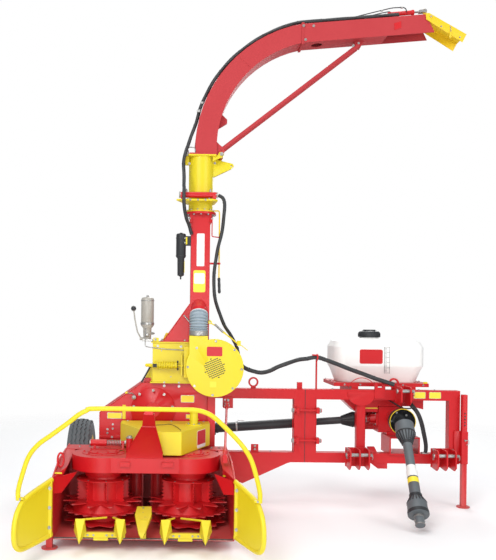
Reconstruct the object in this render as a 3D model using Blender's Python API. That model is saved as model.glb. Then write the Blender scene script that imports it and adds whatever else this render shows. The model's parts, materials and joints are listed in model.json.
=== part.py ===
"""Side-mounted forage harvester with a two-rotor header, chopper, folding spout and hitch frame.

X runs to the right across the machine, Y to its rear and Z up. Drawing coordinates have Y = 0 at
the front edges of the header's side plates; the empty "ground_centre" shifts the whole machine so
that the middle of its outline on the ground is the origin.
"""

import math

import bmesh
import bpy
from mathutils import Matrix, Vector

for old in list(bpy.data.objects):
    bpy.data.objects.remove(old, do_unlink=True)

# Driving dimensions, in metres

SEAT = 0.0003  # gap left where two pieces touch
SHEET = 0.006  # sheet metal of housings and panels
PLATE = 0.012  # lugs and ears

# Header
WORKING_WIDTH = 1.25
HEADER_X = -0.168
HEADER_DEPTH = 0.90
FLOOR_LOW = 0.070
SIDE_FRONT_TOP = 0.50
SIDE_REAR_TOP = 0.60
THROAT_WIDTH = 0.38
THROAT_TOP = 0.46
LEFT_WALL = HEADER_X - WORKING_WIDTH / 2
RIGHT_WALL = HEADER_X + WORKING_WIDTH / 2

# Gathering rotors
ROTOR_SPACING = 0.635
ROTOR_Y = 0.50
ROTOR_RADIUS = 0.300
ROTOR_TOP = 0.435
LEFT_ROTOR_X = HEADER_X - ROTOR_SPACING / 2
RIGHT_ROTOR_X = HEADER_X + ROTOR_SPACING / 2

# Gearcase beam over the rotors
CASE_LOW = 0.490
CASE_TOP = 0.600
CASE_FRONT = 0.262
CASE_BACK = 0.700
CASE_LID = 0.012

# Feed rollers in the throat
ROLLER_SPACING = 0.170
ROLLER_RADIUS = 0.055
ROLLER_Y = HEADER_DEPTH

# Front guards
HOOP_X = -0.186
HOOP_Y = -0.32
TUBE_RADIUS = 0.0175
DIVIDER_START = 0.012  # from the side plate's inner face
DIVIDER_TIP_Y = -0.415
LEFT_REACH = 0.168
RIGHT_REACH = 0.142

# Chopper
HOUSING_FRONT = HEADER_DEPTH + 0.050
HOUSING_BACK = HOUSING_FRONT + 0.350
HOUSING_LEFT = -0.560
HOUSING_RIGHT = 0.370
HOUSING_TOP = 1.090
CHOPPER_X = -0.100
CHOPPER_Z = 0.760
CHOPPER_RADIUS = 0.270

# Crop duct: processor box, mast, turret
BOX_LEFT = -0.137
BOX_RIGHT = 0.164
BOX_FRONT = HOUSING_FRONT - 0.030
BOX_BACK = BOX_FRONT + 0.210
BOX_TOP = 1.424
MAST_X = 0.239
MAST_Y = BOX_FRONT + 0.080
MAST_WIDTH = 0.154
MAST_FOOT_TOP = 1.735
MAST_TOP = 2.470
TURRET_RADIUS = 0.099
RING_TOP = 2.600
TURRET_LOW = RING_TOP + SEAT
TURRET_TOP = 2.936

# Boom
FOLD_X = 0.401
FOLD_Z = 2.941
BOOM_WIDTH = 0.190
BOOM_JOINT_X = 1.042
OUTER_ARC = (1.229, 2.970, 1.045)  # centre X, centre Z, radius
INNER_ARC = (1.223, 3.000, 0.864)
FAR_TOP_Z = (3.997, 4.086)  # at the bolted joint, at the mouth
FAR_LOW_Z = (3.846, 3.943)
MOUTH_TOP_X = 2.030
MOUTH_LOW_X = 2.100
FLOOR_END_X = 1.722
DEFLECTOR_X = 2.066
DEFLECTOR_Z = 4.062

# Blower
BLOWER_X = 0.356
BLOWER_Z = 1.226
BLOWER_RADIUS = 0.228
BLOWER_FRONT = BOX_FRONT - 0.165
BLOWER_BACK = BOX_FRONT - 0.020
DUCT_RADIUS = 0.072

# Chassis and hitch frame
BEAM_FRONT = HOUSING_BACK + 0.160
BEAM_SIZE = 0.088
BEAM_BACK = BEAM_FRONT + BEAM_SIZE
TOP_BEAM_LOW = 0.920
LOW_BEAM_LOW = 0.366
TOP_BEAM_TOP = TOP_BEAM_LOW + BEAM_SIZE
LOW_BEAM_TOP = LOW_BEAM_LOW + BEAM_SIZE
POST_WIDTH = 0.095
SEAM_X = 1.196
SEAM_GAP = 0.0006
HITCH_FOLD_Y = BEAM_BACK + 0.242
FRAME_END_X = 2.552
LOWER_EARS = (1.560, 1.640, 1.720, 2.310, 2.386, 2.462)  # middles of the six plates
UPPER_EARS = (1.990, 2.070)
EAR_FRONT = BEAM_FRONT - 0.170
LOWER_PIN_Z = 0.460
UPPER_PIN_Z = 1.012
LINK_PIN_RADIUS = 0.0125

# Shaft to the tractor
PTO_PIVOT = Vector((2.000, BEAM_FRONT - 0.198, 0.753))
PTO_END = Vector((1.918, BEAM_FRONT - 0.915, 0.055))
GUARD_BACK = BEAM_FRONT - 0.055
GUARD_RADIUS = 0.112
HITCH_GEARBOX_Y = (BEAM_BACK + 0.032, BEAM_BACK + 0.252)

# Cross shaft behind the frame
CROSS_Y = BEAM_BACK + 0.102
CROSS_LEFT = Vector((0.300, CROSS_Y, 0.623))
CROSS_RIGHT = Vector((1.770, CROSS_Y, 0.733))

# Tank
TANK_LEFT = 1.480
TANK_RIGHT = 2.290
TANK_FRONT = BEAM_BACK + 0.032
TANK_BACK = TANK_FRONT + 0.440
TANK_LOW = 1.062
TANK_TOP = 1.455
CAP_X = 1.835

# Wheel
WHEEL_X = -0.805
WHEEL_Y = BEAM_BACK + 0.292
TYRE_RADIUS = 0.338
TYRE_WIDTH = 0.220
RIM_RADIUS = 0.190

# Parking stands
FOOT_RADIUS = 0.056
LEG_WIDTH = 0.044
STAND_X = FRAME_END_X + 0.020
STAND_Y = BEAM_FRONT - 0.040
STAND_TOP = 0.980
SLEEVE_LOW = 0.380
SLEEVE_TOP = 0.660
SLIDE_GAP = 0.0006
FOOT_X = LEFT_WALL - SHEET - LEG_WIDTH / 2 - 2 * SEAT
FOOT_Y = 0.080
FOOT_LEG_TOP = 0.400

# Outline of the machine on the ground, for its origin
OUTLINE_LEFT = LEFT_WALL - DIVIDER_START - LEFT_REACH - TUBE_RADIUS
OUTLINE_RIGHT = STAND_X + FOOT_RADIUS
OUTLINE_FRONT = DIVIDER_TIP_Y - TUBE_RADIUS
OUTLINE_BACK = WHEEL_Y + TYRE_RADIUS
GROUND_CENTRE = Vector(
    ((OUTLINE_LEFT + OUTLINE_RIGHT) / 2, (OUTLINE_FRONT + OUTLINE_BACK) / 2, 0.0)
)

# Shapes


def outward(points, faces):
    """A closed mesh from points and faces, with its faces turned outwards."""
    sketch = bmesh.new()
    placed = [sketch.verts.new(point) for point in points]
    for face in faces:
        sketch.faces.new([placed[i] for i in face])
    bmesh.ops.recalc_face_normals(sketch, faces=sketch.faces)
    shape = bpy.data.meshes.new("shape")
    sketch.to_mesh(shape)
    sketch.free()
    return shape


def prism(outline, axis, low, high):
    """An outline pushed along an axis; its numbers are the other two axes in X, Y, Z order."""
    order = {"x": (2, 0, 1), "y": (0, 2, 1), "z": (0, 1, 2)}[axis]
    points = []
    for along in (low, high):
        for a, b in outline:
            values = (a, b, along)
            points.append(tuple(values[i] for i in order))
    count = len(outline)
    faces = [tuple(range(count)), tuple(range(count, 2 * count))]
    for i in range(count):
        j = (i + 1) % count
        faces.append((i, j, count + j, count + i))
    return outward(points, faces)


def block(x, y, z):
    """A box from three pairs of low and high values."""
    outline = [(x[0], y[0]), (x[1], y[0]), (x[1], y[1]), (x[0], y[1])]
    return prism(outline, "z", z[0], z[1])


def lofted(rings):
    """A closed body through rings that all have the same number of points."""
    count = len(rings[0])
    points = [point for ring in rings for point in ring]
    faces = [tuple(range(count)), tuple(range(len(points) - count, len(points)))]
    for ring in range(len(rings) - 1):
        base = ring * count
        for i in range(count):
            j = (i + 1) % count
            faces.append((base + i, base + j, base + count + j, base + count + i))
    return outward(points, faces)


def across(direction):
    """Two unit vectors at right angles to a direction and to each other."""
    side = Vector((0, 0, 1)) if abs(direction.z) < 0.9 else Vector((0, 1, 0))
    first = direction.cross(side).normalized()
    return first, direction.cross(first).normalized()


def ring_at(centre, first, second, radius, sides):
    """Points of a circle in the plane of two unit vectors."""
    points = []
    for i in range(sides):
        angle = 2 * math.pi * (i + 0.5) / sides
        points.append(centre + radius * (math.cos(angle) * first + math.sin(angle) * second))
    return points


def rod(start, end, radius, sides=16, end_radius=None):
    """A round bar or a cone between two points."""
    start, end = Vector(start), Vector(end)
    first, second = across((end - start).normalized())
    end_radius = radius if end_radius is None else end_radius
    low = ring_at(start, first, second, radius, sides)
    return lofted([low, ring_at(end, first, second, end_radius, sides)])


def bent_tube(points, radius, sides=10):
    """A round tube along a line of points, mitred where it bends."""
    points = [Vector(point) for point in points]
    steps = [(b - a).normalized() for a, b in zip(points, points[1:])]
    first, second = across(steps[0])
    rings = []
    for i, point in enumerate(points):
        before, after = steps[max(i - 1, 0)], steps[min(i, len(steps) - 1)]
        mitre = (before + after).normalized()
        ring = []
        for corner in ring_at(Vector(), first, second, radius, sides):
            reach = -corner.dot(mitre) / before.dot(mitre)
            ring.append(point + corner + reach * before)
        rings.append(ring)
        turn = before.rotation_difference(after)
        first, second = turn @ first, turn @ second
    return lofted(rings)


def turned(profile, centre, axis, sides):
    """A profile of (radius, distance along the axis) spun about the axis.

    A profile that starts and ends at radius 0 is a solid, any other one is a closed ring.
    """
    direction = {"x": Vector((1, 0, 0)), "y": Vector((0, 1, 0)), "z": Vector((0, 0, 1))}[axis]
    first, second = across(direction)
    centre = Vector(centre)
    points, rings = [], []
    for radius, along in profile:
        at = centre + along * direction
        ring = [at] if radius == 0 else ring_at(at, first, second, radius, sides)
        rings.append(range(len(points), len(points) + len(ring)))
        points += ring
    pairs = list(zip(rings, rings[1:]))
    if profile[0][0] > 0:
        pairs.append((rings[-1], rings[0]))
    faces = []
    for low, high in pairs:
        for i in range(sides):
            j = (i + 1) % sides
            corners = [low[i % len(low)], low[j % len(low)]]
            corners += [high[j % len(high)], high[i % len(high)]]
            faces.append(tuple(dict.fromkeys(corners)))
    return outward(points, faces)


def slab(corners, thickness):
    """A flat plate from its corners in space, thickened evenly about them."""
    corners = [Vector(corner) for corner in corners]
    normal = (corners[1] - corners[0]).cross(corners[2] - corners[0]).normalized()
    shift = normal * thickness / 2
    return lofted([[c - shift for c in corners], [c + shift for c in corners]])


def hull(points):
    """The convex body around some points."""
    sketch = bmesh.new()
    for point in points:
        sketch.verts.new(point)
    found = bmesh.ops.convex_hull(sketch, input=sketch.verts)
    inside = [v for v in found["geom_interior"] if isinstance(v, bmesh.types.BMVert)]
    bmesh.ops.delete(sketch, geom=inside, context="VERTS")
    bmesh.ops.recalc_face_normals(sketch, faces=sketch.faces)
    shape = bpy.data.meshes.new("shape")
    sketch.to_mesh(shape)
    sketch.free()
    return shape


def mirrored(shape, middle):
    """A copy of a shape on the other side of the plane X = middle."""
    copy = shape.copy()
    flip = Matrix.Translation((middle, 0, 0)) @ Matrix.Diagonal((-1, 1, 1, 1))
    copy.transform(flip @ Matrix.Translation((-middle, 0, 0)))
    copy.flip_normals()
    return copy


def moved(shape, offset):
    """A copy of a shape, shifted."""
    copy = shape.copy()
    copy.transform(Matrix.Translation(offset))
    return copy


def rotated(shape, angle, axis, centre):
    """A copy of a shape, turned about an axis through a point."""
    copy = shape.copy()
    there = Matrix.Translation(centre)
    copy.transform(there @ Matrix.Rotation(angle, 4, axis) @ there.inverted())
    return copy


def combined(first, others, operation):
    """One mesh from a shape and others that are joined to it or cut from it."""
    base = bpy.data.objects.new("base", first)
    bpy.context.scene.collection.objects.link(base)
    tools = []
    for shape in others:
        tool = bpy.data.objects.new("tool", shape)
        bpy.context.scene.collection.objects.link(tool)
        step = base.modifiers.new("step", "BOOLEAN")
        step.solver = "EXACT"
        step.operation = operation
        step.object = tool
        tools.append(tool)
    graph = bpy.context.evaluated_depsgraph_get()
    result = bpy.data.meshes.new_from_object(base.evaluated_get(graph))
    for helper in [base, *tools]:
        bpy.data.objects.remove(helper, do_unlink=True)
    result.materials.clear()
    return result


def joined(first, *others):
    """Overlapping shapes as one body."""
    return combined(first, others, "UNION")


def cut(shape, *holes):
    """A shape less the holes."""
    return combined(shape, holes, "DIFFERENCE")


def arc(centre, radius, start, end, steps):
    """Points of a circular arc in a plane, from one angle in degrees to another."""
    points = []
    for i in range(steps + 1):
        angle = math.radians(start + (end - start) * i / steps)
        points.append((centre[0] + radius * math.cos(angle), centre[1] + radius * math.sin(angle)))
    return points


def sleeve(x, y, low, high, gap):
    inner = LEG_WIDTH / 2 + gap
    outer = inner + 0.005
    shell = block((x - outer, x + outer), (y - outer, y + outer), (low, high))
    way = block((x - inner, x + inner), (y - inner, y + inner), (low - 0.01, high + 0.01))
    return cut(shell, way)


# Finishes: colour, roughness, metallic

FINISHES = {
    "red": ((0.60, 0.015, 0.020), 0.35, 0.0),
    "yellow": ((0.90, 0.80, 0.02), 0.35, 0.0),
    "steel": ((0.55, 0.55, 0.55), 0.35, 0.9),
    "tyre": ((0.05, 0.055, 0.06), 0.80, 0.0),
    "black": ((0.02, 0.02, 0.022), 0.50, 0.0),
    "grey": ((0.30, 0.34, 0.38), 0.50, 0.0),
    "taupe": ((0.42, 0.38, 0.33), 0.45, 0.0),
    "white": ((0.85, 0.85, 0.82), 0.40, 0.0),
    "hose": ((0.03, 0.03, 0.035), 0.55, 0.0),
}


def finish_for(name, finish):
    """A piece's own material."""
    colour, roughness, metallic = FINISHES[finish]
    material = bpy.data.materials.new(name + "_finish")
    material.use_nodes = True
    shader = material.node_tree.nodes["Principled BSDF"]
    shader.inputs["Base Color"].default_value = (*colour, 1.0)
    shader.inputs["Roughness"].default_value = roughness
    shader.inputs["Metallic"].default_value = metallic
    return material


# Bodies: an empty on each joint's axis

BODIES = {}
PIVOTS = {}


def body(name, pivot, parent=None):
    """An empty that carries the pieces of one moving body."""
    carrier = bpy.data.objects.new(name + "_axis", None)
    bpy.context.scene.collection.objects.link(carrier)
    pivot = Vector(pivot)
    if parent is None:
        carrier.location = -GROUND_CENTRE
    else:
        carrier.parent = BODIES[parent]
        carrier.location = pivot - PIVOTS[parent]
    BODIES[name], PIVOTS[name] = carrier, pivot


def add(name, data, owner, finish):
    """Puts finished data on a body as a named piece."""
    item = bpy.data.objects.new(name, data)
    bpy.context.scene.collection.objects.link(item)
    item.parent = BODIES[owner]
    data.materials.append(finish_for(name, finish))
    return item


def piece(name, shape, owner, finish):
    """A solid piece, drawn in machine coordinates, on the body that carries it."""
    shape.name = name
    shape.transform(Matrix.Translation(-PIVOTS[owner]))
    shape.shade_smooth()
    shape.set_sharp_from_angle(angle=math.radians(32))
    return add(name, shape, owner, finish)


def smooth_route(points, spacing):
    """Evenly spaced points on a smooth curve through a hose's route."""
    ends = [2 * points[0] - points[1], *points, 2 * points[-1] - points[-2]]
    dense = []
    for p0, p1, p2, p3 in zip(ends, ends[1:], ends[2:], ends[3:]):
        for i in range(24):
            t = i / 24
            dense.append(
                0.5
                * (
                    2 * p1
                    + (p2 - p0) * t
                    + (2 * p0 - 5 * p1 + 4 * p2 - p3) * t**2
                    + (3 * p1 - p0 - 3 * p2 + p3) * t**3
                )
            )
    dense.append(points[-1])
    lengths = [0.0]
    for a, b in zip(dense, dense[1:]):
        lengths.append(lengths[-1] + (b - a).length)
    count = max(2, round(lengths[-1] / spacing))
    route, at = [], 0
    for i in range(count + 1):
        wanted = lengths[-1] * i / count
        while at < len(dense) - 2 and lengths[at + 1] < wanted:
            at += 1
        share = (wanted - lengths[at]) / max(lengths[at + 1] - lengths[at], 1e-9)
        route.append(dense[at].lerp(dense[at + 1], min(share, 1.0)))
    return route


def hose(name, points, diameter, owner):
    """A hose as a curve tube along its route."""
    route = smooth_route([Vector(point) for point in points], 2.2 * diameter)
    curve = bpy.data.curves.new(name, "CURVE")
    curve.dimensions = "3D"
    curve.bevel_depth = diameter / 2
    curve.bevel_resolution = 2
    curve.use_fill_caps = True
    line = curve.splines.new("POLY")
    line.points.add(len(route) - 1)
    for place, point in zip(line.points, route):
        place.co = (*(point - PIVOTS[owner]), 1.0)
    add(name, curve, owner, "hose")


body("harvester", (0, 0, 0))
body("wheel", (WHEEL_X, WHEEL_Y, TYRE_RADIUS), "harvester")
body("left_rotor", (LEFT_ROTOR_X, ROTOR_Y, 0.25), "harvester")
body("right_rotor", (RIGHT_ROTOR_X, ROTOR_Y, 0.25), "harvester")
body("left_roller", (HEADER_X - ROLLER_SPACING / 2, ROLLER_Y, 0.25), "harvester")
body("right_roller", (HEADER_X + ROLLER_SPACING / 2, ROLLER_Y, 0.25), "harvester")
body("foot", (FOOT_X, FOOT_Y, 0), "harvester")
body("turret", (MAST_X, MAST_Y, TURRET_LOW), "harvester")
body("boom", (FOLD_X, MAST_Y, FOLD_Z), "turret")
body("deflector", (DEFLECTOR_X, MAST_Y, DEFLECTOR_Z), "boom")
body("hitch", (SEAM_X, HITCH_FOLD_Y, TOP_BEAM_LOW), "harvester")
body("pto", PTO_PIVOT, "hitch")
body("stand", (STAND_X, STAND_Y, 0), "hitch")
body("cap", (CAP_X, (TANK_FRONT + TANK_BACK) / 2, TANK_TOP), "hitch")

# Header: floor, side plates, rear wall with the feed throat, deck and cheeks

DECK_TOP = 0.590
CHEEK_WIDTH = 0.070
THROAT_LEFT = HEADER_X - THROAT_WIDTH / 2
THROAT_RIGHT = HEADER_X + THROAT_WIDTH / 2


def header_frame():
    outer = (LEFT_WALL - SHEET, RIGHT_WALL + SHEET)
    side_outline = [
        (0.0, 0.105),
        (0.0, SIDE_FRONT_TOP),
        (0.30, 0.575),
        (HEADER_DEPTH, SIDE_REAR_TOP),
        (HEADER_DEPTH, FLOOR_LOW),
        (0.05, FLOOR_LOW),
    ]
    floor = block(outer, (0.05, HEADER_DEPTH), (FLOOR_LOW, FLOOR_LOW + SHEET))
    rear = block(outer, (HEADER_DEPTH - SHEET, HEADER_DEPTH), (FLOOR_LOW, DECK_TOP))
    throat = block(
        (THROAT_LEFT, THROAT_RIGHT),
        (HEADER_DEPTH - 2 * SHEET, HEADER_DEPTH + SHEET),
        (FLOOR_LOW + SHEET, THROAT_TOP),
    )
    deck = block(outer, (CASE_BACK + SEAT, HEADER_DEPTH), (DECK_TOP - SHEET, DECK_TOP))
    lintel = block(
        (THROAT_LEFT - 0.02, THROAT_RIGHT + 0.02),
        (ROLLER_Y - ROLLER_RADIUS - 0.02, HEADER_DEPTH - SHEET / 2),
        (THROAT_TOP, THROAT_TOP + PLATE),
    )
    shapes = [cut(rear, throat), deck, lintel]
    for wall, inward in ((LEFT_WALL, 1), (RIGHT_WALL, -1)):
        span = sorted((wall, wall - inward * SHEET))
        shapes.append(prism(side_outline, "x", *span))
        inner = wall + inward * CHEEK_WIDTH
        start = wall - inward * SHEET / 2
        cheek = [(start, 0.02, 0.500), (start, 0.72, 0.588), (inner, 0.72, 0.588), (inner, 0.20, 0.545)]
        cheek += [(start, 0.06, 0.370), (start, 0.72, 0.500), (inner, 0.72, 0.575)]
        shapes.append(hull(cheek))
    shapes.append(sleeve(FOOT_X, FOOT_Y, 0.105, 0.300, SLIDE_GAP))
    return joined(floor, *shapes)


piece("header_frame", header_frame(), "harvester", "red")

# Gearcase beam: two lobes joined by a web, lids on top and a collar over each rotor

LOBE = (  # offsets from the rotor's axis in X and Y
    (-0.165, -0.250),
    (0.165, -0.250),
    (0.225, -0.080),
    (0.225, 0.100),
    (0.120, 0.200),
    (-0.120, 0.200),
    (-0.225, 0.100),
    (-0.225, -0.080),
)
COLLAR = ((0.0, ROTOR_TOP + SEAT), (0.138, ROTOR_TOP + SEAT), (0.152, CASE_LOW + 0.01), (0.0, CASE_LOW + 0.01))
LID = ((0.0, CASE_TOP - 0.01), (0.120, CASE_TOP - 0.01), (0.120, CASE_TOP + CASE_LID), (0.0, CASE_TOP + CASE_LID))


def header_gearcase():
    web = block((LEFT_ROTOR_X, RIGHT_ROTOR_X), (CASE_FRONT, CASE_BACK), (CASE_LOW, CASE_TOP))
    shapes = []
    for x in (LEFT_ROTOR_X, RIGHT_ROTOR_X):
        lobe = [(x + a, ROTOR_Y + b) for a, b in LOBE]
        shapes.append(prism(lobe, "z", CASE_LOW, CASE_TOP))
        shapes.append(turned(LID, (x, ROTOR_Y, 0), "z", 24))
        shapes.append(turned(COLLAR, (x, ROTOR_Y, 0), "z", 28))
    shapes.append(rod((-0.290, 0.46, CASE_TOP - 0.01), (-0.290, 0.46, 0.715), 0.026, 12))
    return joined(web, *shapes)


SUPPORT_RINGS = (  # middle X, half width, front Y, back Y, Z
    (-0.171, 0.134, 0.264, 0.304, CASE_TOP - 0.01),
    (-0.171, 0.130, 0.250, 0.302, 0.640),
    (-0.138, 0.046, 0.030, 0.130, 0.862),
    (-0.130, 0.036, -0.292, -0.235, 0.986),
)


def hoop_support():
    rings = []
    for x, half, front, back, z in SUPPORT_RINGS:
        rings.append([(x - half, front, z), (x + half, front, z), (x + half, back, z), (x - half, back, z)])
    return lofted(rings)


piece("header_gearcase", joined(header_gearcase(), hoop_support()), "harvester", "red")

# Gathering rotors: three toothed discs on a drum with serrated fins

DISCS = (  # height, thickness, root radius, tip radius, teeth, how far each tip leans round
    (0.107, 0.006, 0.240, 0.290, 12, 0.55),
    (0.185, 0.005, 0.268, ROTOR_RADIUS, 24, 0.50),
    (0.250, 0.006, 0.205, ROTOR_RADIUS, 12, 0.50),
)
FIN_COUNT = 8
FIN_TEETH = 6
FIN_LOW, FIN_TOP = 0.254, 0.410
FIN_ROOT, FIN_TIP = 0.182, 0.200
RIM_Z = 0.410


def toothed_disc(centre, low, thickness, root, tip, teeth, lean, hand):
    """A star wheel: each tooth rises from the root circle to a blunt tip."""
    outline = []
    for i in range(teeth):
        for share, radius in ((0.0, root), (lean - 0.06, tip), (lean + 0.06, tip), (0.92, root)):
            angle = hand * 2 * math.pi * (i + share) / teeth
            outline.append((centre[0] + radius * math.cos(angle), centre[1] + radius * math.sin(angle)))
    return prism(outline, "z", low, low + thickness)


def rotor(x, hand):
    drum = (
        (0.0, FLOOR_LOW + SHEET + SEAT),
        (0.060, FLOOR_LOW + SHEET + SEAT),
        (0.060, 0.100),
        (0.150, 0.104),
        (0.150, 0.150),
        (0.232, 0.180),
        (0.232, 0.190),
        (0.194, 0.250),
        (0.125, 0.262),
        (0.125, RIM_Z - 0.002),
        (0.200, RIM_Z),
        (0.200, RIM_Z + 0.005),
        (0.128, RIM_Z + 0.009),
        (0.128, ROTOR_TOP),
        (0.0, ROTOR_TOP),
    )
    shapes = []
    for low, thickness, root, tip, teeth, lean in DISCS:
        shapes.append(toothed_disc((x, ROTOR_Y), low, thickness, root, tip, teeth, lean, hand))
    step = (FIN_TOP - FIN_LOW) / FIN_TEETH
    outline = [(0.10, FIN_LOW)]
    for i in range(FIN_TEETH):
        outline += [(FIN_ROOT, FIN_LOW + i * step), (FIN_TIP, FIN_LOW + (i + 0.5) * step)]
    outline += [(FIN_ROOT, FIN_TOP), (0.10, FIN_TOP)]
    flat = [(x + a, b) for a, b in outline]
    fin = prism(flat, "y", ROTOR_Y - 0.003, ROTOR_Y + 0.003)
    for i in range(FIN_COUNT):
        angle = 2 * math.pi * (i + 0.25) / FIN_COUNT
        shapes.append(rotated(fin, angle, "Z", Vector((x, ROTOR_Y, 0))))
    return joined(turned(drum, (x, ROTOR_Y, 0), "z", 24), *shapes)


piece("rotor_left", rotor(LEFT_ROTOR_X, 1), "left_rotor", "red")
piece("rotor_right", rotor(RIGHT_ROTOR_X, -1), "right_rotor", "red")

# Feed rollers: upright, with ribs, between the floor and the lintel

ROLLER_LOW = FLOOR_LOW + SHEET + SEAT
ROLLER_TOP = THROAT_TOP - SEAT
ROLLER_RIBS = 8


def feed_roller(x):
    core = (
        (0.0, ROLLER_LOW),
        (0.018, ROLLER_LOW),
        (0.018, ROLLER_LOW + 0.015),
        (ROLLER_RADIUS - 0.012, ROLLER_LOW + 0.015),
        (ROLLER_RADIUS - 0.012, ROLLER_TOP - 0.015),
        (0.018, ROLLER_TOP - 0.015),
        (0.018, ROLLER_TOP),
        (0.0, ROLLER_TOP),
    )
    rib = block((x + 0.030, x + ROLLER_RADIUS), (ROLLER_Y - 0.003, ROLLER_Y + 0.003), (ROLLER_LOW + 0.02, ROLLER_TOP - 0.02))
    ribs = []
    for i in range(ROLLER_RIBS):
        angle = 2 * math.pi * i / ROLLER_RIBS
        ribs.append(rotated(rib, angle, "Z", Vector((x, ROLLER_Y, 0))))
    return joined(turned(core, (x, ROLLER_Y, 0), "z", 16), *ribs)


for side, x in (("left", PIVOTS["left_roller"].x), ("right", PIVOTS["right_roller"].x)):
    piece("feed_roller_" + side, feed_roller(x), side + "_roller", "red")

# Crop fingers: two pairs of pointed blades with a guide rod each, on a bar under the floor's edge

FINGER_X = (0.428, 0.154)  # outer and inner finger, from the header's middle
FINGER_BLADE = (  # offset from the finger's middle, Y, Z
    (0.005, -0.140, 0.092),
    (-0.034, -0.030, 0.235),
    (0.030, -0.030, 0.235),
    (-0.046, -0.010, 0.150),
    (0.040, -0.010, 0.140),
    (-0.020, 0.030, 0.112),
    (0.020, 0.030, 0.112),
    (0.0, 0.020, 0.200),
)
BAR_Y = (0.000, 0.030)
BAR_Z = (0.100, 0.132)


def finger_pair(hand):
    shapes = []
    outer, inner = (HEADER_X + hand * offset for offset in FINGER_X)
    for x, lean, rod_end in ((outer, hand, -0.165), (inner, hand, 0.062)):
        blade = [(x - lean * a, y, z) for a, y, z in FINGER_BLADE]
        shapes.append(hull(blade))
        reach = (x + hand * rod_end, 0.145, 0.200)
        shapes.append(rod((x, -0.020, 0.226), reach, 0.007, 8))
    bar = block(sorted((outer + hand * 0.03, inner - hand * 0.03)), BAR_Y, BAR_Z)
    tie_x = (outer + inner) / 2
    tie = block((tie_x - 0.05, tie_x + 0.05), (0.01, 0.12), (FLOOR_LOW + SHEET + SEAT, BAR_Z[0] + 0.004))
    return joined(bar, tie, *shapes)


piece("crop_fingers_left", finger_pair(-1), "harvester", "yellow")
piece("crop_fingers_right", finger_pair(1), "harvester", "yellow")


def centre_nose():
    tongue = lofted(
        [
            [(HEADER_X - 0.050, 0.230, 0.262), (HEADER_X + 0.052, 0.230, 0.262), (HEADER_X + 0.052, 0.245, 0.250), (HEADER_X - 0.050, 0.245, 0.250)],
            [(HEADER_X - 0.062, 0.120, 0.232), (HEADER_X + 0.056, 0.120, 0.232), (HEADER_X + 0.056, 0.135, 0.205), (HEADER_X - 0.062, 0.135, 0.205)],
            [(HEADER_X - 0.030, -0.050, 0.150), (HEADER_X + 0.016, -0.050, 0.150), (HEADER_X + 0.016, -0.020, 0.130), (HEADER_X - 0.030, -0.020, 0.130)],
            [(HEADER_X - 0.014, -0.085, 0.128), (HEADER_X + 0.002, -0.085, 0.128), (HEADER_X + 0.002, -0.075, 0.118), (HEADER_X - 0.014, -0.075, 0.118)],
        ]
    )
    stem = block((HEADER_X - 0.02, HEADER_X + 0.02), (0.055, 0.100), (FLOOR_LOW + SHEET + SEAT, 0.205))
    return joined(tongue, stem)


piece("centre_nose", centre_nose(), "harvester", "yellow")

# Dividers: a bent tube round a sheet panel, bolted to each side plate's front edge

DIVIDER_PATH = (  # outward share, Y, Z
    (0.00, -0.022, 0.490),
    (0.70, -0.265, 0.428),
    (0.90, -0.360, 0.372),
    (0.98, -0.405, 0.300),
    (1.00, DIVIDER_TIP_Y, 0.215),
    (0.96, -0.395, 0.150),
    (0.84, -0.350, 0.116),
    (0.64, -0.255, 0.106),
    (0.00, -0.022, 0.118),
)


def divider(reach):
    start = RIGHT_WALL + DIVIDER_START
    path = [(start + share * reach, y, z) for share, y, z in DIVIDER_PATH]
    panel = slab([(x - 0.004, y + 0.006, z) for x, y, z in path], 0.005)
    strip = block((start - 0.014, start + 0.016), (-0.045, -SEAT), (0.110, 0.492))
    return joined(bent_tube(path, TUBE_RADIUS), panel, strip)


piece("divider_left", mirrored(divider(LEFT_REACH), HEADER_X), "harvester", "yellow")
piece("divider_right", divider(RIGHT_REACH), "harvester", "yellow")

# Crop hoop and the support that carries it over the header

HOOP_HALF = (  # distance from the hoop's middle, Z, from a foot to the top
    (0.780, 0.425),
    (0.780, 0.490),
    (0.755, 0.590),
    (0.716, 0.705),
    (0.655, 0.785),
    (0.568, 0.850),
    (0.458, 0.932),
    (0.395, 0.982),
    (0.345, 1.008),
    (0.280, 1.022),
)


def crop_hoop():
    left = [(HOOP_X - a, HOOP_Y, z) for a, z in HOOP_HALF]
    right = [(HOOP_X + a, HOOP_Y, z) for a, z in reversed(HOOP_HALF)]
    clamps = []
    for hand in (-1, 1):
        x = HOOP_X + hand * HOOP_HALF[0][0]
        span = sorted((x, x - hand * 0.036))
        clamps.append(block(span, (HOOP_Y - 0.015, HOOP_Y + 0.015), (0.430, 0.443)))
    return joined(bent_tube(left + right, TUBE_RADIUS), *clamps)


def hoop_with_saddle():
    saddle = block((-0.170, -0.090), (HOOP_Y - 0.020, -0.232), (0.9863, 1.012))
    return joined(crop_hoop(), saddle)


piece("crop_hoop", hoop_with_saddle(), "harvester", "yellow")

# Drive cover on the gearcase and the filler post on it

COVER_OUTLINE = (
    (-0.380, HOUSING_FRONT - 0.020),
    (-0.380, 0.800),
    (-0.150, 0.312),
    (0.095, 0.312),
    (0.325, 0.800),
    (0.325, HOUSING_FRONT - 0.020),
)
COVER_LOW = CASE_TOP + CASE_LID + SEAT
COVER_TOP = 0.785

POST_PROFILE = ((0.0, 0.700), (0.058, 0.700), (0.058, 0.793), (0.031, 0.793), (0.031, 0.885), (0.0, 0.885))
filler_post = turned(POST_PROFILE, (0.195, 0.700, 0), "z", 20)
drive_cover = prism(COVER_OUTLINE, "z", COVER_LOW, COVER_TOP)
piece("drive_cover", joined(drive_cover, filler_post), "harvester", "yellow")

# Feed tensioner: a red tube and its spring on two lugs behind the left lobe


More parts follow.
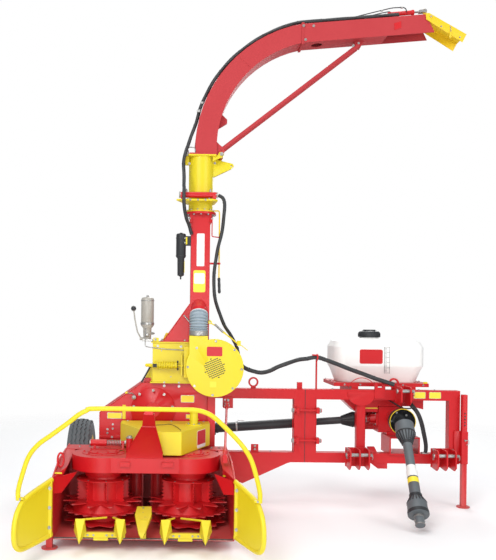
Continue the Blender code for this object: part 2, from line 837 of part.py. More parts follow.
def feed_tensioner():
    y, z = 0.560, 0.662
    tube = rod((-0.590, y, z), (-0.470, y, z), 0.026, 14)
    core = rod((-0.475, y, z), (-0.330, y, z), 0.016, 10)
    lugs = []
    for x in (-0.560, -0.345):
        lugs.append(block((x - 0.008, x + 0.008), (y - 0.02, y + 0.02), (CASE_TOP + CASE_LID + SEAT, z)))
    foot = block((-0.575, -0.330), (y - 0.02, y + 0.02), (CASE_TOP + CASE_LID + SEAT, CASE_TOP + CASE_LID + 0.008))
    return joined(tube, core, foot, *lugs)


piece("feed_tensioner", feed_tensioner(), "harvester", "red")

# Chopper housing: hollow, open to the throat and up into the processor box

HOUSING_OUTLINE = (
    (HOUSING_LEFT, FLOOR_LOW),
    (HOUSING_LEFT, 0.845),
    (-0.215, HOUSING_TOP),
    (HOUSING_RIGHT, HOUSING_TOP),
    (HOUSING_RIGHT, 0.450),
    (0.200, 0.380),
    (0.200, FLOOR_LOW),
)
OUTLET_LEFT = BOX_LEFT + SHEET
OUTLET_RIGHT = BOX_RIGHT - SHEET


def shrunk(outline, inset):
    """A convex or nearly convex outline drawn in by the same distance all round."""
    count = len(outline)
    middle = Vector((sum(p[0] for p in outline) / count, sum(p[1] for p in outline) / count))
    result = []
    for i in range(count):
        before, here, after = (Vector(outline[(i + k) % count]) for k in (-1, 0, 1))
        one, two = (here - before).normalized(), (after - here).normalized()
        inward_one, inward_two = Vector((-one.y, one.x)), Vector((-two.y, two.x))
        if inward_one.dot(middle - here) < 0 and inward_two.dot(middle - here) < 0:
            inward_one, inward_two = -inward_one, -inward_two
        result.append(tuple(here + inset * (inward_one + inward_two) / (1 + inward_one.dot(inward_two))))
    return result


def chopper_housing():
    tunnel_x = (THROAT_LEFT - 0.03, THROAT_RIGHT + 0.03)
    outer = prism(HOUSING_OUTLINE, "y", HOUSING_FRONT, HOUSING_BACK)
    tunnel = block(tunnel_x, (HEADER_DEPTH + SEAT, HOUSING_FRONT + SHEET), (FLOOR_LOW, THROAT_TOP + 0.02))
    inner = prism(shrunk(HOUSING_OUTLINE[::-1], SHEET), "y", HOUSING_FRONT + SHEET, HOUSING_BACK - SHEET)
    way_in = block(
        (tunnel_x[0] + SHEET, tunnel_x[1] - SHEET),
        (HEADER_DEPTH - 0.01, HOUSING_FRONT + 3 * SHEET),
        (FLOOR_LOW + SHEET, THROAT_TOP + 0.02 - SHEET),
    )
    way_out = block((OUTLET_LEFT, OUTLET_RIGHT), (BOX_FRONT + 0.04, BOX_BACK - SHEET), (HOUSING_TOP - 0.03, HOUSING_TOP + 0.01))
    shell = cut(joined(outer, tunnel), inner, way_in, way_out)
    cover = turned(
        ((0.0, 0.0), (0.060, 0.0), (0.060, 0.012), (0.180, 0.018), (0.180, 0.034), (0.0, 0.034)),
        (-0.128, HOUSING_FRONT - 0.030, 0.872),
        "y",
        28,
    )
    belt = block((HOUSING_LEFT, -0.380), (HOUSING_FRONT - 0.012, HOUSING_FRONT + 0.003), (0.640, 0.656))
    column = block((0.312, HOUSING_RIGHT + 0.004), (HOUSING_FRONT - 0.020, HOUSING_FRONT + 0.003), (0.535, 1.030))
    return joined(shell, cover, belt, column)


piece("chopper_housing", chopper_housing(), "harvester", "red")

# Chopper rotor: one heavy wheel on a shaft that reaches both walls


def chopper_rotor():
    profile = (
        (0.0, HOUSING_FRONT + SHEET + SEAT),
        (0.035, HOUSING_FRONT + SHEET + SEAT),
        (0.035, HOUSING_FRONT + 0.050),
        (CHOPPER_RADIUS, HOUSING_FRONT + 0.050),
        (CHOPPER_RADIUS, HOUSING_FRONT + 0.130),
        (0.035, HOUSING_FRONT + 0.130),
        (0.035, HOUSING_BACK - SHEET - SEAT),
        (0.0, HOUSING_BACK - SHEET - SEAT),
    )
    return turned(profile, (CHOPPER_X, 0, CHOPPER_Z), "y", 28)


piece("chopper_rotor", chopper_rotor(), "harvester", "steel")


# Rear gearbox of the chopper, with the stub that takes the cross shaft


def chopper_gearbox():
    plate = turned(
        ((0.0, 0.0), (0.155, 0.0), (0.155, 0.020), (0.110, 0.040), (0.110, 0.100), (0.0, 0.100)),
        (CHOPPER_X, HOUSING_BACK + SEAT, CHOPPER_Z),
        "y",
        24,
    )
    case = block((-0.170, 0.060), (HOUSING_BACK + 0.07, CROSS_Y + 0.085), (0.530, 0.830))
    nose = rod((0.050, CROSS_Y, 0.604), (0.180, CROSS_Y, 0.614), 0.075, 18, 0.052)
    stub = rod((0.170, CROSS_Y, 0.613), CROSS_LEFT - Vector((SEAT, 0, 0)), 0.030, 14)
    return joined(plate, case, nose, stub)


piece("chopper_gearbox", chopper_gearbox(), "harvester", "red")

# Processor box: a duct between the housing and the mast, with flanges and its spring gear in front


def processor_box():
    low = HOUSING_TOP + SEAT
    walls = block((BOX_LEFT, BOX_RIGHT), (BOX_FRONT, BOX_BACK), (low, BOX_TOP))
    foot = block((BOX_LEFT - 0.018, BOX_RIGHT + 0.018), (BOX_FRONT - 0.012, BOX_BACK + 0.012), (low, low + 0.010))
    rim = block((BOX_LEFT - 0.012, BOX_RIGHT + 0.012), (BOX_FRONT - 0.012, BOX_BACK + 0.012), (BOX_TOP - 0.010, BOX_TOP))
    wing = ((-0.210, low), (BOX_LEFT + 0.004, low), (BOX_LEFT + 0.004, 1.235), (-0.152, 1.235))
    wing = prism(wing, "y", BOX_FRONT + 0.070, BOX_FRONT + 0.160)
    way = block((OUTLET_LEFT, OUTLET_RIGHT), (BOX_FRONT + SHEET, BOX_BACK - SHEET), (low - 0.01, BOX_TOP + 0.01))
    return cut(joined(walls, foot, rim, wing), way)


piece("processor_box", processor_box(), "harvester", "yellow")


def processor_spring():
    y, z = BOX_FRONT - 0.040, 1.236
    bolt = rod((-0.195, y, z), (0.110, y, z), 0.008, 8)
    shapes = []
    for x, radius, length in ((-0.170, 0.014, 0.030), (-0.125, 0.024, 0.028), (-0.090, 0.020, 0.125), (0.040, 0.024, 0.020)):
        shapes.append(rod((x, y, z), (x + length, y, z), radius, 12))
    for x in (-0.110, 0.050):
        shapes.append(block((x - 0.006, x + 0.006), (y, BOX_FRONT - SEAT), (z - 0.022, z + 0.022)))
    return joined(bolt, *shapes)


piece("processor_spring", processor_spring(), "harvester", "yellow")

# Mast: a hollow duct on a splayed foot, with the fixed flange of the turning ring on top

MAST_LEFT = MAST_X - MAST_WIDTH / 2
MAST_RIGHT = MAST_X + MAST_WIDTH / 2
MAST_FRONT = MAST_Y - MAST_WIDTH / 2
MAST_BACK = MAST_Y + MAST_WIDTH / 2
RING_RADIUS = 0.128


def mast():
    low = BOX_TOP + SEAT
    outline = ((-0.048, low), (MAST_RIGHT, low), (MAST_RIGHT, MAST_TOP), (MAST_LEFT, MAST_TOP), (MAST_LEFT, MAST_FOOT_TOP))
    shell = prism(outline, "y", MAST_FRONT, MAST_BACK)
    foot = block((-0.075, BOX_RIGHT + 0.012), (BOX_FRONT - 0.006, BOX_BACK + 0.006), (low, low + 0.010))
    top = rod((MAST_X, MAST_Y, MAST_TOP - 0.012), (MAST_X, MAST_Y, MAST_TOP + 0.006), RING_RADIUS, 28)
    caps = []
    for side in (MAST_LEFT, MAST_RIGHT):
        caps.append(block((side - 0.010, side + 0.010), (MAST_FRONT - 0.006, MAST_BACK + 0.006), (MAST_TOP - 0.080, MAST_TOP - 0.006)))
    inside = (
        (-0.048 + 2 * SHEET, low - 0.02),
        (OUTLET_RIGHT, low - 0.02),
        (MAST_RIGHT - SHEET, low + 0.16),
        (MAST_RIGHT - SHEET, MAST_TOP + 0.02),
        (MAST_LEFT + SHEET, MAST_TOP + 0.02),
        (MAST_LEFT + SHEET, MAST_FOOT_TOP - 0.005),
    )
    way = prism(inside, "y", MAST_FRONT + SHEET, MAST_BACK - SHEET)
    return cut(joined(shell, foot, top, *caps), way)


piece("mast", mast(), "harvester", "red")

# Turning ring on the mast: yellow neck, bracket and the transverse turning cylinder in front of it

RING_LOW = MAST_TOP + 0.006 + SEAT
RAM_Y = MAST_Y - 0.150
RAM_Z = 2.600


def turning_ring():
    neck = rod((MAST_X, MAST_Y, RING_LOW), (MAST_X, MAST_Y, RING_TOP), TURRET_RADIUS, 28)
    base = rod((MAST_X, MAST_Y, RING_LOW), (MAST_X, MAST_Y, RING_LOW + 0.014), 0.116, 28)
    shelf_outline = (
        (0.040, RAM_Y - 0.030),
        (0.095, RAM_Y - 0.045),
        (0.340, RAM_Y - 0.045),
        (0.368, RAM_Y - 0.010),
        (0.350, MAST_Y + 0.040),
        (0.130, MAST_Y + 0.040),
    )
    shelf = prism(shelf_outline, "z", 2.548, 2.562)
    way = rod((MAST_X, MAST_Y, RING_LOW - 0.01), (MAST_X, MAST_Y, RING_TOP + 0.01), TURRET_RADIUS - SHEET, 28)
    return cut(joined(neck, base, shelf), way)


def turning_ram():
    barrel = rod((0.070, RAM_Y, RAM_Z), (0.362, RAM_Y, RAM_Z), 0.024, 14)
    shapes = []
    for x in (0.090, 0.340):
        shapes.append(block((x - 0.014, x + 0.014), (RAM_Y - 0.022, RAM_Y + 0.022), (2.562 + SEAT, RAM_Z)))
    return joined(barrel, *shapes)


piece("turning_ring", turning_ring(), "harvester", "yellow")
piece("turning_ram", turning_ram(), "harvester", "red")

# Turret: the yellow tube that turns on the ring, with the ear and the fold hinge's outer lugs

EAR_EYE = (0.484, 2.860)
LUG_SPREAD = 0.078  # from the boom's middle to the middle of each outer hinge lug
LUG_WIDTH = 0.012
HINGE_PIN = 0.010
HINGE_BORE = 0.0106


def turret():
    tube = rod((MAST_X, MAST_Y, TURRET_LOW), (MAST_X, MAST_Y, TURRET_TOP), TURRET_RADIUS, 28)
    rim = rod((MAST_X, MAST_Y, TURRET_LOW), (MAST_X, MAST_Y, TURRET_LOW + 0.016), TURRET_RADIUS + 0.012, 28)
    top = block((MAST_X - 0.106, MAST_X + 0.118), (MAST_Y - 0.106, MAST_Y + 0.106), (TURRET_TOP - 0.012, TURRET_TOP))
    way = rod((MAST_X, MAST_Y, TURRET_LOW - 0.01), (MAST_X, MAST_Y, TURRET_TOP + 0.01), TURRET_RADIUS - SHEET, 28)
    ear_outline = ((0.325, 2.918), (0.325, 2.776), (0.345, 2.770), (EAR_EYE[0], EAR_EYE[1] - 0.022), (EAR_EYE[0] + 0.022, EAR_EYE[1]), (EAR_EYE[0] + 0.010, EAR_EYE[1] + 0.018))
    ear = prism(ear_outline, "y", MAST_Y - 0.022, MAST_Y + 0.022)
    shapes = [rim, top, ear]
    lug_outline = ((0.330, TURRET_TOP - 0.052), (0.330, TURRET_TOP - 0.010), (0.360, TURRET_TOP - 0.010), (0.385, FOLD_Z + 0.018), (0.410, FOLD_Z + 0.018), (0.422, FOLD_Z), (0.410, FOLD_Z - 0.020))
    for side in (-1, 1):
        y = MAST_Y + side * LUG_SPREAD
        shapes.append(prism(lug_outline, "y", y - LUG_WIDTH / 2, y + LUG_WIDTH / 2))
    pin = rod((FOLD_X, MAST_Y - LUG_SPREAD - 0.014, FOLD_Z), (FOLD_X, MAST_Y + LUG_SPREAD + 0.014, FOLD_Z), HINGE_PIN, 14)
    latch = block((MAST_X - 0.130, MAST_X - 0.098), (MAST_Y - 0.050, MAST_Y - 0.010), (TURRET_TOP - 0.075, TURRET_TOP - 0.004))
    eye = rod((EAR_EYE[0], MAST_Y - 0.03, EAR_EYE[1]), (EAR_EYE[0], MAST_Y + 0.03, EAR_EYE[1]), 0.008, 10)
    return cut(joined(tube, *shapes, pin, latch), way, eye)


piece("turret", turret(), "turret", "yellow")

# Boom: a hollow duct, curved as far as the bolted joint and straight to its mouth

STRUT_LOW = (0.4005, 2.984)
STRUT_HIGH = (1.500, 3.846)
STRUT_SPREAD = 0.040
STRUT_RADIUS = 0.018
BOOM_LOW = TURRET_TOP + SEAT
BOOM_FRONT = MAST_Y - BOOM_WIDTH / 2
BOOM_BACK = MAST_Y + BOOM_WIDTH / 2
ARC_STEPS = 14


def height_on(circle, x):
    """Height of the upper half of a circle above a place along X."""
    return circle[1] + math.sqrt(circle[2] ** 2 - (x - circle[0]) ** 2)


def duct_outline(inset):
    """The curved duct in side view, drawn in by an inset on its long sides only."""
    sides = []
    for (x, z, radius), shift in ((OUTER_ARC, -inset), (INNER_ARC, inset)):
        radius += shift
        end = math.degrees(math.acos((BOOM_JOINT_X - x) / radius))
        start = 180 - math.degrees(math.asin((BOOM_LOW + 0.10 - z) / radius))
        sides.append(arc((x, z), radius, start, end, ARC_STEPS))
    outer, inner = sides
    base = BOOM_LOW if inset == 0 else BOOM_LOW - 0.01
    past = [] if inset == 0 else [(outer[-1][0] + 0.01, outer[-1][1]), (inner[-1][0] + 0.01, inner[-1][1])]
    return [(outer[0][0] + 0.008, base), *outer, *past, *inner[::-1], (inner[0][0] + 0.004, base)]


def boom_curve():
    shell = prism(duct_outline(0.0), "y", BOOM_FRONT, BOOM_BACK)
    base = block((MAST_X - 0.100, FOLD_X - 0.046), (MAST_Y - 0.104, MAST_Y + 0.104), (BOOM_LOW, BOOM_LOW + 0.012))
    shapes = [base]
    inner_lug = ((0.345, BOOM_LOW + 0.001), (0.345, 3.060), (0.385, 3.020), (0.418, 2.995), (0.424, 2.975), (0.419, FOLD_Z), (0.408, FOLD_Z - 0.017), (0.392, FOLD_Z - 0.017), (0.381, BOOM_LOW + 0.001))
    inner_spread = LUG_SPREAD - LUG_WIDTH - 0.002
    for side in (-1, 1):
        y = MAST_Y + side * inner_spread
        shapes.append(prism(inner_lug, "y", y - LUG_WIDTH / 2, y + LUG_WIDTH / 2))
    x_tip, z_tip = 0.446, 3.225
    tip = ((0.375, 3.165), (0.385, 3.280), (0.410, 3.272), (x_tip, z_tip + 0.012), (x_tip, z_tip - 0.016))
    shapes.append(prism(tip, "y", MAST_Y - 0.020, MAST_Y + 0.020))
    end_top, end_low = height_on(OUTER_ARC, BOOM_JOINT_X), height_on(INNER_ARC, BOOM_JOINT_X)
    rim = block((BOOM_JOINT_X - 0.010, BOOM_JOINT_X - SEAT), (BOOM_FRONT - 0.006, BOOM_BACK + 0.006), (end_low - 0.012, end_top + 0.008))
    holes = [prism(duct_outline(SHEET), "y", BOOM_FRONT + SHEET, BOOM_BACK - SHEET)]
    bore_y = (MAST_Y - 0.12, MAST_Y + 0.12)
    bore = rod((FOLD_X, bore_y[0], FOLD_Z), (FOLD_X, bore_y[1], FOLD_Z), HINGE_BORE, 14)
    strut_bore = rod((STRUT_LOW[0], bore_y[0], STRUT_LOW[1]), (STRUT_LOW[0], bore_y[1], STRUT_LOW[1]), 0.0086, 12)
    shell = joined(shell, rim, *shapes)
    return cut(shell, *holes, bore, strut_bore)


piece("boom_curve", boom_curve(), "boom", "red")


RAM_FOOT = (1.757, 4.116)
RAM_EYE = (2.048, 4.146)
RAM_RADIUS = 0.018
RAM_ROD = 0.008
RAM_BARREL = 0.200
EYE_RING = 0.0195
EYE_BORE = 0.0145


def boom_far():
    x0 = BOOM_JOINT_X + SEAT
    outline = ((x0, FAR_LOW_Z[0]), (x0, FAR_TOP_Z[0]), (MOUTH_TOP_X, FAR_TOP_Z[1]), (MOUTH_LOW_X, FAR_LOW_Z[1]))
    slope = (FAR_LOW_Z[1] - FAR_LOW_Z[0]) / (MOUTH_LOW_X - x0)
    inner = (
        (x0 - 0.02, FAR_LOW_Z[0] + SHEET - 0.02 * slope),
        (x0 - 0.02, FAR_TOP_Z[0] - SHEET - 0.02 * slope),
        (MOUTH_LOW_X + 0.05, FAR_TOP_Z[1] - SHEET + 0.12 * slope),
        (MOUTH_LOW_X + 0.05, FAR_LOW_Z[1] + SHEET + 0.05 * slope),
    )
    opening = (
        (FLOOR_END_X, FAR_LOW_Z[0] + (FLOOR_END_X - x0) * slope - 0.03),
        (FLOOR_END_X, FAR_LOW_Z[0] + (FLOOR_END_X - x0) * slope + 0.03),
        (MOUTH_LOW_X + 0.05, FAR_LOW_Z[1] + 0.04),
        (MOUTH_LOW_X + 0.05, FAR_LOW_Z[1] - 0.03),
    )
    shell = prism(outline, "y", BOOM_FRONT, BOOM_BACK)
    rim = block((x0, x0 + 0.010), (BOOM_FRONT - 0.006, BOOM_BACK + 0.006), (FAR_LOW_Z[0] - 0.012, FAR_TOP_Z[0] + 0.008))
    ear = ((MOUTH_TOP_X - 0.040, FAR_TOP_Z[1] - 0.060), (MOUTH_TOP_X - 0.030, FAR_TOP_Z[1] - 0.004), (MOUTH_TOP_X, FAR_TOP_Z[1] - 0.002), (DEFLECTOR_X + 0.016, DEFLECTOR_Z + 0.006), (DEFLECTOR_X + 0.012, DEFLECTOR_Z - 0.018))
    shapes = [rim]
    for y in (BOOM_FRONT, BOOM_BACK - SHEET):
        shapes.append(prism(ear, "y", y, y + SHEET))
    lug = ((STRUT_HIGH[0] - 0.028, FAR_LOW_Z[0] + 0.5 * slope + 0.003), (STRUT_HIGH[0] + 0.055, FAR_LOW_Z[0] + 0.54 * slope + 0.003), (STRUT_HIGH[0] + 0.018, STRUT_HIGH[1] - 0.018), (STRUT_HIGH[0] - 0.016, STRUT_HIGH[1] - 0.016))
    shapes.append(prism(lug, "y", MAST_Y - 0.012, MAST_Y + 0.012))
    ram_lug = ((RAM_FOOT[0] - 0.030, FAR_TOP_Z[1] - 0.050), (RAM_FOOT[0] - 0.016, RAM_FOOT[1] + 0.010), (RAM_FOOT[0] + 0.012, RAM_FOOT[1] + 0.012), (RAM_FOOT[0] + 0.030, FAR_TOP_Z[1] - 0.050))
    for side in (-1, 1):
        y = MAST_Y + side * 0.024
        shapes.append(prism(ram_lug, "y", y - 0.004, y + 0.004))
    pin = rod((RAM_FOOT[0], MAST_Y - 0.028, RAM_FOOT[1]), (RAM_FOOT[0], MAST_Y + 0.028, RAM_FOOT[1]), 0.006, 10)
    holes = [
        prism(inner, "y", BOOM_FRONT + SHEET, BOOM_BACK - SHEET),
        prism(opening, "y", BOOM_FRONT + SHEET, BOOM_BACK - SHEET),
        rod((DEFLECTOR_X, MAST_Y - 0.12, DEFLECTOR_Z), (DEFLECTOR_X, MAST_Y + 0.12, DEFLECTOR_Z), HINGE_BORE, 14),
        rod((STRUT_HIGH[0], MAST_Y - 0.05, STRUT_HIGH[1]), (STRUT_HIGH[0], MAST_Y + 0.05, STRUT_HIGH[1]), 0.0086, 12),
        rod((1.170, MAST_Y, 3.80), (1.170, MAST_Y, 3.90), 0.045, 20),
    ]
    return cut(joined(shell, *shapes, pin), *holes)


# Deflector cylinder: foot on the boom, rod to the deflector's lever

piece("boom_far", boom_far(), "boom", "red")
body("ram_barrel", (RAM_FOOT[0], MAST_Y, RAM_FOOT[1]), "boom")
body("ram_rod", (RAM_EYE[0], MAST_Y, RAM_EYE[1]), "ram_barrel")


def along_ram(distance):
    """A point on the cylinder's axis, at a distance from its foot."""
    foot, eye = Vector((RAM_FOOT[0], MAST_Y, RAM_FOOT[1])), Vector((RAM_EYE[0], MAST_Y, RAM_EYE[1]))
    return foot + distance * (eye - foot).normalized()


def ram_barrel():
    tube = rod(along_ram(0.020), along_ram(RAM_BARREL), RAM_RADIUS, 16)
    gland = rod(along_ram(RAM_BARREL - 0.016), along_ram(RAM_BARREL + 0.004), RAM_RADIUS + 0.003, 16)
    foot = rod((RAM_FOOT[0], MAST_Y - 0.017, RAM_FOOT[1]), (RAM_FOOT[0], MAST_Y + 0.017, RAM_FOOT[1]), 0.014, 14)
    neck = rod(along_ram(0.004), along_ram(0.030), 0.010, 12)
    bore = rod((RAM_FOOT[0], MAST_Y - 0.03, RAM_FOOT[1]), (RAM_FOOT[0], MAST_Y + 0.03, RAM_FOOT[1]), 0.0064, 10)
    socket = rod(along_ram(0.120), along_ram(RAM_BARREL + 0.02), RAM_ROD + SEAT, 16)
    return cut(joined(tube, gland, foot, neck), bore, socket)


def ram_rod():
    length = (Vector(RAM_EYE) - Vector(RAM_FOOT)).length
    bar = rod(along_ram(0.165), along_ram(length - 0.036), RAM_ROD, 16)
    cheeks = []
    for side in (-1, 1):
        y = MAST_Y + side * 0.0155
        cheeks.append(rod((RAM_EYE[0], y - 0.004, RAM_EYE[1]), (RAM_EYE[0], y + 0.004, RAM_EYE[1]), 0.015, 14))
        start = along_ram(length - 0.040)
        cheek = prism(((start.x, start.z - 0.010), (start.x, start.z + 0.010), (RAM_EYE[0], RAM_EYE[1] + 0.012), (RAM_EYE[0], RAM_EYE[1] - 0.012)), "y", y - 0.004, y + 0.004)
        cheeks.append(cheek)
    bridge = block((along_ram(length - 0.048).x, along_ram(length - 0.036).x), (MAST_Y - 0.0195, MAST_Y + 0.0195), (RAM_EYE[1] - 0.016, RAM_EYE[1] + 0.006))
    pin = rod((RAM_EYE[0], MAST_Y - 0.022, RAM_EYE[1]), (RAM_EYE[0], MAST_Y + 0.022, RAM_EYE[1]), 0.005, 10)
    return joined(bar, bridge, pin, *cheeks)


piece("deflector_ram_barrel", ram_barrel(), "ram_barrel", "red")
piece("deflector_ram_rod", ram_rod(), "ram_rod", "steel")


def deflector():
    side = ((2.030, 4.040), (2.024, 4.090), (2.052, 4.092), (2.354, 3.924), (2.322, 3.860))
    roof = ((2.098, 4.0665), (2.354, 3.924), (2.3515, 3.919), (2.0955, 4.0615))
    inside, wall = BOOM_WIDTH / 2 + 0.0055, 0.005
    shapes = []
    for hand in (-1, 1):
        span = sorted((MAST_Y + hand * inside, MAST_Y + hand * (inside + wall)))
        shapes.append(prism(side, "y", *span))
    roof = prism(roof, "y", MAST_Y - inside - wall / 2, MAST_Y + inside + wall / 2)
    shaft = rod((DEFLECTOR_X, MAST_Y - inside - 0.012, DEFLECTOR_Z), (DEFLECTOR_X, MAST_Y + inside + 0.012, DEFLECTOR_Z), HINGE_PIN, 14)
    lever_outline = ((DEFLECTOR_X - 0.012, DEFLECTOR_Z), (RAM_EYE[0] - 0.012, RAM_EYE[1] - 0.012), (RAM_EYE[0] + 0.012, RAM_EYE[1] - 0.010), (DEFLECTOR_X + 0.014, DEFLECTOR_Z))
    lever = prism(lever_outline, "y", MAST_Y - 0.005, MAST_Y + 0.005)
    eye = rod((RAM_EYE[0], MAST_Y - 0.005, RAM_EYE[1]), (RAM_EYE[0], MAST_Y + 0.005, RAM_EYE[1]), EYE_RING, 18)
    bore = rod((RAM_EYE[0], MAST_Y - 0.03, RAM_EYE[1]), (RAM_EYE[0], MAST_Y + 0.03, RAM_EYE[1]), EYE_BORE, 18)
    clip = block((2.214, 2.230), (MAST_Y - inside - 0.014, MAST_Y - inside - 0.002), (3.892, 3.940))
    return cut(joined(roof, shaft, lever, eye, clip, *shapes), bore)


piece("deflector", deflector(), "deflector", "yellow")

# Strut under the boom: two tubes between a lug at the base and a lug at the far section


def boom_strut():
    shapes = []
    for side in (-1, 1):
        y = MAST_Y + side * STRUT_SPREAD
        low, high = (STRUT_LOW[0], y, STRUT_LOW[1]), (STRUT_HIGH[0], y, STRUT_HIGH[1])
        shapes.append(rod(low, high, STRUT_RADIUS, 14))
    for (x, z), reach in ((STRUT_LOW, 0.072), (STRUT_HIGH, STRUT_SPREAD)):
        shapes.append(rod((x, MAST_Y - reach, z), (x, MAST_Y + reach, z), 0.0083, 12))
    middle = (Vector(STRUT_LOW) + Vector(STRUT_HIGH)) / 2
    tie = rod((middle.x, MAST_Y - STRUT_SPREAD, middle.y), (middle.x, MAST_Y + STRUT_SPREAD, middle.y), 0.008, 10)
    return joined(*shapes, tie)


piece("boom_strut", boom_strut(), "boom", "red")

# Blower: a flat scroll with an upright outlet, the bellows on it and the elbow into the mast

OUTLET = (0.154, 0.300)
OUTLET_TOP = 1.478


def blower_volute():
    scroll = rod((BLOWER_X, BLOWER_FRONT, BLOWER_Z), (BLOWER_X, BLOWER_BACK, BLOWER_Z), BLOWER_RADIUS, 36)
    outlet = block(OUTLET, (BLOWER_FRONT, BLOWER_BACK), (BLOWER_Z, OUTLET_TOP))
    inlet = rod((BLOWER_X, BLOWER_FRONT - 0.004, BLOWER_Z), (BLOWER_X, BLOWER_FRONT + 0.01, BLOWER_Z), 0.082, 24)
    motor = rod((BLOWER_X + 0.050, BLOWER_BACK - 0.01, BLOWER_Z), (BLOWER_X + 0.050, BLOWER_BACK + 0.150, BLOWER_Z), 0.060, 20)
    seat = block((OUTLET[0] - 0.040, 0.200), (BLOWER_BACK - 0.04, BOX_FRONT - 0.012 - SEAT), (1.140, 1.390))
    return joined(scroll, outlet, inlet, motor, seat)


DUCT_X = 0.228
DUCT_Y = BLOWER_FRONT + 0.069
DUCT_PATH = (  # offsets from the outlet's middle in X and Y, then Z
    (0.0, 0.0, OUTLET_TOP + SEAT),
    (0.0, 0.0, 1.570),
    (0.001, 0.010, 1.615),
    (0.002, 0.032, 1.648),
)


def air_bellows():
    return bent_tube([(DUCT_X + a, DUCT_Y + b, z) for a, b, z in DUCT_PATH], DUCT_RADIUS, 24)


def air_elbow():
    before, last = (Vector((DUCT_X + a, DUCT_Y + b, z)) for a, b, z in DUCT_PATH[-2:])
    step = (last - before).normalized()
    corner = last + 0.030 * step
    bend = bent_tube((last + SEAT * step, corner, corner + Vector((0.0, 0.105, 0.059))), 0.062, 20)
    beyond = block((0.0, 0.5), (MAST_FRONT - SEAT, MAST_BACK + 0.1), (1.5, 2.1))
    return cut(bend, beyond)


piece("blower_volute", blower_volute(), "harvester", "yellow")
piece("air_bellows", air_bellows(), "harvester", "grey")
piece("air_elbow", air_elbow(), "harvester", "red")

# Grease pump: canister, body and foot on the processor box, with its hand lever

PUMP_X = -0.183
PUMP_Y = BOX_FRONT + 0.040


def grease_pump():
    profile = (
        (0.0, 1.436),
        (0.030, 1.436),
        (0.034, 1.500),
        (0.034, 1.530),
        (0.052, 1.552),
        (0.052, 1.765),
        (0.046, 1.778),
        (0.010, 1.786),
        (0.0, 1.786),
    )
    foot = block((PUMP_X - 0.030, BOX_LEFT + 0.010), (PUMP_Y - 0.030, PUMP_Y + 0.030), (BOX_TOP + SEAT, 1.440))
    joint, knob = (PUMP_X - 0.048, PUMP_Y - 0.010, 1.445), (-0.296, PUMP_Y - 0.010, 1.690)
    shaft = bent_tube((joint, (-0.262, PUMP_Y - 0.010, 1.500), (-0.284, PUMP_Y - 0.010, 1.600), knob), 0.006, 8)
    ball = turned(((0.0, -0.022), (0.016, -0.016), (0.022, 0.0), (0.016, 0.016), (0.0, 0.022)), knob, "z", 14)
    hub = rod((PUMP_X - 0.060, PUMP_Y - 0.010, 1.446), (PUMP_X, PUMP_Y - 0.010, 1.446), 0.012, 10)
    return joined(turned(profile, (PUMP_X, PUMP_Y, 0), "z", 24), foot, shaft, ball, hub)


piece("grease_pump", grease_pump(), "harvester", "taupe")

# Filter canister on a bracket at the mast's left side


def filter_canister():
    x, y = 0.082, MAST_FRONT + 0.030
    profile = ((0.0, 1.930), (0.006, 1.930), (0.006, 1.952), (0.027, 1.962), (0.029, 2.100), (0.040, 2.112), (0.040, 2.290), (0.034, 2.300), (0.0, 2.300))
    bracket = block((x + 0.020, MAST_LEFT - SEAT), (y - 0.025, y + 0.025), (2.205, 2.280))
    return joined(turned(profile, (x, y, 0), "z", 20), bracket)


piece("filter_canister", filter_canister(), "harvester", "black")

# Chassis behind the chopper: two beams, the left seam post, the gusset beam and the fold lugs

POST_LEFT = SEAM_X - SEAM_GAP / 2 - POST_WIDTH
LUG_Y = (BEAM_BACK - 0.01, HITCH_FOLD_Y)
FOLD_LUGS = (  # low and high Z of each chassis lug; the hitch's lug lies on top of it
    (TOP_BEAM_LOW + 0.010, TOP_BEAM_LOW + 0.030),
    (LOW_BEAM_LOW + 0.010, LOW_BEAM_LOW + 0.030),
)
FOLD_PIN = 0.014
FOLD_BORE = 0.0165
GUSSET = (
    (0.475, LOW_BEAM_TOP - 0.01),
    (SEAM_X - 0.150, LOW_BEAM_TOP),
    (SEAM_X - 0.100, LOW_BEAM_LOW + 0.01),
    (SEAM_X - 0.158, LOW_BEAM_LOW - 0.008),
    (0.650, 0.178),
    (0.575, 0.212),
)


def fold_lug(hand, low, high):
    """A lug from a post back to the fold axis, rounded about it; hand is -1 on the chassis."""
    x0 = SEAM_X + hand * 0.020
    x1 = SEAM_X + hand * POST_WIDTH
    corners = [(x1, LUG_Y[0]), (x0, LUG_Y[0])]
    if hand < 0:
        turn = arc((SEAM_X, HITCH_FOLD_Y), 0.040, -10, 190, 10)
    else:
        turn = arc((SEAM_X, HITCH_FOLD_Y), 0.040, 190, -10, 10)
    return prism([*corners, *turn], "z", low, high)


def ring_eye(x, y, z, foot_z):
    """A lifting eye: an upright ring on a short foot."""
    ring = turned(((0.030, -0.009), (0.045, -0.009), (0.045, 0.009), (0.030, 0.009)), (x, y, z), "y", 18)
    foot = block((x - 0.022, x + 0.022), (y - 0.009, y + 0.009), (foot_z, z - 0.034))
    return joined(ring, foot)


def clamp_lug(x0, x1, z):
    """A lug for a seam bolt, standing forward of a post."""
    return block((x0, x1), (BEAM_FRONT - 0.054, BEAM_FRONT + 0.004), (z - 0.026, z + 0.026))


CLAMPS = (0.826, 0.563)


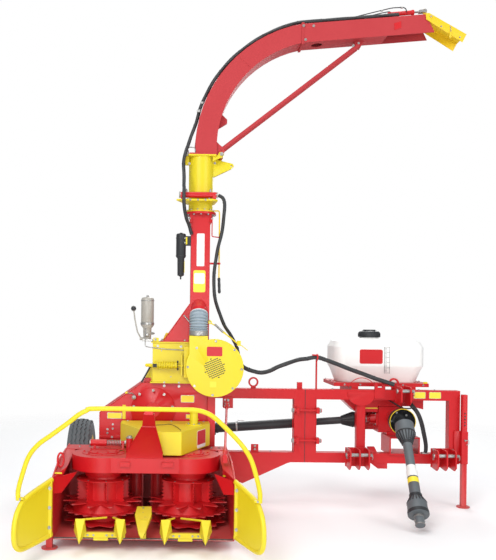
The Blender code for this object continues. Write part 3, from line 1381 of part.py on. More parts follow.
def chassis_frame():
    top = block((-0.140, SEAM_X - SEAM_GAP / 2), (BEAM_FRONT, BEAM_BACK), (TOP_BEAM_LOW, TOP_BEAM_TOP))
    shapes = [
        block((-0.640, SEAM_X - SEAM_GAP / 2), (BEAM_FRONT, BEAM_BACK), (LOW_BEAM_LOW, LOW_BEAM_TOP)),
        block((POST_LEFT, SEAM_X - SEAM_GAP / 2), (BEAM_FRONT, BEAM_BACK), (LOW_BEAM_LOW, TOP_BEAM_TOP)),
        prism(GUSSET, "y", BEAM_FRONT - 0.010, BEAM_BACK + 0.010),
        block((0.470, 0.556), (BEAM_FRONT - 0.065, BEAM_FRONT + 0.01), (0.845, 0.930)),
        ring_eye(0.742, (BEAM_FRONT + BEAM_BACK) / 2, 1.062, TOP_BEAM_TOP - 0.01),
        block((SEAM_X - 0.070, SEAM_X - 0.026), (BEAM_FRONT + 0.02, BEAM_FRONT + 0.05), (TOP_BEAM_TOP - 0.01, 1.066)),
        block((0.724, 0.790), (BEAM_FRONT + 0.01, BEAM_FRONT + 0.02), (LOW_BEAM_TOP - 0.01, 0.520)),
    ]
    for x, low, high in ((-0.130, TOP_BEAM_LOW, TOP_BEAM_TOP), (0.270, TOP_BEAM_LOW, TOP_BEAM_TOP), (-0.480, LOW_BEAM_LOW, LOW_BEAM_TOP), (0.110, LOW_BEAM_LOW, LOW_BEAM_TOP)):
        shapes.append(block((x, x + 0.080), (HOUSING_BACK + SEAT, BEAM_FRONT + 0.01), (low, high)))
    bores = []
    for low, high in FOLD_LUGS:
        shapes.append(fold_lug(-1, low, high))
        bores.append(rod((SEAM_X, HITCH_FOLD_Y, low - 0.01), (SEAM_X, HITCH_FOLD_Y, high + 0.01), FOLD_BORE, 14))
    for z in CLAMPS:
        shapes.append(clamp_lug(SEAM_X - 0.085, SEAM_X - 0.060, z))
        shapes.append(rod((SEAM_X - 0.118, BEAM_FRONT - 0.034, z), (SEAM_X - 0.080, BEAM_FRONT - 0.034, z), 0.018, 6))
    return cut(joined(top, *shapes), *bores)


piece("chassis_frame", chassis_frame(), "harvester", "red")

# Support wheel: arm, axle, rim and tyre

ARM_LEFT = WHEEL_X + TYRE_WIDTH / 2 + 0.018
ARM_RIGHT = ARM_LEFT + 0.040


def wheel_arm():
    outline = (
        (BEAM_BACK + SEAT, LOW_BEAM_LOW),
        (BEAM_BACK + SEAT, LOW_BEAM_TOP),
        (WHEEL_Y - 0.04, 0.420),
        (WHEEL_Y + 0.045, 0.375),
        (WHEEL_Y + 0.045, 0.300),
        (WHEEL_Y - 0.04, 0.290),
    )
    arm = prism(outline, "x", ARM_LEFT, ARM_RIGHT)
    foot = block((ARM_LEFT, -0.500), (BEAM_BACK + SEAT, BEAM_BACK + 0.016), (LOW_BEAM_LOW, LOW_BEAM_TOP))
    axle = rod((ARM_LEFT + 0.01, WHEEL_Y, TYRE_RADIUS), (WHEEL_X - 0.030, WHEEL_Y, TYRE_RADIUS), 0.020, 16)
    return joined(arm, foot, axle)


def wheel_rim():
    half = TYRE_WIDTH / 2
    profile = (
        (0.0203 + SEAT, -0.045),
        (0.045, -0.045),
        (0.045, -0.012),
        (0.150, -0.008),
        (RIM_RADIUS - 0.020, -half + 0.030),
        (RIM_RADIUS, -half + 0.012),
        (RIM_RADIUS - 0.006 - SEAT, -half + 0.034),
        (RIM_RADIUS - 0.006 - SEAT, half - 0.034),
        (RIM_RADIUS, half - 0.012),
        (RIM_RADIUS - 0.020, half - 0.030),
        (0.150, 0.004),
        (0.045, 0.004),
        (0.045, 0.045),
        (0.0203 + SEAT, 0.045),
    )
    return turned(profile, (WHEEL_X, WHEEL_Y, TYRE_RADIUS), "x", 42)


def tyre():
    half = TYRE_WIDTH / 2
    profile = (
        (RIM_RADIUS - 0.006, -half + 0.040),
        (RIM_RADIUS + 0.004, -half + 0.014),
        (RIM_RADIUS + 0.060, -half),
        (TYRE_RADIUS - 0.040, -half + 0.008),
        (TYRE_RADIUS - 0.012, -half + 0.030),
        (TYRE_RADIUS, 0.0),
        (TYRE_RADIUS - 0.012, half - 0.030),
        (TYRE_RADIUS - 0.040, half - 0.008),
        (RIM_RADIUS + 0.060, half),
        (RIM_RADIUS + 0.004, half - 0.014),
        (RIM_RADIUS - 0.006, half - 0.040),
    )
    return turned(profile, (WHEEL_X, WHEEL_Y, TYRE_RADIUS), "x", 42)


piece("wheel_arm", wheel_arm(), "harvester", "red")
piece("wheel_rim", wheel_rim(), "wheel", "red")
piece("tyre", tyre(), "wheel", "tyre")

# Lift rod from the header's right cheek back to the chassis


def lift_rod():
    low, high = Vector((0.408, 0.270, 0.620)), Vector((0.500, BEAM_FRONT - 0.085, 0.880))
    step = (high - low).normalized()
    bar = rod(low + 0.03 * step, high - 0.03 * step, 0.010, 10)
    shapes = []
    for at, hand in ((low, 1), (high, -1)):
        shapes.append(rod(at, at + hand * 0.10 * step, 0.017, 10))
    shapes.append(block((0.392, 0.424), (0.255, 0.300), (0.5745, 0.632)))
    shapes.append(block((0.485, 0.515), (BEAM_FRONT - 0.110, BEAM_FRONT - 0.065 - SEAT), (0.865, 0.900)))
    return joined(bar, *shapes)


piece("lift_rod", lift_rod(), "harvester", "red")

# Cross shaft: its outer tube rides on the machine, its inner tube and joint on the hitch frame


def on_cross(x):
    share = (x - CROSS_LEFT.x) / (CROSS_RIGHT.x - CROSS_LEFT.x)
    return CROSS_LEFT.lerp(CROSS_RIGHT, share)


def cross_shaft_outer():
    bell = rod(CROSS_LEFT, on_cross(0.420), 0.062, 20)
    tube = rod(on_cross(0.410), on_cross(SEAM_X - 0.006), 0.0425, 18)
    return joined(bell, tube)


def cross_shaft_inner():
    tube = rod(on_cross(SEAM_X - 0.001), on_cross(1.560), 0.032, 16)
    cone = rod(on_cross(1.550), on_cross(1.660), 0.036, 18, 0.066)
    bell = rod(on_cross(1.655), on_cross(1.760), 0.066, 18)
    return joined(tube, cone, bell)


piece("cross_shaft_outer", cross_shaft_outer(), "harvester", "black")
piece("cross_shaft_inner", cross_shaft_inner(), "hitch", "black")

# Hitch frame: beams and posts right of the seam, fold lugs and the gearbox's open box

HITCH_LEFT = SEAM_X + SEAM_GAP / 2
MIDDLE_POST = (1.650, 1.722)
BOX_STAND = (1.930, 2.195)
BOX_STAND_TOP = 0.600


def hitch_frame():
    end = FRAME_END_X
    top = block((HITCH_LEFT, end), (BEAM_FRONT, BEAM_BACK), (TOP_BEAM_LOW, TOP_BEAM_TOP))
    shapes = [
        block((HITCH_LEFT, end), (BEAM_FRONT, BEAM_BACK), (LOW_BEAM_LOW, LOW_BEAM_TOP)),
        block((HITCH_LEFT, HITCH_LEFT + POST_WIDTH), (BEAM_FRONT, BEAM_BACK), (LOW_BEAM_LOW, TOP_BEAM_TOP)),
        block(MIDDLE_POST, (BEAM_FRONT + 0.008, BEAM_BACK - 0.008), (LOW_BEAM_LOW, TOP_BEAM_TOP)),
        block((end - POST_WIDTH, end), (BEAM_FRONT, BEAM_BACK), (LOW_BEAM_LOW, TOP_BEAM_TOP)),
        ring_eye(1.985, BEAM_BACK - 0.030, 1.066, TOP_BEAM_TOP - 0.01),
    ]
    half_disc = [(1.686 + a, z) for a, z in arc((0.0, 0.990), 0.124, 180, 360, 12)]
    shapes.append(prism(half_disc, "y", BEAM_FRONT - 0.008, BEAM_FRONT + 0.010))
    notch = block((1.800, 1.892), (BEAM_FRONT - 0.012, BEAM_FRONT + 0.01), (0.935, 1.075))
    slot = block((1.826, 1.866), (BEAM_FRONT - 0.03, BEAM_FRONT + 0.03), (1.030, 1.10))
    shapes.append(cut(notch, slot))
    box = block(BOX_STAND, (BEAM_FRONT - 0.030, BEAM_BACK + 0.160), (LOW_BEAM_TOP - 0.01, BOX_STAND_TOP))
    tunnel = block((BOX_STAND[0] + 0.012, BOX_STAND[1] - 0.012), (BEAM_FRONT - 0.05, BEAM_BACK + 0.20), (LOW_BEAM_TOP + 0.003, BOX_STAND_TOP - 0.012))
    shapes.append(cut(box, tunnel))
    tab = ((1.746, 0.508), (1.812, 0.508), (1.842, LOW_BEAM_TOP - 0.004), (1.772, LOW_BEAM_TOP - 0.004))
    shapes.append(prism(tab, "y", BEAM_FRONT + 0.030, BEAM_FRONT + 0.042))
    step = ((1.770, LOW_BEAM_LOW + 0.005), (1.838, 0.319), (1.921, 0.319), (1.921, LOW_BEAM_LOW + 0.005))
    shapes.append(prism(step, "y", BEAM_FRONT + 0.004, BEAM_FRONT + 0.060))
    bores = []
    for low, high in FOLD_LUGS:
        lift = high - low + SEAT
        shapes.append(fold_lug(1, low + lift, high + lift))
        shapes.append(rod((SEAM_X, HITCH_FOLD_Y, low - 0.014), (SEAM_X, HITCH_FOLD_Y, high + lift), FOLD_PIN, 14))
    bolt_y = BEAM_FRONT - 0.034
    for z in CLAMPS:
        shapes.append(clamp_lug(SEAM_X + 0.090, SEAM_X + 0.115, z))
        shapes.append(rod((SEAM_X - 0.060 + SEAT, bolt_y, z), (SEAM_X + 0.130, bolt_y, z), 0.0085, 10))
        shapes.append(rod((SEAM_X + 0.115, bolt_y, z), (SEAM_X + 0.136, bolt_y, z), 0.018, 6))
    lug = block((FRAME_END_X - 0.055, STAND_X), (STAND_Y + LEG_WIDTH / 2 + 0.004, BEAM_FRONT + 0.01), (SLEEVE_LOW, SLEEVE_TOP))
    shapes += [sleeve(STAND_X, STAND_Y, SLEEVE_LOW, SLEEVE_TOP, SLIDE_GAP), lug]
    return joined(top, *shapes)


piece("hitch_frame", hitch_frame(), "hitch", "red")

# Three-point hitch ears and their pins


def link_ears(middles, pin_z, low, high, back):
    shapes = []
    outline = ((EAR_FRONT, pin_z + 0.024), (EAR_FRONT, low + 0.030), (EAR_FRONT + 0.040, low), (back, low + 0.010), (back, high), (EAR_FRONT + 0.020, high))
    for x in middles:
        shapes.append(prism(outline, "x", x - PLATE / 2, x + PLATE / 2))
    pad = block((middles[0] - 0.012, middles[-1] + 0.012), (back - 0.012, back), (low + 0.010, high))
    pin_y = EAR_FRONT + 0.034
    pin = rod((middles[0] - 0.030, pin_y, pin_z), (middles[-1] + 0.030, pin_y, pin_z), LINK_PIN_RADIUS, 14)
    return joined(pad, pin, *shapes)


EAR_BACK = BEAM_FRONT - SEAT
for name, middles, pin_z, low, high in (
    ("lower_link_ears_left", LOWER_EARS[:3], LOWER_PIN_Z, 0.330, 0.505),
    ("lower_link_ears_right", LOWER_EARS[3:], LOWER_PIN_Z, 0.330, 0.505),
    ("top_link_ears", UPPER_EARS, UPPER_PIN_Z, 0.890, 1.048),
):
    piece(name, link_ears(middles, pin_z, low, high, EAR_BACK), "hitch", "red")

# Hitch gearbox with the guard round the tractor shaft's joint


def hitch_gearbox():
    x, z = PTO_PIVOT.x, PTO_PIVOT.z
    case = block((x - 0.130, x + 0.090), HITCH_GEARBOX_Y, (BOX_STAND_TOP + 0.020, 0.850))
    foot = block((BOX_STAND[0] + 0.01, x + 0.120), (HITCH_GEARBOX_Y[0] - 0.02, BEAM_BACK + 0.150), (BOX_STAND_TOP + SEAT, BOX_STAND_TOP + 0.030))
    nose = rod((x, HITCH_GEARBOX_Y[0] + 0.01, z), (x, GUARD_BACK, z), 0.062, 20)
    drive = rod((x, GUARD_BACK + 0.005, z), (x, PTO_PIVOT.y + 0.030 + 2 * SEAT, z), 0.020, 14)
    side = rod((x - 0.120, CROSS_Y, on_cross(1.88).z), on_cross(CROSS_RIGHT.x + 0.03), 0.045, 16)
    stub = rod(on_cross(CROSS_RIGHT.x + 0.04), on_cross(1.7605), 0.028, 14)
    return joined(case, foot, nose, drive, side, stub)


def pto_guard():
    y1 = GUARD_BACK - SEAT
    y0 = GUARD_BACK - 0.115
    profile = (
        (0.058, y1),
        (0.104, y1 - 0.030),
        (GUARD_RADIUS, y0),
        (GUARD_RADIUS - 0.004, y0),
        (0.100, y1 - 0.034),
        (0.040, y1 - 0.008),
        (0.040, y1),
    )
    return turned(profile, (PTO_PIVOT.x, 0, PTO_PIVOT.z), "y", 28)


def along_pto(distance):
    return PTO_PIVOT + distance * (PTO_END - PTO_PIVOT).normalized()


PTO_STATIONS = (  # distance from the joint, radius
    (0.018, 0.040),
    (0.026, 0.078),
    (0.130, 0.080),
    (0.205, 0.046),
    (0.215, 0.037),
    (0.500, 0.037),
    (0.502, 0.043),
    (0.740, 0.043),
    (0.800, 0.076),
    (0.905, 0.080),
    (0.906, 0.045),
)


BALL_RADIUS = 0.030
BALL_PROFILE = [(BALL_RADIUS * math.sin(math.radians(30 * i)), -BALL_RADIUS * math.cos(math.radians(30 * i))) for i in range(7)]
BALL_PROFILE[0] = (0.0, -BALL_RADIUS)
BALL_PROFILE[6] = (0.0, BALL_RADIUS)


def pto_shaft():
    first, second = across((PTO_END - PTO_PIVOT).normalized())
    rings = [ring_at(along_pto(at), first, second, radius, 20) for at, radius in PTO_STATIONS]
    length = (PTO_END - PTO_PIVOT).length
    yoke = rod(along_pto(0.900), along_pto(length - 0.010), 0.036, 14)
    ball = turned(BALL_PROFILE, PTO_PIVOT, "y", 14)
    return joined(lofted(rings), yoke, ball)


piece("hitch_gearbox", hitch_gearbox(), "hitch", "red")
piece("pto_guard", pto_guard(), "hitch", "black")
piece("pto_shaft", pto_shaft(), "pto", "black")

# Additive tank on its cradle, with a screwed lid

CRADLE_TOP = TANK_LOW - SEAT
TANK_CORNERS = 6
TROUGH = (  # the pressed channel under the tray, in X and Z
    (1.553, 0.968),
    (1.553, 0.905),
    (1.662, 0.804),
    (1.858, 0.804),
    (1.858, 0.858),
    (2.150, 0.858),
    (2.262, 0.832),
    (2.262, 0.968),
)


def rounded_ring(x, y, z, inset, radius):
    """A rectangle with rounded corners at one height."""
    x0, x1, y0, y1 = x[0] + inset, x[1] - inset, y[0] + inset, y[1] - inset
    points = []
    for cx, cy, start in ((x1 - radius, y1 - radius, 0), (x0 + radius, y1 - radius, 90), (x0 + radius, y0 + radius, 180), (x1 - radius, y0 + radius, 270)):
        points += [(a, b, z) for a, b in arc((cx, cy), radius, start, start + 90, TANK_CORNERS)]
    return points


def tank():
    x, y = (TANK_LEFT, TANK_RIGHT), (TANK_FRONT, TANK_BACK)
    middle_y = (TANK_FRONT + TANK_BACK) / 2
    rings = []
    for z, inset in ((TANK_LOW, 0.055), (1.170, 0.020), (1.210, 0.0), (1.380, 0.0), (1.430, 0.025), (TANK_TOP, 0.090)):
        rings.append(rounded_ring(x, y, z, inset, 0.095))
    neck = rod((CAP_X, middle_y, TANK_TOP - 0.01), (CAP_X, middle_y, TANK_TOP + 0.010), 0.075, 24)
    return joined(lofted(rings), neck)


def tank_cap():
    middle_y = (TANK_FRONT + TANK_BACK) / 2
    low = TANK_TOP + 0.010 + SEAT
    profile = ((0.0, low), (0.098, low), (0.098, low + 0.035), (0.088, low + 0.052), (0.0, low + 0.060))
    return turned(profile, (CAP_X, middle_y, 0), "z", 28)


def tank_cradle():
    tray = block((TANK_LEFT - 0.015, TANK_RIGHT + 0.020), (TANK_FRONT - 0.020, TANK_BACK + 0.010), (1.030, CRADLE_TOP))
    shapes = []
    for x in (1.620, 2.130):
        shapes.append(block((x, x + 0.060), (BEAM_BACK + SEAT, TANK_BACK), (0.965, 1.034)))
        shapes.append(block((x, x + 0.060), (BEAM_BACK + SEAT, BEAM_BACK + 0.016), (TOP_BEAM_LOW, 1.0)))
    shapes.append(prism(TROUGH, "y", BEAM_BACK + 0.010, BEAM_BACK + 0.220))
    shapes.append(block((1.655, 1.722), (BEAM_BACK + 0.012, BEAM_BACK + 0.018), (0.668, 0.812)))
    shapes.append(block((1.655, 1.850), (BEAM_BACK + 0.012, BEAM_BACK + 0.052), (0.668, 0.674)))
    return joined(tray, *shapes)


piece("tank", tank(), "hitch", "white")
piece("tank_cap", tank_cap(), "cap", "black")
piece("tank_cradle", tank_cradle(), "hitch", "red")

# Parking stands: a leg with a round foot in a sleeve, on the hitch frame and on the header


def stand_leg(x, y, top):
    foot = turned(((0.0, 0.0), (FOOT_RADIUS, 0.0), (FOOT_RADIUS, 0.010), (0.0, 0.010)), (x, y, 0), "z", 24)
    leg = block((x - LEG_WIDTH / 2, x + LEG_WIDTH / 2), (y - LEG_WIDTH / 2, y + LEG_WIDTH / 2), (0.005, top))
    return joined(foot, leg)


piece("stand_leg", stand_leg(STAND_X, STAND_Y, STAND_TOP), "stand", "red")
piece("header_foot", stand_leg(FOOT_X, FOOT_Y, FOOT_LEG_TOP), "foot", "red")

# Hoses

CURVE_HOSE = 0.030
FRAME_HOSE = 0.040

HOSE_Y = MAST_Y - 0.060
FRAME_HOSE_Y = BEAM_FRONT - 0.015
HOSE_RIDE = CURVE_HOSE / 2 + 0.0112  # over the joint's flanges
HOSE_CLIP = CURVE_HOSE / 2 + 0.0027  # along the curve
BOOM_PASS = Vector((0.130, MAST_Y - 0.080, 3.016))  # where the hose leaves the boom for the turret
BOOM_PASS_STEP = Vector((-0.30, -0.20, -0.93)).normalized()
TURRET_PASS = Vector((0.098, MAST_Y - 0.207, 2.656))
TURRET_PASS_STEP = Vector((0.0, -0.15, -0.99)).normalized()


def boom_hose_route():
    points = []
    for x in (1.820, 1.600, 1.320, 1.100):
        share = (x - BOOM_JOINT_X) / (MOUTH_TOP_X - BOOM_JOINT_X)
        points.append((x, HOSE_Y, FAR_TOP_Z[0] + share * (FAR_TOP_Z[1] - FAR_TOP_Z[0]) + HOSE_RIDE))
    for angle, lift in ((103, HOSE_RIDE), (112, 0.021), (122, HOSE_CLIP), (134, HOSE_CLIP), (146, HOSE_CLIP), (158, HOSE_CLIP), (168, HOSE_CLIP)):
        x, z = arc(OUTER_ARC[:2], OUTER_ARC[2] + lift, angle, angle, 1)[0]
        points.append((x, HOSE_Y, z))
    return [*points, BOOM_PASS - 0.060 * BOOM_PASS_STEP, BOOM_PASS]


hose("boom_hose", boom_hose_route(), CURVE_HOSE, "boom")
hose(
    "turret_hose",
    [
        BOOM_PASS + 0.0005 * BOOM_PASS_STEP,
        BOOM_PASS + 0.060 * BOOM_PASS_STEP,
        (0.094, MAST_Y - 0.130, 2.860),
        TURRET_PASS - 0.070 * TURRET_PASS_STEP,
        TURRET_PASS,
    ],
    CURVE_HOSE,
    "turret",
)
hose(
    "mast_hose_left",
    [
        TURRET_PASS + 0.0005 * TURRET_PASS_STEP,
        TURRET_PASS + 0.070 * TURRET_PASS_STEP,
        (0.102, MAST_Y - 0.215, 2.500),
        (0.116, MAST_Y - 0.180, 2.420),
        (0.145, MAST_Y - 0.112, 2.360),
        (0.165, MAST_Y - 0.094, 2.290),
    ],
    CURVE_HOSE,
    "harvester",
)
hose(
    "mast_hose_long",
    [
        (0.373, RAM_Y, 2.600),
        (0.412, RAM_Y, 2.572),
        (0.425, RAM_Y + 0.010, 2.500),
        (0.408, RAM_Y + 0.020, 2.320),
        (0.368, RAM_Y + 0.040, 2.130),
        (0.350, RAM_Y + 0.060, 1.950),
        (0.362, RAM_Y + 0.080, 1.780),
        (0.430, RAM_Y + 0.130, 1.590),
        (0.500, RAM_Y + 0.180, 1.480),
        (0.560, RAM_Y + 0.280, 1.380),
        (0.585, RAM_Y + 0.360, 1.290),
    ],
    CURVE_HOSE,
    "harvester",
)
hose(
    "frame_hose_left",
    [
        (0.586, RAM_Y + 0.364, 1.286),
        (0.612, BEAM_FRONT - 0.130, 1.225),
        (0.660, BEAM_FRONT - 0.045, 1.190),
        (0.735, FRAME_HOSE_Y, 1.160),
        (0.806, FRAME_HOSE_Y, 1.150),
        (0.880, FRAME_HOSE_Y, 1.168),
        (0.955, FRAME_HOSE_Y, 1.203),
        (1.105, FRAME_HOSE_Y, 1.2605),
        (SEAM_X - 0.0005, FRAME_HOSE_Y, 1.2745),
    ],
    FRAME_HOSE,
    "harvester",
)
hose(
    "frame_hose_right",
    [
        (SEAM_X + 0.0005, FRAME_HOSE_Y, 1.2747),
        (1.288, FRAME_HOSE_Y, 1.2888),
        (1.380, FRAME_HOSE_Y, 1.264),
        (1.469, FRAME_HOSE_Y, 1.230),
        (1.711, BEAM_FRONT - 0.018, 1.142),
        (1.840, BEAM_FRONT - 0.028, 1.098),
        (1.960, BEAM_FRONT - 0.045, 1.060),
    ],
    FRAME_HOSE,
    "hitch",
)
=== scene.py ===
import json
import math
import random

import bmesh
import bpy
from mathutils import Matrix, Vector


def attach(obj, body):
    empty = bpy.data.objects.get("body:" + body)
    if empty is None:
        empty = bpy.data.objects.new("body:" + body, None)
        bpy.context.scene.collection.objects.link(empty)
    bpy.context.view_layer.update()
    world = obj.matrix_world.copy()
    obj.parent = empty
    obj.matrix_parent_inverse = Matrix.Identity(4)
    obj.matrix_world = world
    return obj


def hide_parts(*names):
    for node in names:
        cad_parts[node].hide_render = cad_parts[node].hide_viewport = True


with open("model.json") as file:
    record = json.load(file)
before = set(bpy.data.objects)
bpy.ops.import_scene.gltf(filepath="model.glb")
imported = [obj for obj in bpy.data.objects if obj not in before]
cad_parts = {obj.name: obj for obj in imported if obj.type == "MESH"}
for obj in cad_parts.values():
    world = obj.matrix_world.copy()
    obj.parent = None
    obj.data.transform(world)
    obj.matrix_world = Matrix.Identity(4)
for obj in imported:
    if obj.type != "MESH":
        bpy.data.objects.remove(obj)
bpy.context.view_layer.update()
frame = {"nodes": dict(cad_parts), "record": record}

# Studio
# A pale floor under soft light, seen from the standing height of a person in front of the header.
# The machine's drawing has Y = 0 at the front of the header; the frame's origin lies under its middle.

CENTRE = Vector((0.81875, 0.87275, 0.0))


def at(x, y, z):
    """A place in the drawing's coordinates, as the frame has it."""
    return Vector((x, y, z)) - CENTRE


class Term:
    """A socket of a node tree that can stand in sums and products."""

    def __init__(self, graph, socket):
        self.graph = graph
        self.socket = socket

    def _math(self, operation, *terms):
        return self.graph.node("ShaderNodeMath", {"operation": operation}, dict(enumerate(terms)))

    def __add__(self, other):
        return self._math("ADD", self, other)

    __radd__ = __add__

    def __sub__(self, other):
        return self._math("SUBTRACT", self, other)

    def __rsub__(self, other):
        return self._math("SUBTRACT", other, self)

    def __mul__(self, other):
        return self._math("MULTIPLY", self, other)

    __rmul__ = __mul__

    def __truediv__(self, other):
        return self._math("DIVIDE", self, other)

    def __gt__(self, other):
        return self._math("GREATER_THAN", self, other)

    def clipped(self):
        """The value kept between 0 and 1."""
        return self.graph.node("ShaderNodeClamp", None, {"Value": self})


class Graph:
    """A node tree written as expressions."""

    def __init__(self, tree):
        self.tree = tree

    def node(self, kind, settings=None, sockets=None, output=0):
        made = self.tree.nodes.new(kind)
        for name, value in (settings or {}).items():
            if name == "stops":
                ramp = made.color_ramp
                for i, (place, level) in enumerate(value):
                    stop = ramp.elements[i] if i < 2 else ramp.elements.new(place)
                    stop.position = place
                    stop.color = (level, level, level, 1.0)
            else:
                setattr(made, name, value)
        for name, value in (sockets or {}).items():
            if isinstance(value, list):
                for term in value:
                    self.tree.links.new(term.socket, made.inputs[name])
            elif isinstance(value, Term):
                self.tree.links.new(value.socket, made.inputs[name])
            else:
                made.inputs[name].default_value = value
        return Term(self, made.outputs[output])


class Finish(Graph):
    """A material whose colour, roughness and relief are worked out from the place on the machine."""

    def __init__(self, name, **fixed):
        self.material = bpy.data.materials.new(name)
        self.material.use_nodes = True
        super().__init__(self.material.node_tree)
        self.shader = self.tree.nodes["Principled BSDF"]
        for socket, value in fixed.items():
            self.shader.inputs[socket.replace("_", " ")].default_value = value
        self.place = self.node("ShaderNodeTexCoord", output=3)

    def noise(self, scale, detail=3.0, roughness=0.5, where=None):
        sockets = {"Vector": where or self.place, "Scale": scale, "Detail": detail, "Roughness": roughness}
        return self.node("ShaderNodeTexNoise", None, sockets)

    def ramp(self, value, *stops):
        return self.node("ShaderNodeValToRGB", {"stops": stops}, {0: value})

    def mix(self, share, one, other):
        return self.node("ShaderNodeMix", {"data_type": "RGBA"}, {0: share, 6: one, 7: other}, 2)

    def axis(self, which, source=None):
        """One coordinate of the place, or of another vector."""
        return self.node("ShaderNodeSeparateXYZ", None, {0: source or self.place}, "XYZ".index(which))

    def relief(self, height, strength, distance):
        sockets = {"Height": height, "Strength": strength, "Distance": distance}
        self.feed("Normal", self.node("ShaderNodeBump", None, sockets))

    def feed(self, socket, value):
        self.tree.links.new(value.socket, self.shader.inputs[socket])


def floor_finish():
    """Pale floor that thins out far from the machine, so that it meets the air without an edge."""
    finish = Finish("studio_floor", Roughness=0.7, Specular_IOR_Level=0.1)
    tone = 0.93 + 0.02 * finish.noise(1.3)
    finish.feed("Base Color", finish.mix(tone, (0, 0, 0, 1), (1.0, 1.0, 1.0, 1)))
    finish.relief(finish.noise(60.0), 0.05, 0.002)
    reach = finish.node("ShaderNodeVectorMath", {"operation": "LENGTH"}, {0: finish.place}, 1)
    finish.feed("Alpha", finish.ramp(reach / 10.0, (0.30, 1.0), (0.75, 0.0)))
    return finish.material


floor_mesh = bpy.data.meshes.new("studio_floor")
floor_mesh.from_pydata([(-12, -12, 0), (12, -12, 0), (12, 12, 0), (-12, 12, 0)], [], [(0, 1, 2, 3)])
floor_mesh.materials.append(floor_finish())
studio_floor = bpy.data.objects.new("studio_floor", floor_mesh)
studio_floor.location = (0, 0, -0.0008)
bpy.context.scene.collection.objects.link(studio_floor)

FOCAL_PIXELS = 770.0
FRAME_WIDTH, FRAME_HEIGHT = 496, 560
AXIS_U, AXIS_V = 170.0, 320.0
EYE = at(0.0, -5.290, 1.600)
ROLL = math.radians(0.7)

camera_data = bpy.data.cameras.new("studio_camera")
camera_data.sensor_fit = "HORIZONTAL"
camera_data.sensor_width = 36.0
camera_data.lens = 36.0 * FOCAL_PIXELS / FRAME_WIDTH
camera_data.shift_x = (FRAME_WIDTH / 2 - AXIS_U) / FRAME_WIDTH
camera_data.shift_y = (AXIS_V - FRAME_HEIGHT / 2) / FRAME_WIDTH
camera_data.clip_end = 200
camera = bpy.data.objects.new("studio_camera", camera_data)
bpy.context.scene.collection.objects.link(camera)
camera.matrix_world = (
    Matrix.Translation(EYE) @ Matrix.Rotation(math.radians(90), 4, "X") @ Matrix.Rotation(ROLL, 4, "Z")
)
bpy.context.scene.camera = camera

LAMPS = (  # name, place, aim, width, power
    ("key", (-3.0, -6.0, 6.0), (0.4, 0.3, 1.5), 3.5, 370),
    ("fill", (6.0, -5.0, 4.0), (0.8, 0.3, 1.6), 4.5, 225),
    ("front", (-0.4, -6.6, 1.1), (0.0, 0.2, 0.7), 3.0, 150),
    ("top", (0.5, 1.0, 9.0), (0.5, 0.6, 1.0), 5.0, 265),
    ("rear", (2.0, 7.5, 5.0), (0.5, 0.8, 1.5), 4.0, 240),
)
for name, place, aim, width, power in LAMPS:
    lamp = bpy.data.lights.new("lamp_" + name, "AREA")
    lamp.size = width
    lamp.energy = power
    holder = bpy.data.objects.new("lamp_" + name, lamp)
    holder.location = at(*place)
    holder.rotation_euler = (at(*aim) - at(*place)).to_track_quat("-Z", "Y").to_euler()
    bpy.context.scene.collection.objects.link(holder)

studio_air = bpy.data.worlds.new("studio_air")
studio_air.use_nodes = True
air = Graph(studio_air.node_tree)
seen = air.node("ShaderNodeLightPath")
backdrop = air.node("ShaderNodeBackground", None, {"Color": (1.0, 1.0, 1.0, 1.0), "Strength": 1.0})
sky = air.node("ShaderNodeBackground", None, {"Color": (0.93, 0.96, 1.0, 1.0), "Strength": 0.42})
both = air.node("ShaderNodeMixShader", None, {0: seen, 1: sky, 2: backdrop})
studio_air.node_tree.links.new(both.socket, studio_air.node_tree.nodes["World Output"].inputs["Surface"])
bpy.context.scene.world = studio_air
bpy.context.scene.view_settings.view_transform = "Standard"

# Hoses
# Hydraulic lines bundled in black woven sleeves, held by ties, with the routes that the CAD gives them.
# Each sleeve is a lobed tube swept along its route; it ends at the joint where the next one takes over.


def smooth_route(points, spacing):
    """Evenly spaced points on a smooth curve through the route's own points."""
    points = [Vector(point) for point in points]
    ends = [2 * points[0] - points[1], *points, 2 * points[-1] - points[-2]]
    dense = []
    for p0, p1, p2, p3 in zip(ends, ends[1:], ends[2:], ends[3:]):
        for i in range(24):
            t = i / 24
            bend = (2 * p0 - 5 * p1 + 4 * p2 - p3) * t**2 + (3 * p1 - p0 - 3 * p2 + p3) * t**3
            dense.append(0.5 * (2 * p1 + (p2 - p0) * t + bend))
    dense.append(points[-1])
    lengths = [0.0]
    for a, b in zip(dense, dense[1:]):
        lengths.append(lengths[-1] + (b - a).length)
    count = max(2, round(lengths[-1] / spacing))
    route, step = [], 0
    for i in range(count + 1):
        wanted = lengths[-1] * i / count
        while step < len(dense) - 2 and lengths[step + 1] < wanted:
            step += 1
        share = (wanted - lengths[step]) / max(lengths[step + 1] - lengths[step], 1e-9)
        route.append(dense[step].lerp(dense[step + 1], min(share, 1.0)))
    return route


def across(direction):
    """Two unit vectors at right angles to a direction and to each other."""
    side = Vector((0, 0, 1)) if abs(direction.z) < 0.9 else Vector((0, 1, 0))
    first = direction.cross(side).normalized()
    return first, direction.cross(first).normalized()


def mesh_from(name, points, faces, sharp=32):
    """A smooth mesh with its faces turned outwards and its edges sharp past an angle."""
    sketch = bmesh.new()
    placed = [sketch.verts.new(point) for point in points]
    for face in faces:
        sketch.faces.new([placed[i] for i in face])
    bmesh.ops.recalc_face_normals(sketch, faces=sketch.faces)
    mesh = bpy.data.meshes.new(name)
    sketch.to_mesh(mesh)
    sketch.free()
    mesh.shade_smooth()
    mesh.set_sharp_from_angle(angle=math.radians(sharp))
    return mesh


OWNER = {node: body for body, nodes in frame["record"]["behaviour"]["bodies"].items() for node in nodes}


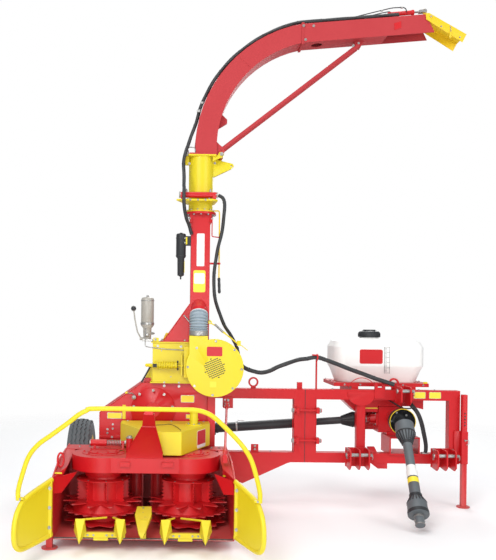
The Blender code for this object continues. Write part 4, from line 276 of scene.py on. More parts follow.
def dress(name, mesh, finish, slot, instead_of=()):
    """A finished mesh as a piece on the body of its slot's node, with its material and what it stands for."""
    mesh.materials.clear()
    mesh.materials.append(finish)
    mesh.polygons.foreach_set("material_index", [0] * len(mesh.polygons))
    piece = bpy.data.objects.new(name, mesh)
    bpy.context.scene.collection.objects.link(piece)
    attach(piece, OWNER[slot])
    if instead_of:
        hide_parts(*instead_of)
    return piece


def sweep(route, radius, sides=16):
    """Points and faces of a tube; its radius is one value, or follows from the distance and the angle."""
    route = [Vector(point) for point in route]
    steps = [(b - a).normalized() for a, b in zip(route, route[1:])]
    first, second = across(steps[0])
    points, faces, travelled = [], [], 0.0
    for i, point in enumerate(route):
        before, after = steps[max(i - 1, 0)], steps[min(i, len(steps) - 1)]
        if i:
            travelled += (point - route[i - 1]).length
        turn = before.rotation_difference((before + after).normalized())
        one, two = turn @ first, turn @ second
        for k in range(sides):
            angle = 2 * math.pi * k / sides
            wall = radius(travelled, angle) if callable(radius) else radius
            points.append(point + wall * (math.cos(angle) * one + math.sin(angle) * two))
        turn = before.rotation_difference(after)
        first, second = turn @ first, turn @ second
    for i in range(len(route) - 1):
        for k in range(sides):
            n = (k + 1) % sides
            faces.append((i * sides + k, i * sides + n, (i + 1) * sides + n, (i + 1) * sides + k))
    faces.append(tuple(range(sides)))
    faces.append(tuple(range(len(points) - sides, len(points))))
    return points, faces


def circle(centre, radius, degrees, plane, *facing):
    """Places on a circle in a plane of the drawing, each with its facing and size if they are given."""
    first, second = ("xyz".index(axis) for axis in plane)
    places = []
    for angle in degrees:
        place = list(centre)
        place[first] += radius * math.cos(math.radians(angle))
        place[second] += radius * math.sin(math.radians(angle))
        places.append((*place, *facing))
    return places


def gathered(name, parts, sharp=32):
    """One mesh from several closed parts, each a list of points and a list of faces."""
    points, faces = [], []
    for part_points, part_faces in parts:
        base = len(points)
        points += part_points
        faces += [tuple(base + i for i in face) for face in part_faces]
    return mesh_from(name, points, faces, sharp=sharp)


def hose_finish():
    """Black woven sleeve, dulled here and there by dust."""
    finish = Finish("hose_sleeve", Specular_IOR_Level=0.5)
    weave = finish.node("ShaderNodeTexWave", {"wave_type": "BANDS", "bands_direction": "DIAGONAL"},
                        {"Vector": finish.place, "Scale": 55.0, "Distortion": 3.0, "Detail": 2.0})
    dull = finish.noise(9.0, 4.0)
    finish.feed("Base Color", finish.mix(dull, (0.010, 0.011, 0.012, 1), (0.040, 0.043, 0.046, 1)))
    finish.feed("Roughness", 0.34 + 0.3 * dull)
    finish.relief(weave + 2.0 * finish.noise(38.0, 2.0), 0.5, 0.0012)
    return finish.material


hose_black = hose_finish()
tie_random = random.Random(7)
HOSE, FRAME_HOSE = 0.030, 0.040
MAST_X, MAST_Y = 0.239, 1.000
HOSE_Y = MAST_Y - 0.060
SEAM_X = 1.196
RAM_Y = MAST_Y - 0.150
TURRET_TOP_PASS = Vector((0.130, MAST_Y - 0.080, 3.016))
TURRET_TOP_STEP = Vector((-0.30, -0.20, -0.93)).normalized()
TURRET_LOW_PASS = Vector((0.098, MAST_Y - 0.207, 2.656))
TURRET_LOW_STEP = Vector((0.0, -0.15, -0.99)).normalized()


def boom_hose_route():
    """The hose's way along the boom's top, down its curve and to the joint above the turret."""
    ride, clip = HOSE / 2 + 0.0112, HOSE / 2 + 0.0027
    points = []
    for x in (1.820, 1.600, 1.320, 1.100):
        points.append((x, HOSE_Y, 3.997 + (x - 1.042) / (2.030 - 1.042) * 0.089 + ride))
    lifts = ((103, ride), (112, 0.021), (122, clip), (134, clip), (146, clip), (158, clip), (168, clip))
    for angle, lift in lifts:
        reach, turn = 1.045 + lift, math.radians(angle)
        points.append((1.229 + reach * math.cos(turn), HOSE_Y, 2.970 + reach * math.sin(turn)))
    return [*points, TURRET_TOP_PASS - 0.060 * TURRET_TOP_STEP, TURRET_TOP_PASS]


HOSES = (  # node, diameter, number of ties, route
    ("boom_hose", HOSE, 9, boom_hose_route()),
    ("turret_hose", HOSE, 1, [
        TURRET_TOP_PASS + 0.0005 * TURRET_TOP_STEP, TURRET_TOP_PASS + 0.060 * TURRET_TOP_STEP,
        (0.094, MAST_Y - 0.130, 2.860), TURRET_LOW_PASS - 0.070 * TURRET_LOW_STEP, TURRET_LOW_PASS]),
    ("mast_hose_left", HOSE, 1, [
        TURRET_LOW_PASS + 0.0005 * TURRET_LOW_STEP, TURRET_LOW_PASS + 0.070 * TURRET_LOW_STEP,
        (0.102, MAST_Y - 0.215, 2.500), (0.116, MAST_Y - 0.180, 2.420),
        (0.145, MAST_Y - 0.112, 2.360), (0.165, MAST_Y - 0.094, 2.290)]),
    ("mast_hose_long", HOSE, 6, [
        (0.373, RAM_Y, 2.600), (0.412, RAM_Y, 2.572), (0.425, RAM_Y + 0.010, 2.500),
        (0.408, RAM_Y + 0.020, 2.320), (0.368, RAM_Y + 0.040, 2.130), (0.350, RAM_Y + 0.060, 1.950),
        (0.362, RAM_Y + 0.080, 1.780), (0.430, RAM_Y + 0.130, 1.590), (0.500, RAM_Y + 0.180, 1.480),
        (0.560, RAM_Y + 0.280, 1.380), (0.585, RAM_Y + 0.360, 1.290)]),
    ("frame_hose_left", FRAME_HOSE, 2, [
        (0.586, RAM_Y + 0.364, 1.286), (0.612, 1.330, 1.225), (0.660, 1.415, 1.190), (0.735, 1.445, 1.160),
        (0.806, 1.445, 1.150), (0.880, 1.445, 1.168), (0.955, 1.445, 1.203), (1.105, 1.445, 1.2605),
        (SEAM_X - 0.0005, 1.445, 1.2745)]),
    ("frame_hose_right", FRAME_HOSE, 3, [
        (SEAM_X + 0.0005, 1.445, 1.2747), (1.288, 1.445, 1.2888), (1.380, 1.445, 1.264),
        (1.469, 1.445, 1.230), (1.711, 1.442, 1.142), (1.840, 1.432, 1.098), (1.960, 1.415, 1.060)]),
)


def lobed(diameter, twist):
    """The wall of three lines under one sleeve, which turn slowly round each other."""
    def wall(travelled, angle):
        lobe = abs(math.cos(1.5 * (angle - twist * travelled)))
        crease = 0.02 * math.sin(310 * travelled + 3 * angle)
        return diameter / 2 * (0.80 + 0.17 * lobe + crease)
    return wall


def ring_round(route, share, radius, width):
    """A band round a route, at a share of its length."""
    i = min(max(1, round(share * (len(route) - 1))), len(route) - 2)
    step = (route[i + 1] - route[i - 1]).normalized()
    return [route[i] - width / 2 * step, route[i] + width / 2 * step], radius


for name, diameter, ties, points in HOSES:
    route = [point - CENTRE for point in smooth_route(points, 0.010)]
    length = sum((b - a).length for a, b in zip(route, route[1:]))
    sleeve_mesh = gathered(name, [sweep(route, lobed(diameter, 9.0), 18)], 40)
    hose = dress(name + "_sleeve", sleeve_mesh, hose_black, name, [name])
    bands = []
    for i in range(ties):
        share = (i + 0.5 + 0.2 * tie_random.uniform(-1, 1)) / ties
        (low, high), wall = ring_round(route, share, diameter * 0.50, 0.007)
        bands.append(sweep([low, low.lerp(high, 0.5), high], wall, 14))
    tie = dress(name + "_ties", gathered(name + "_ties", bands), hose_black, name)

# Header
# The crop table is welded from 6 mm red sheet: floor, side plates, rear wall with the feed throat, a deck
# and two sloping cheeks. It is sprayed with gloss enamel, which is dusty on top and scuffed low down.


def paint(name, colour, pale, gloss=0.30, dust=0.10, grain=0.10, shine=0.35):
    """Sprayed enamel with dust settled on top, scuffs low down and faint streaks."""
    finish = Finish(name, Specular_IOR_Level=shine, Coat_Weight=0.23 * shine, Coat_Roughness=0.15)
    broad, fine = finish.noise(2.6, 4.0), finish.noise(34.0, 5.0, 0.6)
    streaks = finish.noise(6.0, 6.0, 0.65, finish.node(
        "ShaderNodeVectorMath", {"operation": "MULTIPLY"}, {0: finish.place, 1: (4.0, 4.0, 0.5)}))
    normal = finish.node("ShaderNodeNewGeometry", output=1)
    up = finish.ramp(finish.axis("Z", normal), (0.55, 0.0), (0.98, 1.0))
    low = finish.ramp(finish.axis("Z"), (0.02, 1.0), (0.42, 0.0))
    settled = (up * fine * dust * 2.0 + low * fine * dust * 1.4).clipped()
    chips = finish.ramp(finish.noise(17.0, 9.0, 0.72), (0.655, 0.0), (0.70, 1.0))
    scuffs = (low + 0.12 * finish.ramp(streaks, (0.60, 0.0), (0.72, 1.0))) * chips
    shade = finish.mix((0.7 * broad + 0.3 * streaks).clipped(), (*colour, 1), (*pale, 1))
    dusty = finish.mix(settled, shade, (0.58, 0.50, 0.43, 1))
    finish.feed("Base Color", finish.mix(scuffs * 0.75, dusty, (0.16, 0.14, 0.13, 1)))
    finish.feed("Roughness", (gloss + 0.14 * fine + settled * 0.6 + scuffs * 0.2).clipped())
    finish.feed("Metallic", scuffs * 0.5)
    finish.relief(0.3 * finish.noise(420.0, 1.0) + broad - 0.4 * scuffs, grain, 0.004)
    return finish.material


red_paint = paint("red_enamel", (0.520, 0.006, 0.010), (0.600, 0.010, 0.015))


def eased(piece, width, segments, turn):
    """A small bevel on the piece's edges that turn by more than an angle."""
    ease = piece.modifiers.new("ease", "BEVEL")
    ease.width = width
    ease.segments = segments
    ease.limit_method = "ANGLE"
    ease.angle_limit = math.radians(turn)
    ease.harden_normals = True


def softened(node, finish, width=0.0012, turn=40):
    """The CAD piece with its flats merged and its edges eased, as folded and painted sheet has them."""
    mesh = frame["nodes"][node].data.copy()
    sketch = bmesh.new()
    sketch.from_mesh(mesh)
    bmesh.ops.remove_doubles(sketch, verts=sketch.verts, dist=1e-5)
    bmesh.ops.dissolve_limit(sketch, angle_limit=math.radians(0.6), verts=sketch.verts, edges=sketch.edges)
    sketch.to_mesh(mesh)
    sketch.free()
    mesh.name = node + "_dressed"
    mesh.shade_smooth()
    mesh.set_sharp_from_angle(angle=math.radians(turn - 6))
    eased(dress(node + "_dressed", mesh, finish, node, [node]), width, 1, turn)


def prism(outline, axis, low, high):
    """An outline pushed along an axis; its numbers are the other two axes in X, Y, Z order."""
    order = {"x": (2, 0, 1), "y": (0, 2, 1), "z": (0, 1, 2)}[axis]
    points = [tuple((a, b, along)[i] for i in order) for along in (low, high) for a, b in outline]
    count = len(outline)
    faces = [tuple(range(count)), tuple(range(count, 2 * count))]
    faces += [(i, (i + 1) % count, count + (i + 1) % count, count + i) for i in range(count)]
    return points, faces


def block(x, y, z):
    """A box from three pairs of low and high values."""
    return prism([(x[0], y[0]), (x[1], y[0]), (x[1], y[1]), (x[0], y[1])], "z", *z)


FACINGS = {"front": (0, -1, 0), "back": (0, 1, 0), "left": (-1, 0, 0), "right": (1, 0, 0),
           "up": (0, 0, 1), "down": (0, 0, -1)}


def direction_of(way):
    """A unit direction from its name or from its own numbers."""
    return Vector(FACINGS[way] if isinstance(way, str) else way).normalized()


def turned(profile, centre, way, sides=24):
    """A closed profile of (radius, distance) pairs spun about a line through the centre."""
    direction = direction_of(way)
    first, second = across(direction)
    points, rings = [], []
    for radius, along in profile:
        middle = Vector(centre) + along * direction
        count = 1 if radius == 0 else sides
        rings.append([len(points) + k for k in range(count)])
        for k in range(count):
            angle = 2 * math.pi * k / sides
            points.append(middle + radius * (math.cos(angle) * first + math.sin(angle) * second))
    pairs = list(zip(rings, rings[1:]))
    if profile[0][0] > 0:
        pairs.append((rings[-1], rings[0]))
    faces = []
    for low, high in pairs:
        for k in range(sides):
            n = (k + 1) % sides
            corners = [low[k % len(low)], low[n % len(low)], high[n % len(high)], high[k % len(high)]]
            faces.append(tuple(dict.fromkeys(corners)))
    return points, faces


def collar(inner, outer, low, high, centre, way, sides=24):
    """A ring, or a disc if its inner radius is 0, from a low to a high distance along its line."""
    return turned(((inner, low), (outer, low), (outer, high), (inner, high)), centre, way, sides)


def bar(start, end, radius, sides=14):
    """A plain round bar with its ends slightly turned down."""
    start, end = Vector(start), Vector(end)
    length, turn = (end - start).length, radius * 0.12
    profile = ((0, 0), (radius - turn, 0), (radius, turn), (radius, length - turn),
               (radius - turn, length), (0, length))
    return turned(profile, start, end - start, sides)


def bent(corners, bend, radius, sides=12):
    """A round bar along straight runs, with its corners bent to an even radius."""
    corners = [Vector(corner) for corner in corners]
    route = [corners[0]]
    for before, here, after in zip(corners, corners[1:], corners[2:]):
        reach = min(bend, (here - before).length * 0.45, (after - here).length * 0.45)
        start = here + reach * (before - here).normalized()
        end = here + reach * (after - here).normalized()
        for i in range(6):
            t = i / 5
            route.append((1 - t) ** 2 * start + 2 * t * (1 - t) * here + t**2 * end)
    return sweep([*route, corners[-1]], radius, sides)


def made(name, parts, finish, slot, ease=0.0, instead_of=(), sharp=32):
    """Parts in the drawing's coordinates as one finished piece, with its edges eased if asked."""
    parts = [([Vector(point) - CENTRE for point in points], faces) for points, faces in parts]
    piece = dress(name, gathered(name, parts, sharp), finish, slot, instead_of)
    if ease:
        eased(piece, ease, 2, 38)


def metal(name, dark, light, rough=0.34, bright=0.9, scale=38.0):
    """Bare or plated metal, clouded and stained with grime."""
    finish = Finish(name, Specular_IOR_Level=0.5)
    grime, broad = finish.noise(scale, 6.0, 0.65), finish.noise(5.0, 3.0)
    stain = finish.ramp(grime, (0.46, 0.0), (0.70, 1.0))
    finish.feed("Base Color", finish.mix(stain, finish.mix(broad, (*light, 1), (*dark, 1)), (*dark, 1)))
    finish.feed("Roughness", (rough + 0.30 * stain + 0.08 * broad).clipped())
    finish.feed("Metallic", bright - 0.45 * stain)
    finish.relief(grime + 0.3 * finish.noise(300.0, 1.0), 0.12, 0.0012)
    return finish.material


zinc = metal("zinc_plate", (0.26, 0.255, 0.24), (0.60, 0.595, 0.58))
steel = metal("worn_steel", (0.16, 0.15, 0.14), (0.48, 0.47, 0.46), 0.40, 0.85)
# This dark finish is also laid as painted shade in holes: the header foot's and the parking leg's holes and
# the blower inlet's slots are flat dark discs of it.
dark_steel_and_hole_shade = metal("blackened_steel", (0.020, 0.020, 0.022), (0.075, 0.075, 0.080), 0.45, 0.5)


def tree_for(name, inputs):
    """A geometry tree with named inputs: its graph and the terms of its inputs."""
    tree = bpy.data.node_groups.new(name, "GeometryNodeTree")
    tree.interface.new_socket("Geometry", in_out="INPUT", socket_type="NodeSocketGeometry")
    for label, kind in inputs.items():
        tree.interface.new_socket(label, in_out="INPUT", socket_type="NodeSocket" + kind)
    tree.interface.new_socket("Geometry", in_out="OUTPUT", socket_type="NodeSocketGeometry")
    graph = Graph(tree)
    entry = tree.nodes.new("NodeGroupInput")
    return graph, {label: Term(graph, entry.outputs[label]) for label in ("Geometry", *inputs)}


def closing(graph, shape, material):
    """The tree's last steps: real faces and one material."""
    real = graph.node("GeometryNodeRealizeInstances", None, {"Geometry": shape})
    done = graph.node("GeometryNodeSetMaterial", None, {"Geometry": real, "Material": material})
    leave = graph.tree.nodes.new("NodeGroupOutput")
    graph.tree.links.new(done.socket, leave.inputs[0])


def worked(tree, source, values):
    """The plain mesh that a tree makes from a source, with its inputs set by identifier."""
    holder = bpy.data.objects.new("source", source)
    bpy.context.scene.collection.objects.link(holder)
    step = holder.modifiers.new("tree", "NODES")
    step.node_group = tree
    for item in tree.interface.items_tree:
        if item.in_out == "INPUT" and item.name in values:
            step[item.identifier] = values[item.name]
    mesh = bpy.data.meshes.new_from_object(holder.evaluated_get(bpy.context.evaluated_depsgraph_get()))
    bpy.data.objects.remove(holder, do_unlink=True)
    return mesh


def cylinder_step(graph, sides, radius, depth, lift):
    """A cylinder of the bolt, lifted along its axis."""
    shape = graph.node("GeometryNodeMeshCylinder", None,
                       {"Vertices": sides, "Radius": radius, "Depth": depth})
    shift = graph.node("ShaderNodeCombineXYZ", None, {"Z": lift})
    return graph.node("GeometryNodeTransform", None, {"Geometry": shape, "Translation": shift})


def bolt_tree():
    """A headed bolt on its washer at each point, which looks along the point's facing."""
    graph, given = tree_for("bolts", {"Sides": "Int", "Radius": "Float", "Height": "Float",
                                      "Washer": "Float", "Tip": "Float", "Finish": "Material"})
    radius, height = given["Radius"], given["Height"]
    head = cylinder_step(graph, given["Sides"], radius, height, 0.5 * height + 0.001)
    washer = cylinder_step(graph, 14, radius * given["Washer"], 0.0020, 0.0010)
    tip = cylinder_step(graph, 8, radius * given["Tip"], 0.5 * height, 1.2 * height)
    bolt = graph.node("GeometryNodeJoinGeometry", None, {"Geometry": [head, washer, tip]})
    facing = graph.node("GeometryNodeInputNamedAttribute", {"data_type": "FLOAT_VECTOR"}, {"Name": "facing"})
    size = graph.node("GeometryNodeInputNamedAttribute", {"data_type": "FLOAT"}, {"Name": "size"})
    turn = graph.node("FunctionNodeAlignRotationToVector", {"axis": "Z"}, {"Vector": facing})
    spots = graph.node("GeometryNodeMeshToPoints", None, {"Mesh": given["Geometry"]})
    laid = graph.node("GeometryNodeInstanceOnPoints", None,
                      {"Points": spots, "Instance": bolt, "Rotation": turn, "Scale": size})
    closing(graph, laid, given["Finish"])
    return graph.tree


BOLTS = bolt_tree()


def bolted(name, spots, slot, radius=0.0085, height=0.0065, sides=6, washer=1.3, tip=0.5, finish=zinc):
    """Bolts at (x, y, z, facing) or (x, y, z, facing, size) in the drawing's coordinates."""
    source = bpy.data.meshes.new(name)
    source.from_pydata([at(*spot[:3]) for spot in spots], [], [])
    source.attributes.new("facing", "FLOAT_VECTOR", "POINT").data.foreach_set(
        "vector", [value for spot in spots for value in direction_of(spot[3])])
    source.attributes.new("size", "FLOAT", "POINT").data.foreach_set(
        "value", [spot[4] if len(spot) > 4 else 1.0 for spot in spots])
    mesh = worked(BOLTS, source, {"Sides": sides, "Radius": radius, "Height": height,
                                  "Washer": washer, "Tip": tip, "Finish": finish})
    mesh.shade_flat()
    dress(name, mesh, finish, slot)


def bead_tree():
    """A weld bead along each edge of the source, a little uneven as a hand-held torch leaves it."""
    graph, given = tree_for("beads", {"Radius": "Float", "Spacing": "Float", "Finish": "Material"})
    line = graph.node("GeometryNodeMeshToCurve", None, {"Mesh": given["Geometry"]})
    even = graph.node("GeometryNodeResampleCurve", {"mode": "LENGTH"},
                      {"Curve": line, "Length": given["Spacing"]})
    round_bead = graph.node("GeometryNodeCurvePrimitiveCircle", None,
                            {"Resolution": 6, "Radius": given["Radius"]})
    bead = graph.node("GeometryNodeCurveToMesh", None,
                      {"Curve": even, "Profile Curve": round_bead, "Fill Caps": True})
    wobble = graph.node("ShaderNodeTexNoise", None, {"Scale": 160.0, "Detail": 1.0}, 1)
    centred = graph.node("ShaderNodeVectorMath", {"operation": "SUBTRACT"}, {0: wobble, 1: (0.5, 0.5, 0.5)})
    offset = graph.node("ShaderNodeVectorMath", {"operation": "SCALE"},
                        {0: centred, "Scale": given["Radius"]})
    uneven = graph.node("GeometryNodeSetPosition", None, {"Geometry": bead, "Offset": offset})
    closing(graph, uneven, given["Finish"])
    return graph.tree


BEADS = bead_tree()


def welded(name, lines, slot, radius=0.0035, finish=red_paint):
    """Weld beads along lines of points in the drawing's coordinates."""
    points, edges = [], []
    for line in lines:
        edges += [(len(points) + i, len(points) + i + 1) for i in range(len(line) - 1)]
        points += [at(*point) for point in line]
    source = bpy.data.meshes.new(name)
    source.from_pydata(points, edges, [])
    mesh = worked(BEADS, source, {"Radius": radius, "Spacing": 0.006, "Finish": finish})
    mesh.shade_smooth()
    dress(name, mesh, finish, slot)


LEFT_WALL, RIGHT_WALL = -0.793, 0.457
softened("header_frame", red_paint)
welded("header_welds", [
    [(LEFT_WALL, 0.060, 0.0765), (LEFT_WALL, 0.892, 0.0765)],
    [(RIGHT_WALL, 0.060, 0.0765), (RIGHT_WALL, 0.892, 0.0765)],
    [(LEFT_WALL, 0.8935, 0.0765), (-0.360, 0.8935, 0.0765)],
    [(0.024, 0.8935, 0.0765), (RIGHT_WALL, 0.8935, 0.0765)],
    [(LEFT_WALL, 0.8935, 0.080), (LEFT_WALL, 0.8935, 0.560)],
    [(RIGHT_WALL, 0.8935, 0.080), (RIGHT_WALL, 0.8935, 0.560)],
    [(-0.800, 0.030, 0.505), (-0.800, 0.30, 0.572), (-0.800, 0.70, 0.590)],
    [(0.464, 0.030, 0.505), (0.464, 0.30, 0.572), (0.464, 0.70, 0.590)],
], "header_frame")
bolted("header_bolts", [
    *((x, 0.80, 0.590, "up") for x in (-0.700, -0.620, 0.340, 0.400)),
    *((-0.799, y, 0.30, "left") for y in (0.20, 0.45, 0.70)),
    *((0.463, y, 0.30, "right") for y in (0.20, 0.45, 0.70)),
    *((x, 0.9, z, "back") for x in (-0.68, -0.60) for z in (0.16, 0.44)),
], "header_frame", 0.008)
made("header_brackets", [
    bent([(-0.797, 0.75, 0.520), (-0.850, 0.75, 0.512), (-0.866, 0.75, 0.464), (-0.850, 0.75, 0.416),
          (-0.797, 0.75, 0.408)], 0.030, 0.008),
    block((0.3995, 0.4575), (0.345, 0.353), (0.462, 0.515)),
    block((-0.806, -0.7985), (0.05, 0.11), (0.312, 0.330)),
], red_paint, "header_frame", 0.0015)

link = [(-0.768 + 0.020 * math.cos(math.radians(t)), 0.205 + 0.012 * math.cos(math.radians(t)),
         0.592 + 0.050 * math.sin(math.radians(t))) for t in range(-90, 271, 20)]
made("lifting_link", [sweep(smooth_route(link, 0.006), 0.0075, 12)], red_paint, "header_frame", sharp=60)

# Feed edge and keeper strips
# A hardened strip is riveted along the floor's front edge, where stalks slide in, and two yellow keepers
# hold the header's side locks.

yellow_paint = paint("yellow_enamel", (0.700, 0.555, 0.009), (0.765, 0.632, 0.019), 0.34, 0.05)
made("floor_edge", [
    block((LEFT_WALL + 0.002, RIGHT_WALL - 0.002), (0.046, 0.078), (0.0755, 0.0790)),
], steel, "header_frame", 0.0008)
bolted("floor_edge_rivets", [
    (LEFT_WALL + 0.05 + 0.0885 * i, 0.064, 0.0785, "up") for i in range(14)
], "header_frame", 0.006, 0.0015, 12, 1.1, 0.6, finish=steel)
made("side_keepers", [
    block((-0.868, -0.7985), (0.738, 0.762), (0.376, 0.390)),
    block((0.4005, 0.4575), (0.338, 0.3455), (0.458, 0.470)),
], yellow_paint, "header_frame", 0.0015)

# Gearcase
# A cast and welded beam over the rotors with a lid bolted over each; the hoop's support is a tapering box
# section with a lip, welded to its front. Two bent cheeks stiffen the table's front corners.

LEFT_ROTOR, RIGHT_ROTOR, ROTOR_Y = -0.4855, 0.1495, 0.500
COLLAR_LOW = 0.4353
case_parts = [block((LEFT_ROTOR, RIGHT_ROTOR), (0.262, 0.700), (0.4906, 0.5992)),
              bar((-0.290, 0.460, 0.590), (-0.290, 0.460, 0.715), 0.026, 20)]
for x in (LEFT_ROTOR, RIGHT_ROTOR):
    turn = [math.radians(t) for t in range(0, 360, 8)]
    lobe = [(x + 0.238 * math.cos(t), ROTOR_Y + (0.250 if t > math.pi else 0.200) * math.sin(t))
            for t in turn]
    case_parts.append(prism(lobe, "z", 0.490, 0.600))
    case_parts.append(collar(0, 0.120, 0.590, 0.612, (x, ROTOR_Y, 0), "up", 48))
    case_parts.append(turned(((0, COLLAR_LOW), (0.138, COLLAR_LOW), (0.152, 0.500), (0, 0.500)),
                             (x, ROTOR_Y, 0), "up", 48))
corners, sides = [], [(0, 1, 2, 3), (15, 14, 13, 12)]
for x, half, front, back, z in ((-0.171, 0.134, 0.264, 0.304, 0.590), (-0.171, 0.130, 0.250, 0.302, 0.640),
                                (-0.138, 0.046, 0.030, 0.130, 0.862), (-0.130, 0.036, -0.292, -0.235, 0.986)):
    corners += [Vector((x - half, front, z)), Vector((x + half, front, z)), Vector((x + half, back, z)),
                Vector((x - half, back, z))]
for start in (0, 4, 8):
    sides += [(start + i, start + (i + 1) % 4, start + 4 + (i + 1) % 4, start + 4 + i) for i in range(4)]
case_parts.append((corners, sides))
made("gearcase_beam", case_parts, red_paint, "header_gearcase", 0.0030, ["header_gearcase"], 40)
lid_bolts = []
for x in (LEFT_ROTOR, RIGHT_ROTOR):
    for i in range(8):
        angle = math.radians(22.5 + 45 * i)
        for radius, turn, z in ((0.104, angle, 0.612), (0.146, angle + 0.4, 0.6045)):
            lid_bolts.append((x + radius * math.cos(turn), ROTOR_Y + radius * math.sin(turn), z, "up"))
bolted("gearcase_lid_bolts", lid_bolts, "header_gearcase", 0.0075, 0.006, finish=red_paint)
made("gearcase_lugs", [
    block((-0.350, -0.275), (0.242, 0.263), (0.540, 0.573)),
    block((-0.046, 0.035), (0.242, 0.263), (0.540, 0.573)),
    *(collar(0, 0.163, -0.002, 0.0045, (x, ROTOR_Y, 0.6000), "up", 56) for x in (LEFT_ROTOR, RIGHT_ROTOR)),
], red_paint, "header_gearcase", 0.0015)
made("support_lip", [
    block((-0.187, -0.089), (0.020, 0.036), (0.857, 0.866)),
], red_paint, "header_gearcase", 0.0015)
cheeks = []
for outer_x, inner_x, low_x, top, inner_top, outer_low, low in (
        (-0.7925, -0.650, -0.747, 0.494, 0.505, 0.385, 0.378),
        (0.4565, 0.330, 0.392, 0.486, 0.500, 0.390, 0.378)):
    front = [Vector((outer_x, 0.050, top)), Vector((inner_x, 0.240, inner_top)), Vector((low_x, 0.115, low)),
             Vector((outer_x, 0.050, outer_low))]
    back = [corner + Vector((0, 0.004, 0)) for corner in front]
    rims = [(i, i + 4, (i + 1) % 4 + 4, (i + 1) % 4) for i in range(4)]
    cheeks.append((front + back, [(0, 1, 2, 3), (7, 6, 5, 4), *rims]))
made("corner_cheeks", cheeks, red_paint, "header_frame", 0.0010)
made("gearcase_filler", [
    turned(((0, 0), (0.030, 0), (0.030, 0.006), (0.018, 0.008), (0.018, 0.018), (0, 0.018)),
           (-0.290, 0.46, 0.7145), "up", 6),
], zinc, "header_gearcase", 0.001)
welded("support_welds", [
    [(-0.307, 0.262, 0.6015), (-0.035, 0.262, 0.6015)],
    [(-0.301, 0.250, 0.641), (-0.184, 0.030, 0.863)],
    [(-0.041, 0.250, 0.641), (-0.092, 0.030, 0.863)],
], "header_gearcase")

# Gathering rotors
# Each is three toothed discs and a finned drum, cut from plate and welded; stalks have begun to wear the
# paint off the tips of the teeth.


def rotor_paint(name, centre):
    """Red enamel that is worn towards the rotor's rim."""
    finish = Finish(name, Specular_IOR_Level=0.4)
    level = finish.node("ShaderNodeVectorMath", {"operation": "SUBTRACT"}, {0: finish.place, 1: centre})
    flat = finish.node("ShaderNodeVectorMath", {"operation": "MULTIPLY"}, {0: level, 1: (1, 1, 0)})
    reach = finish.node("ShaderNodeVectorMath", {"operation": "LENGTH"}, {0: flat}, 1)
    grain = finish.noise(26.0, 7.0, 0.65)
    worn = finish.ramp(reach + 0.05 * grain, (0.292, 0.0), (0.322, 1.0))
    shade = finish.mix(finish.noise(4.0), (0.560, 0.010, 0.014, 1), (0.640, 0.016, 0.020, 1))
    bare = finish.mix(grain, (0.20, 0.18, 0.17, 1), (0.50, 0.48, 0.46, 1))
    finish.feed("Base Color", finish.mix(worn * 0.22, shade, bare))
    finish.feed("Roughness", (0.34 + 0.2 * grain).clipped())
    finish.feed("Metallic", worn * 0.12)
    finish.relief(grain, 0.10, 0.002)
    return finish.material


for side, x in (("left", LEFT_ROTOR), ("right", RIGHT_ROTOR)):
    dressing = rotor_paint("rotor_enamel_" + side, at(x, ROTOR_Y, 0.25))
    softened("rotor_" + side, dressing, 0.0009)
    spots = [(x + 0.178 * math.cos(0.2 + 0.785 * i), ROTOR_Y + 0.178 * math.sin(0.2 + 0.785 * i), 0.4135,
              "up", 0.8) for i in range(8)]
    bolted("rotor_bolts_" + side, spots, "rotor_" + side, 0.007, 0.005, finish=steel)

# Feed rollers
# Upright rollers with welded ribs that draw the crop into the chopper, painted like the table.

for side in ("left", "right"):
    softened("feed_roller_" + side, red_paint, 0.0006)

# Crop fingers and centre nose
# Pressed yellow points with thin guide rods, bolted to a bar under the floor's edge; the nose between the
# rotors is folded from sheet.

for side in ("left", "right"):
    softened("crop_fingers_" + side, yellow_paint, 0.0010, 46)
    hand = -1 if side == "left" else 1
    spots = [(-0.168 + hand * 0.291 + dx, 0.065, 0.1045, "up") for dx in (-0.025, 0.025)]
    spots += [(-0.168 + hand * share, -0.0005, 0.116, "front", 0.8) for share in (0.21, 0.25, 0.34, 0.38)]
    bolted("finger_bolts_" + side, spots, "crop_fingers_" + side, 0.007)
softened("centre_nose", yellow_paint, 0.0015)
bolted("nose_bolts", [
    (-0.174, 0.150, 0.2325, (0, -0.25, 0.97), 0.9), (-0.174, 0.205, 0.252, (0, -0.25, 0.97), 0.9),
], "centre_nose", 0.007)

# Dividers
# A 35 mm yellow tube bent round a flat panel, welded to a strip that three bolts hold on the side plate.

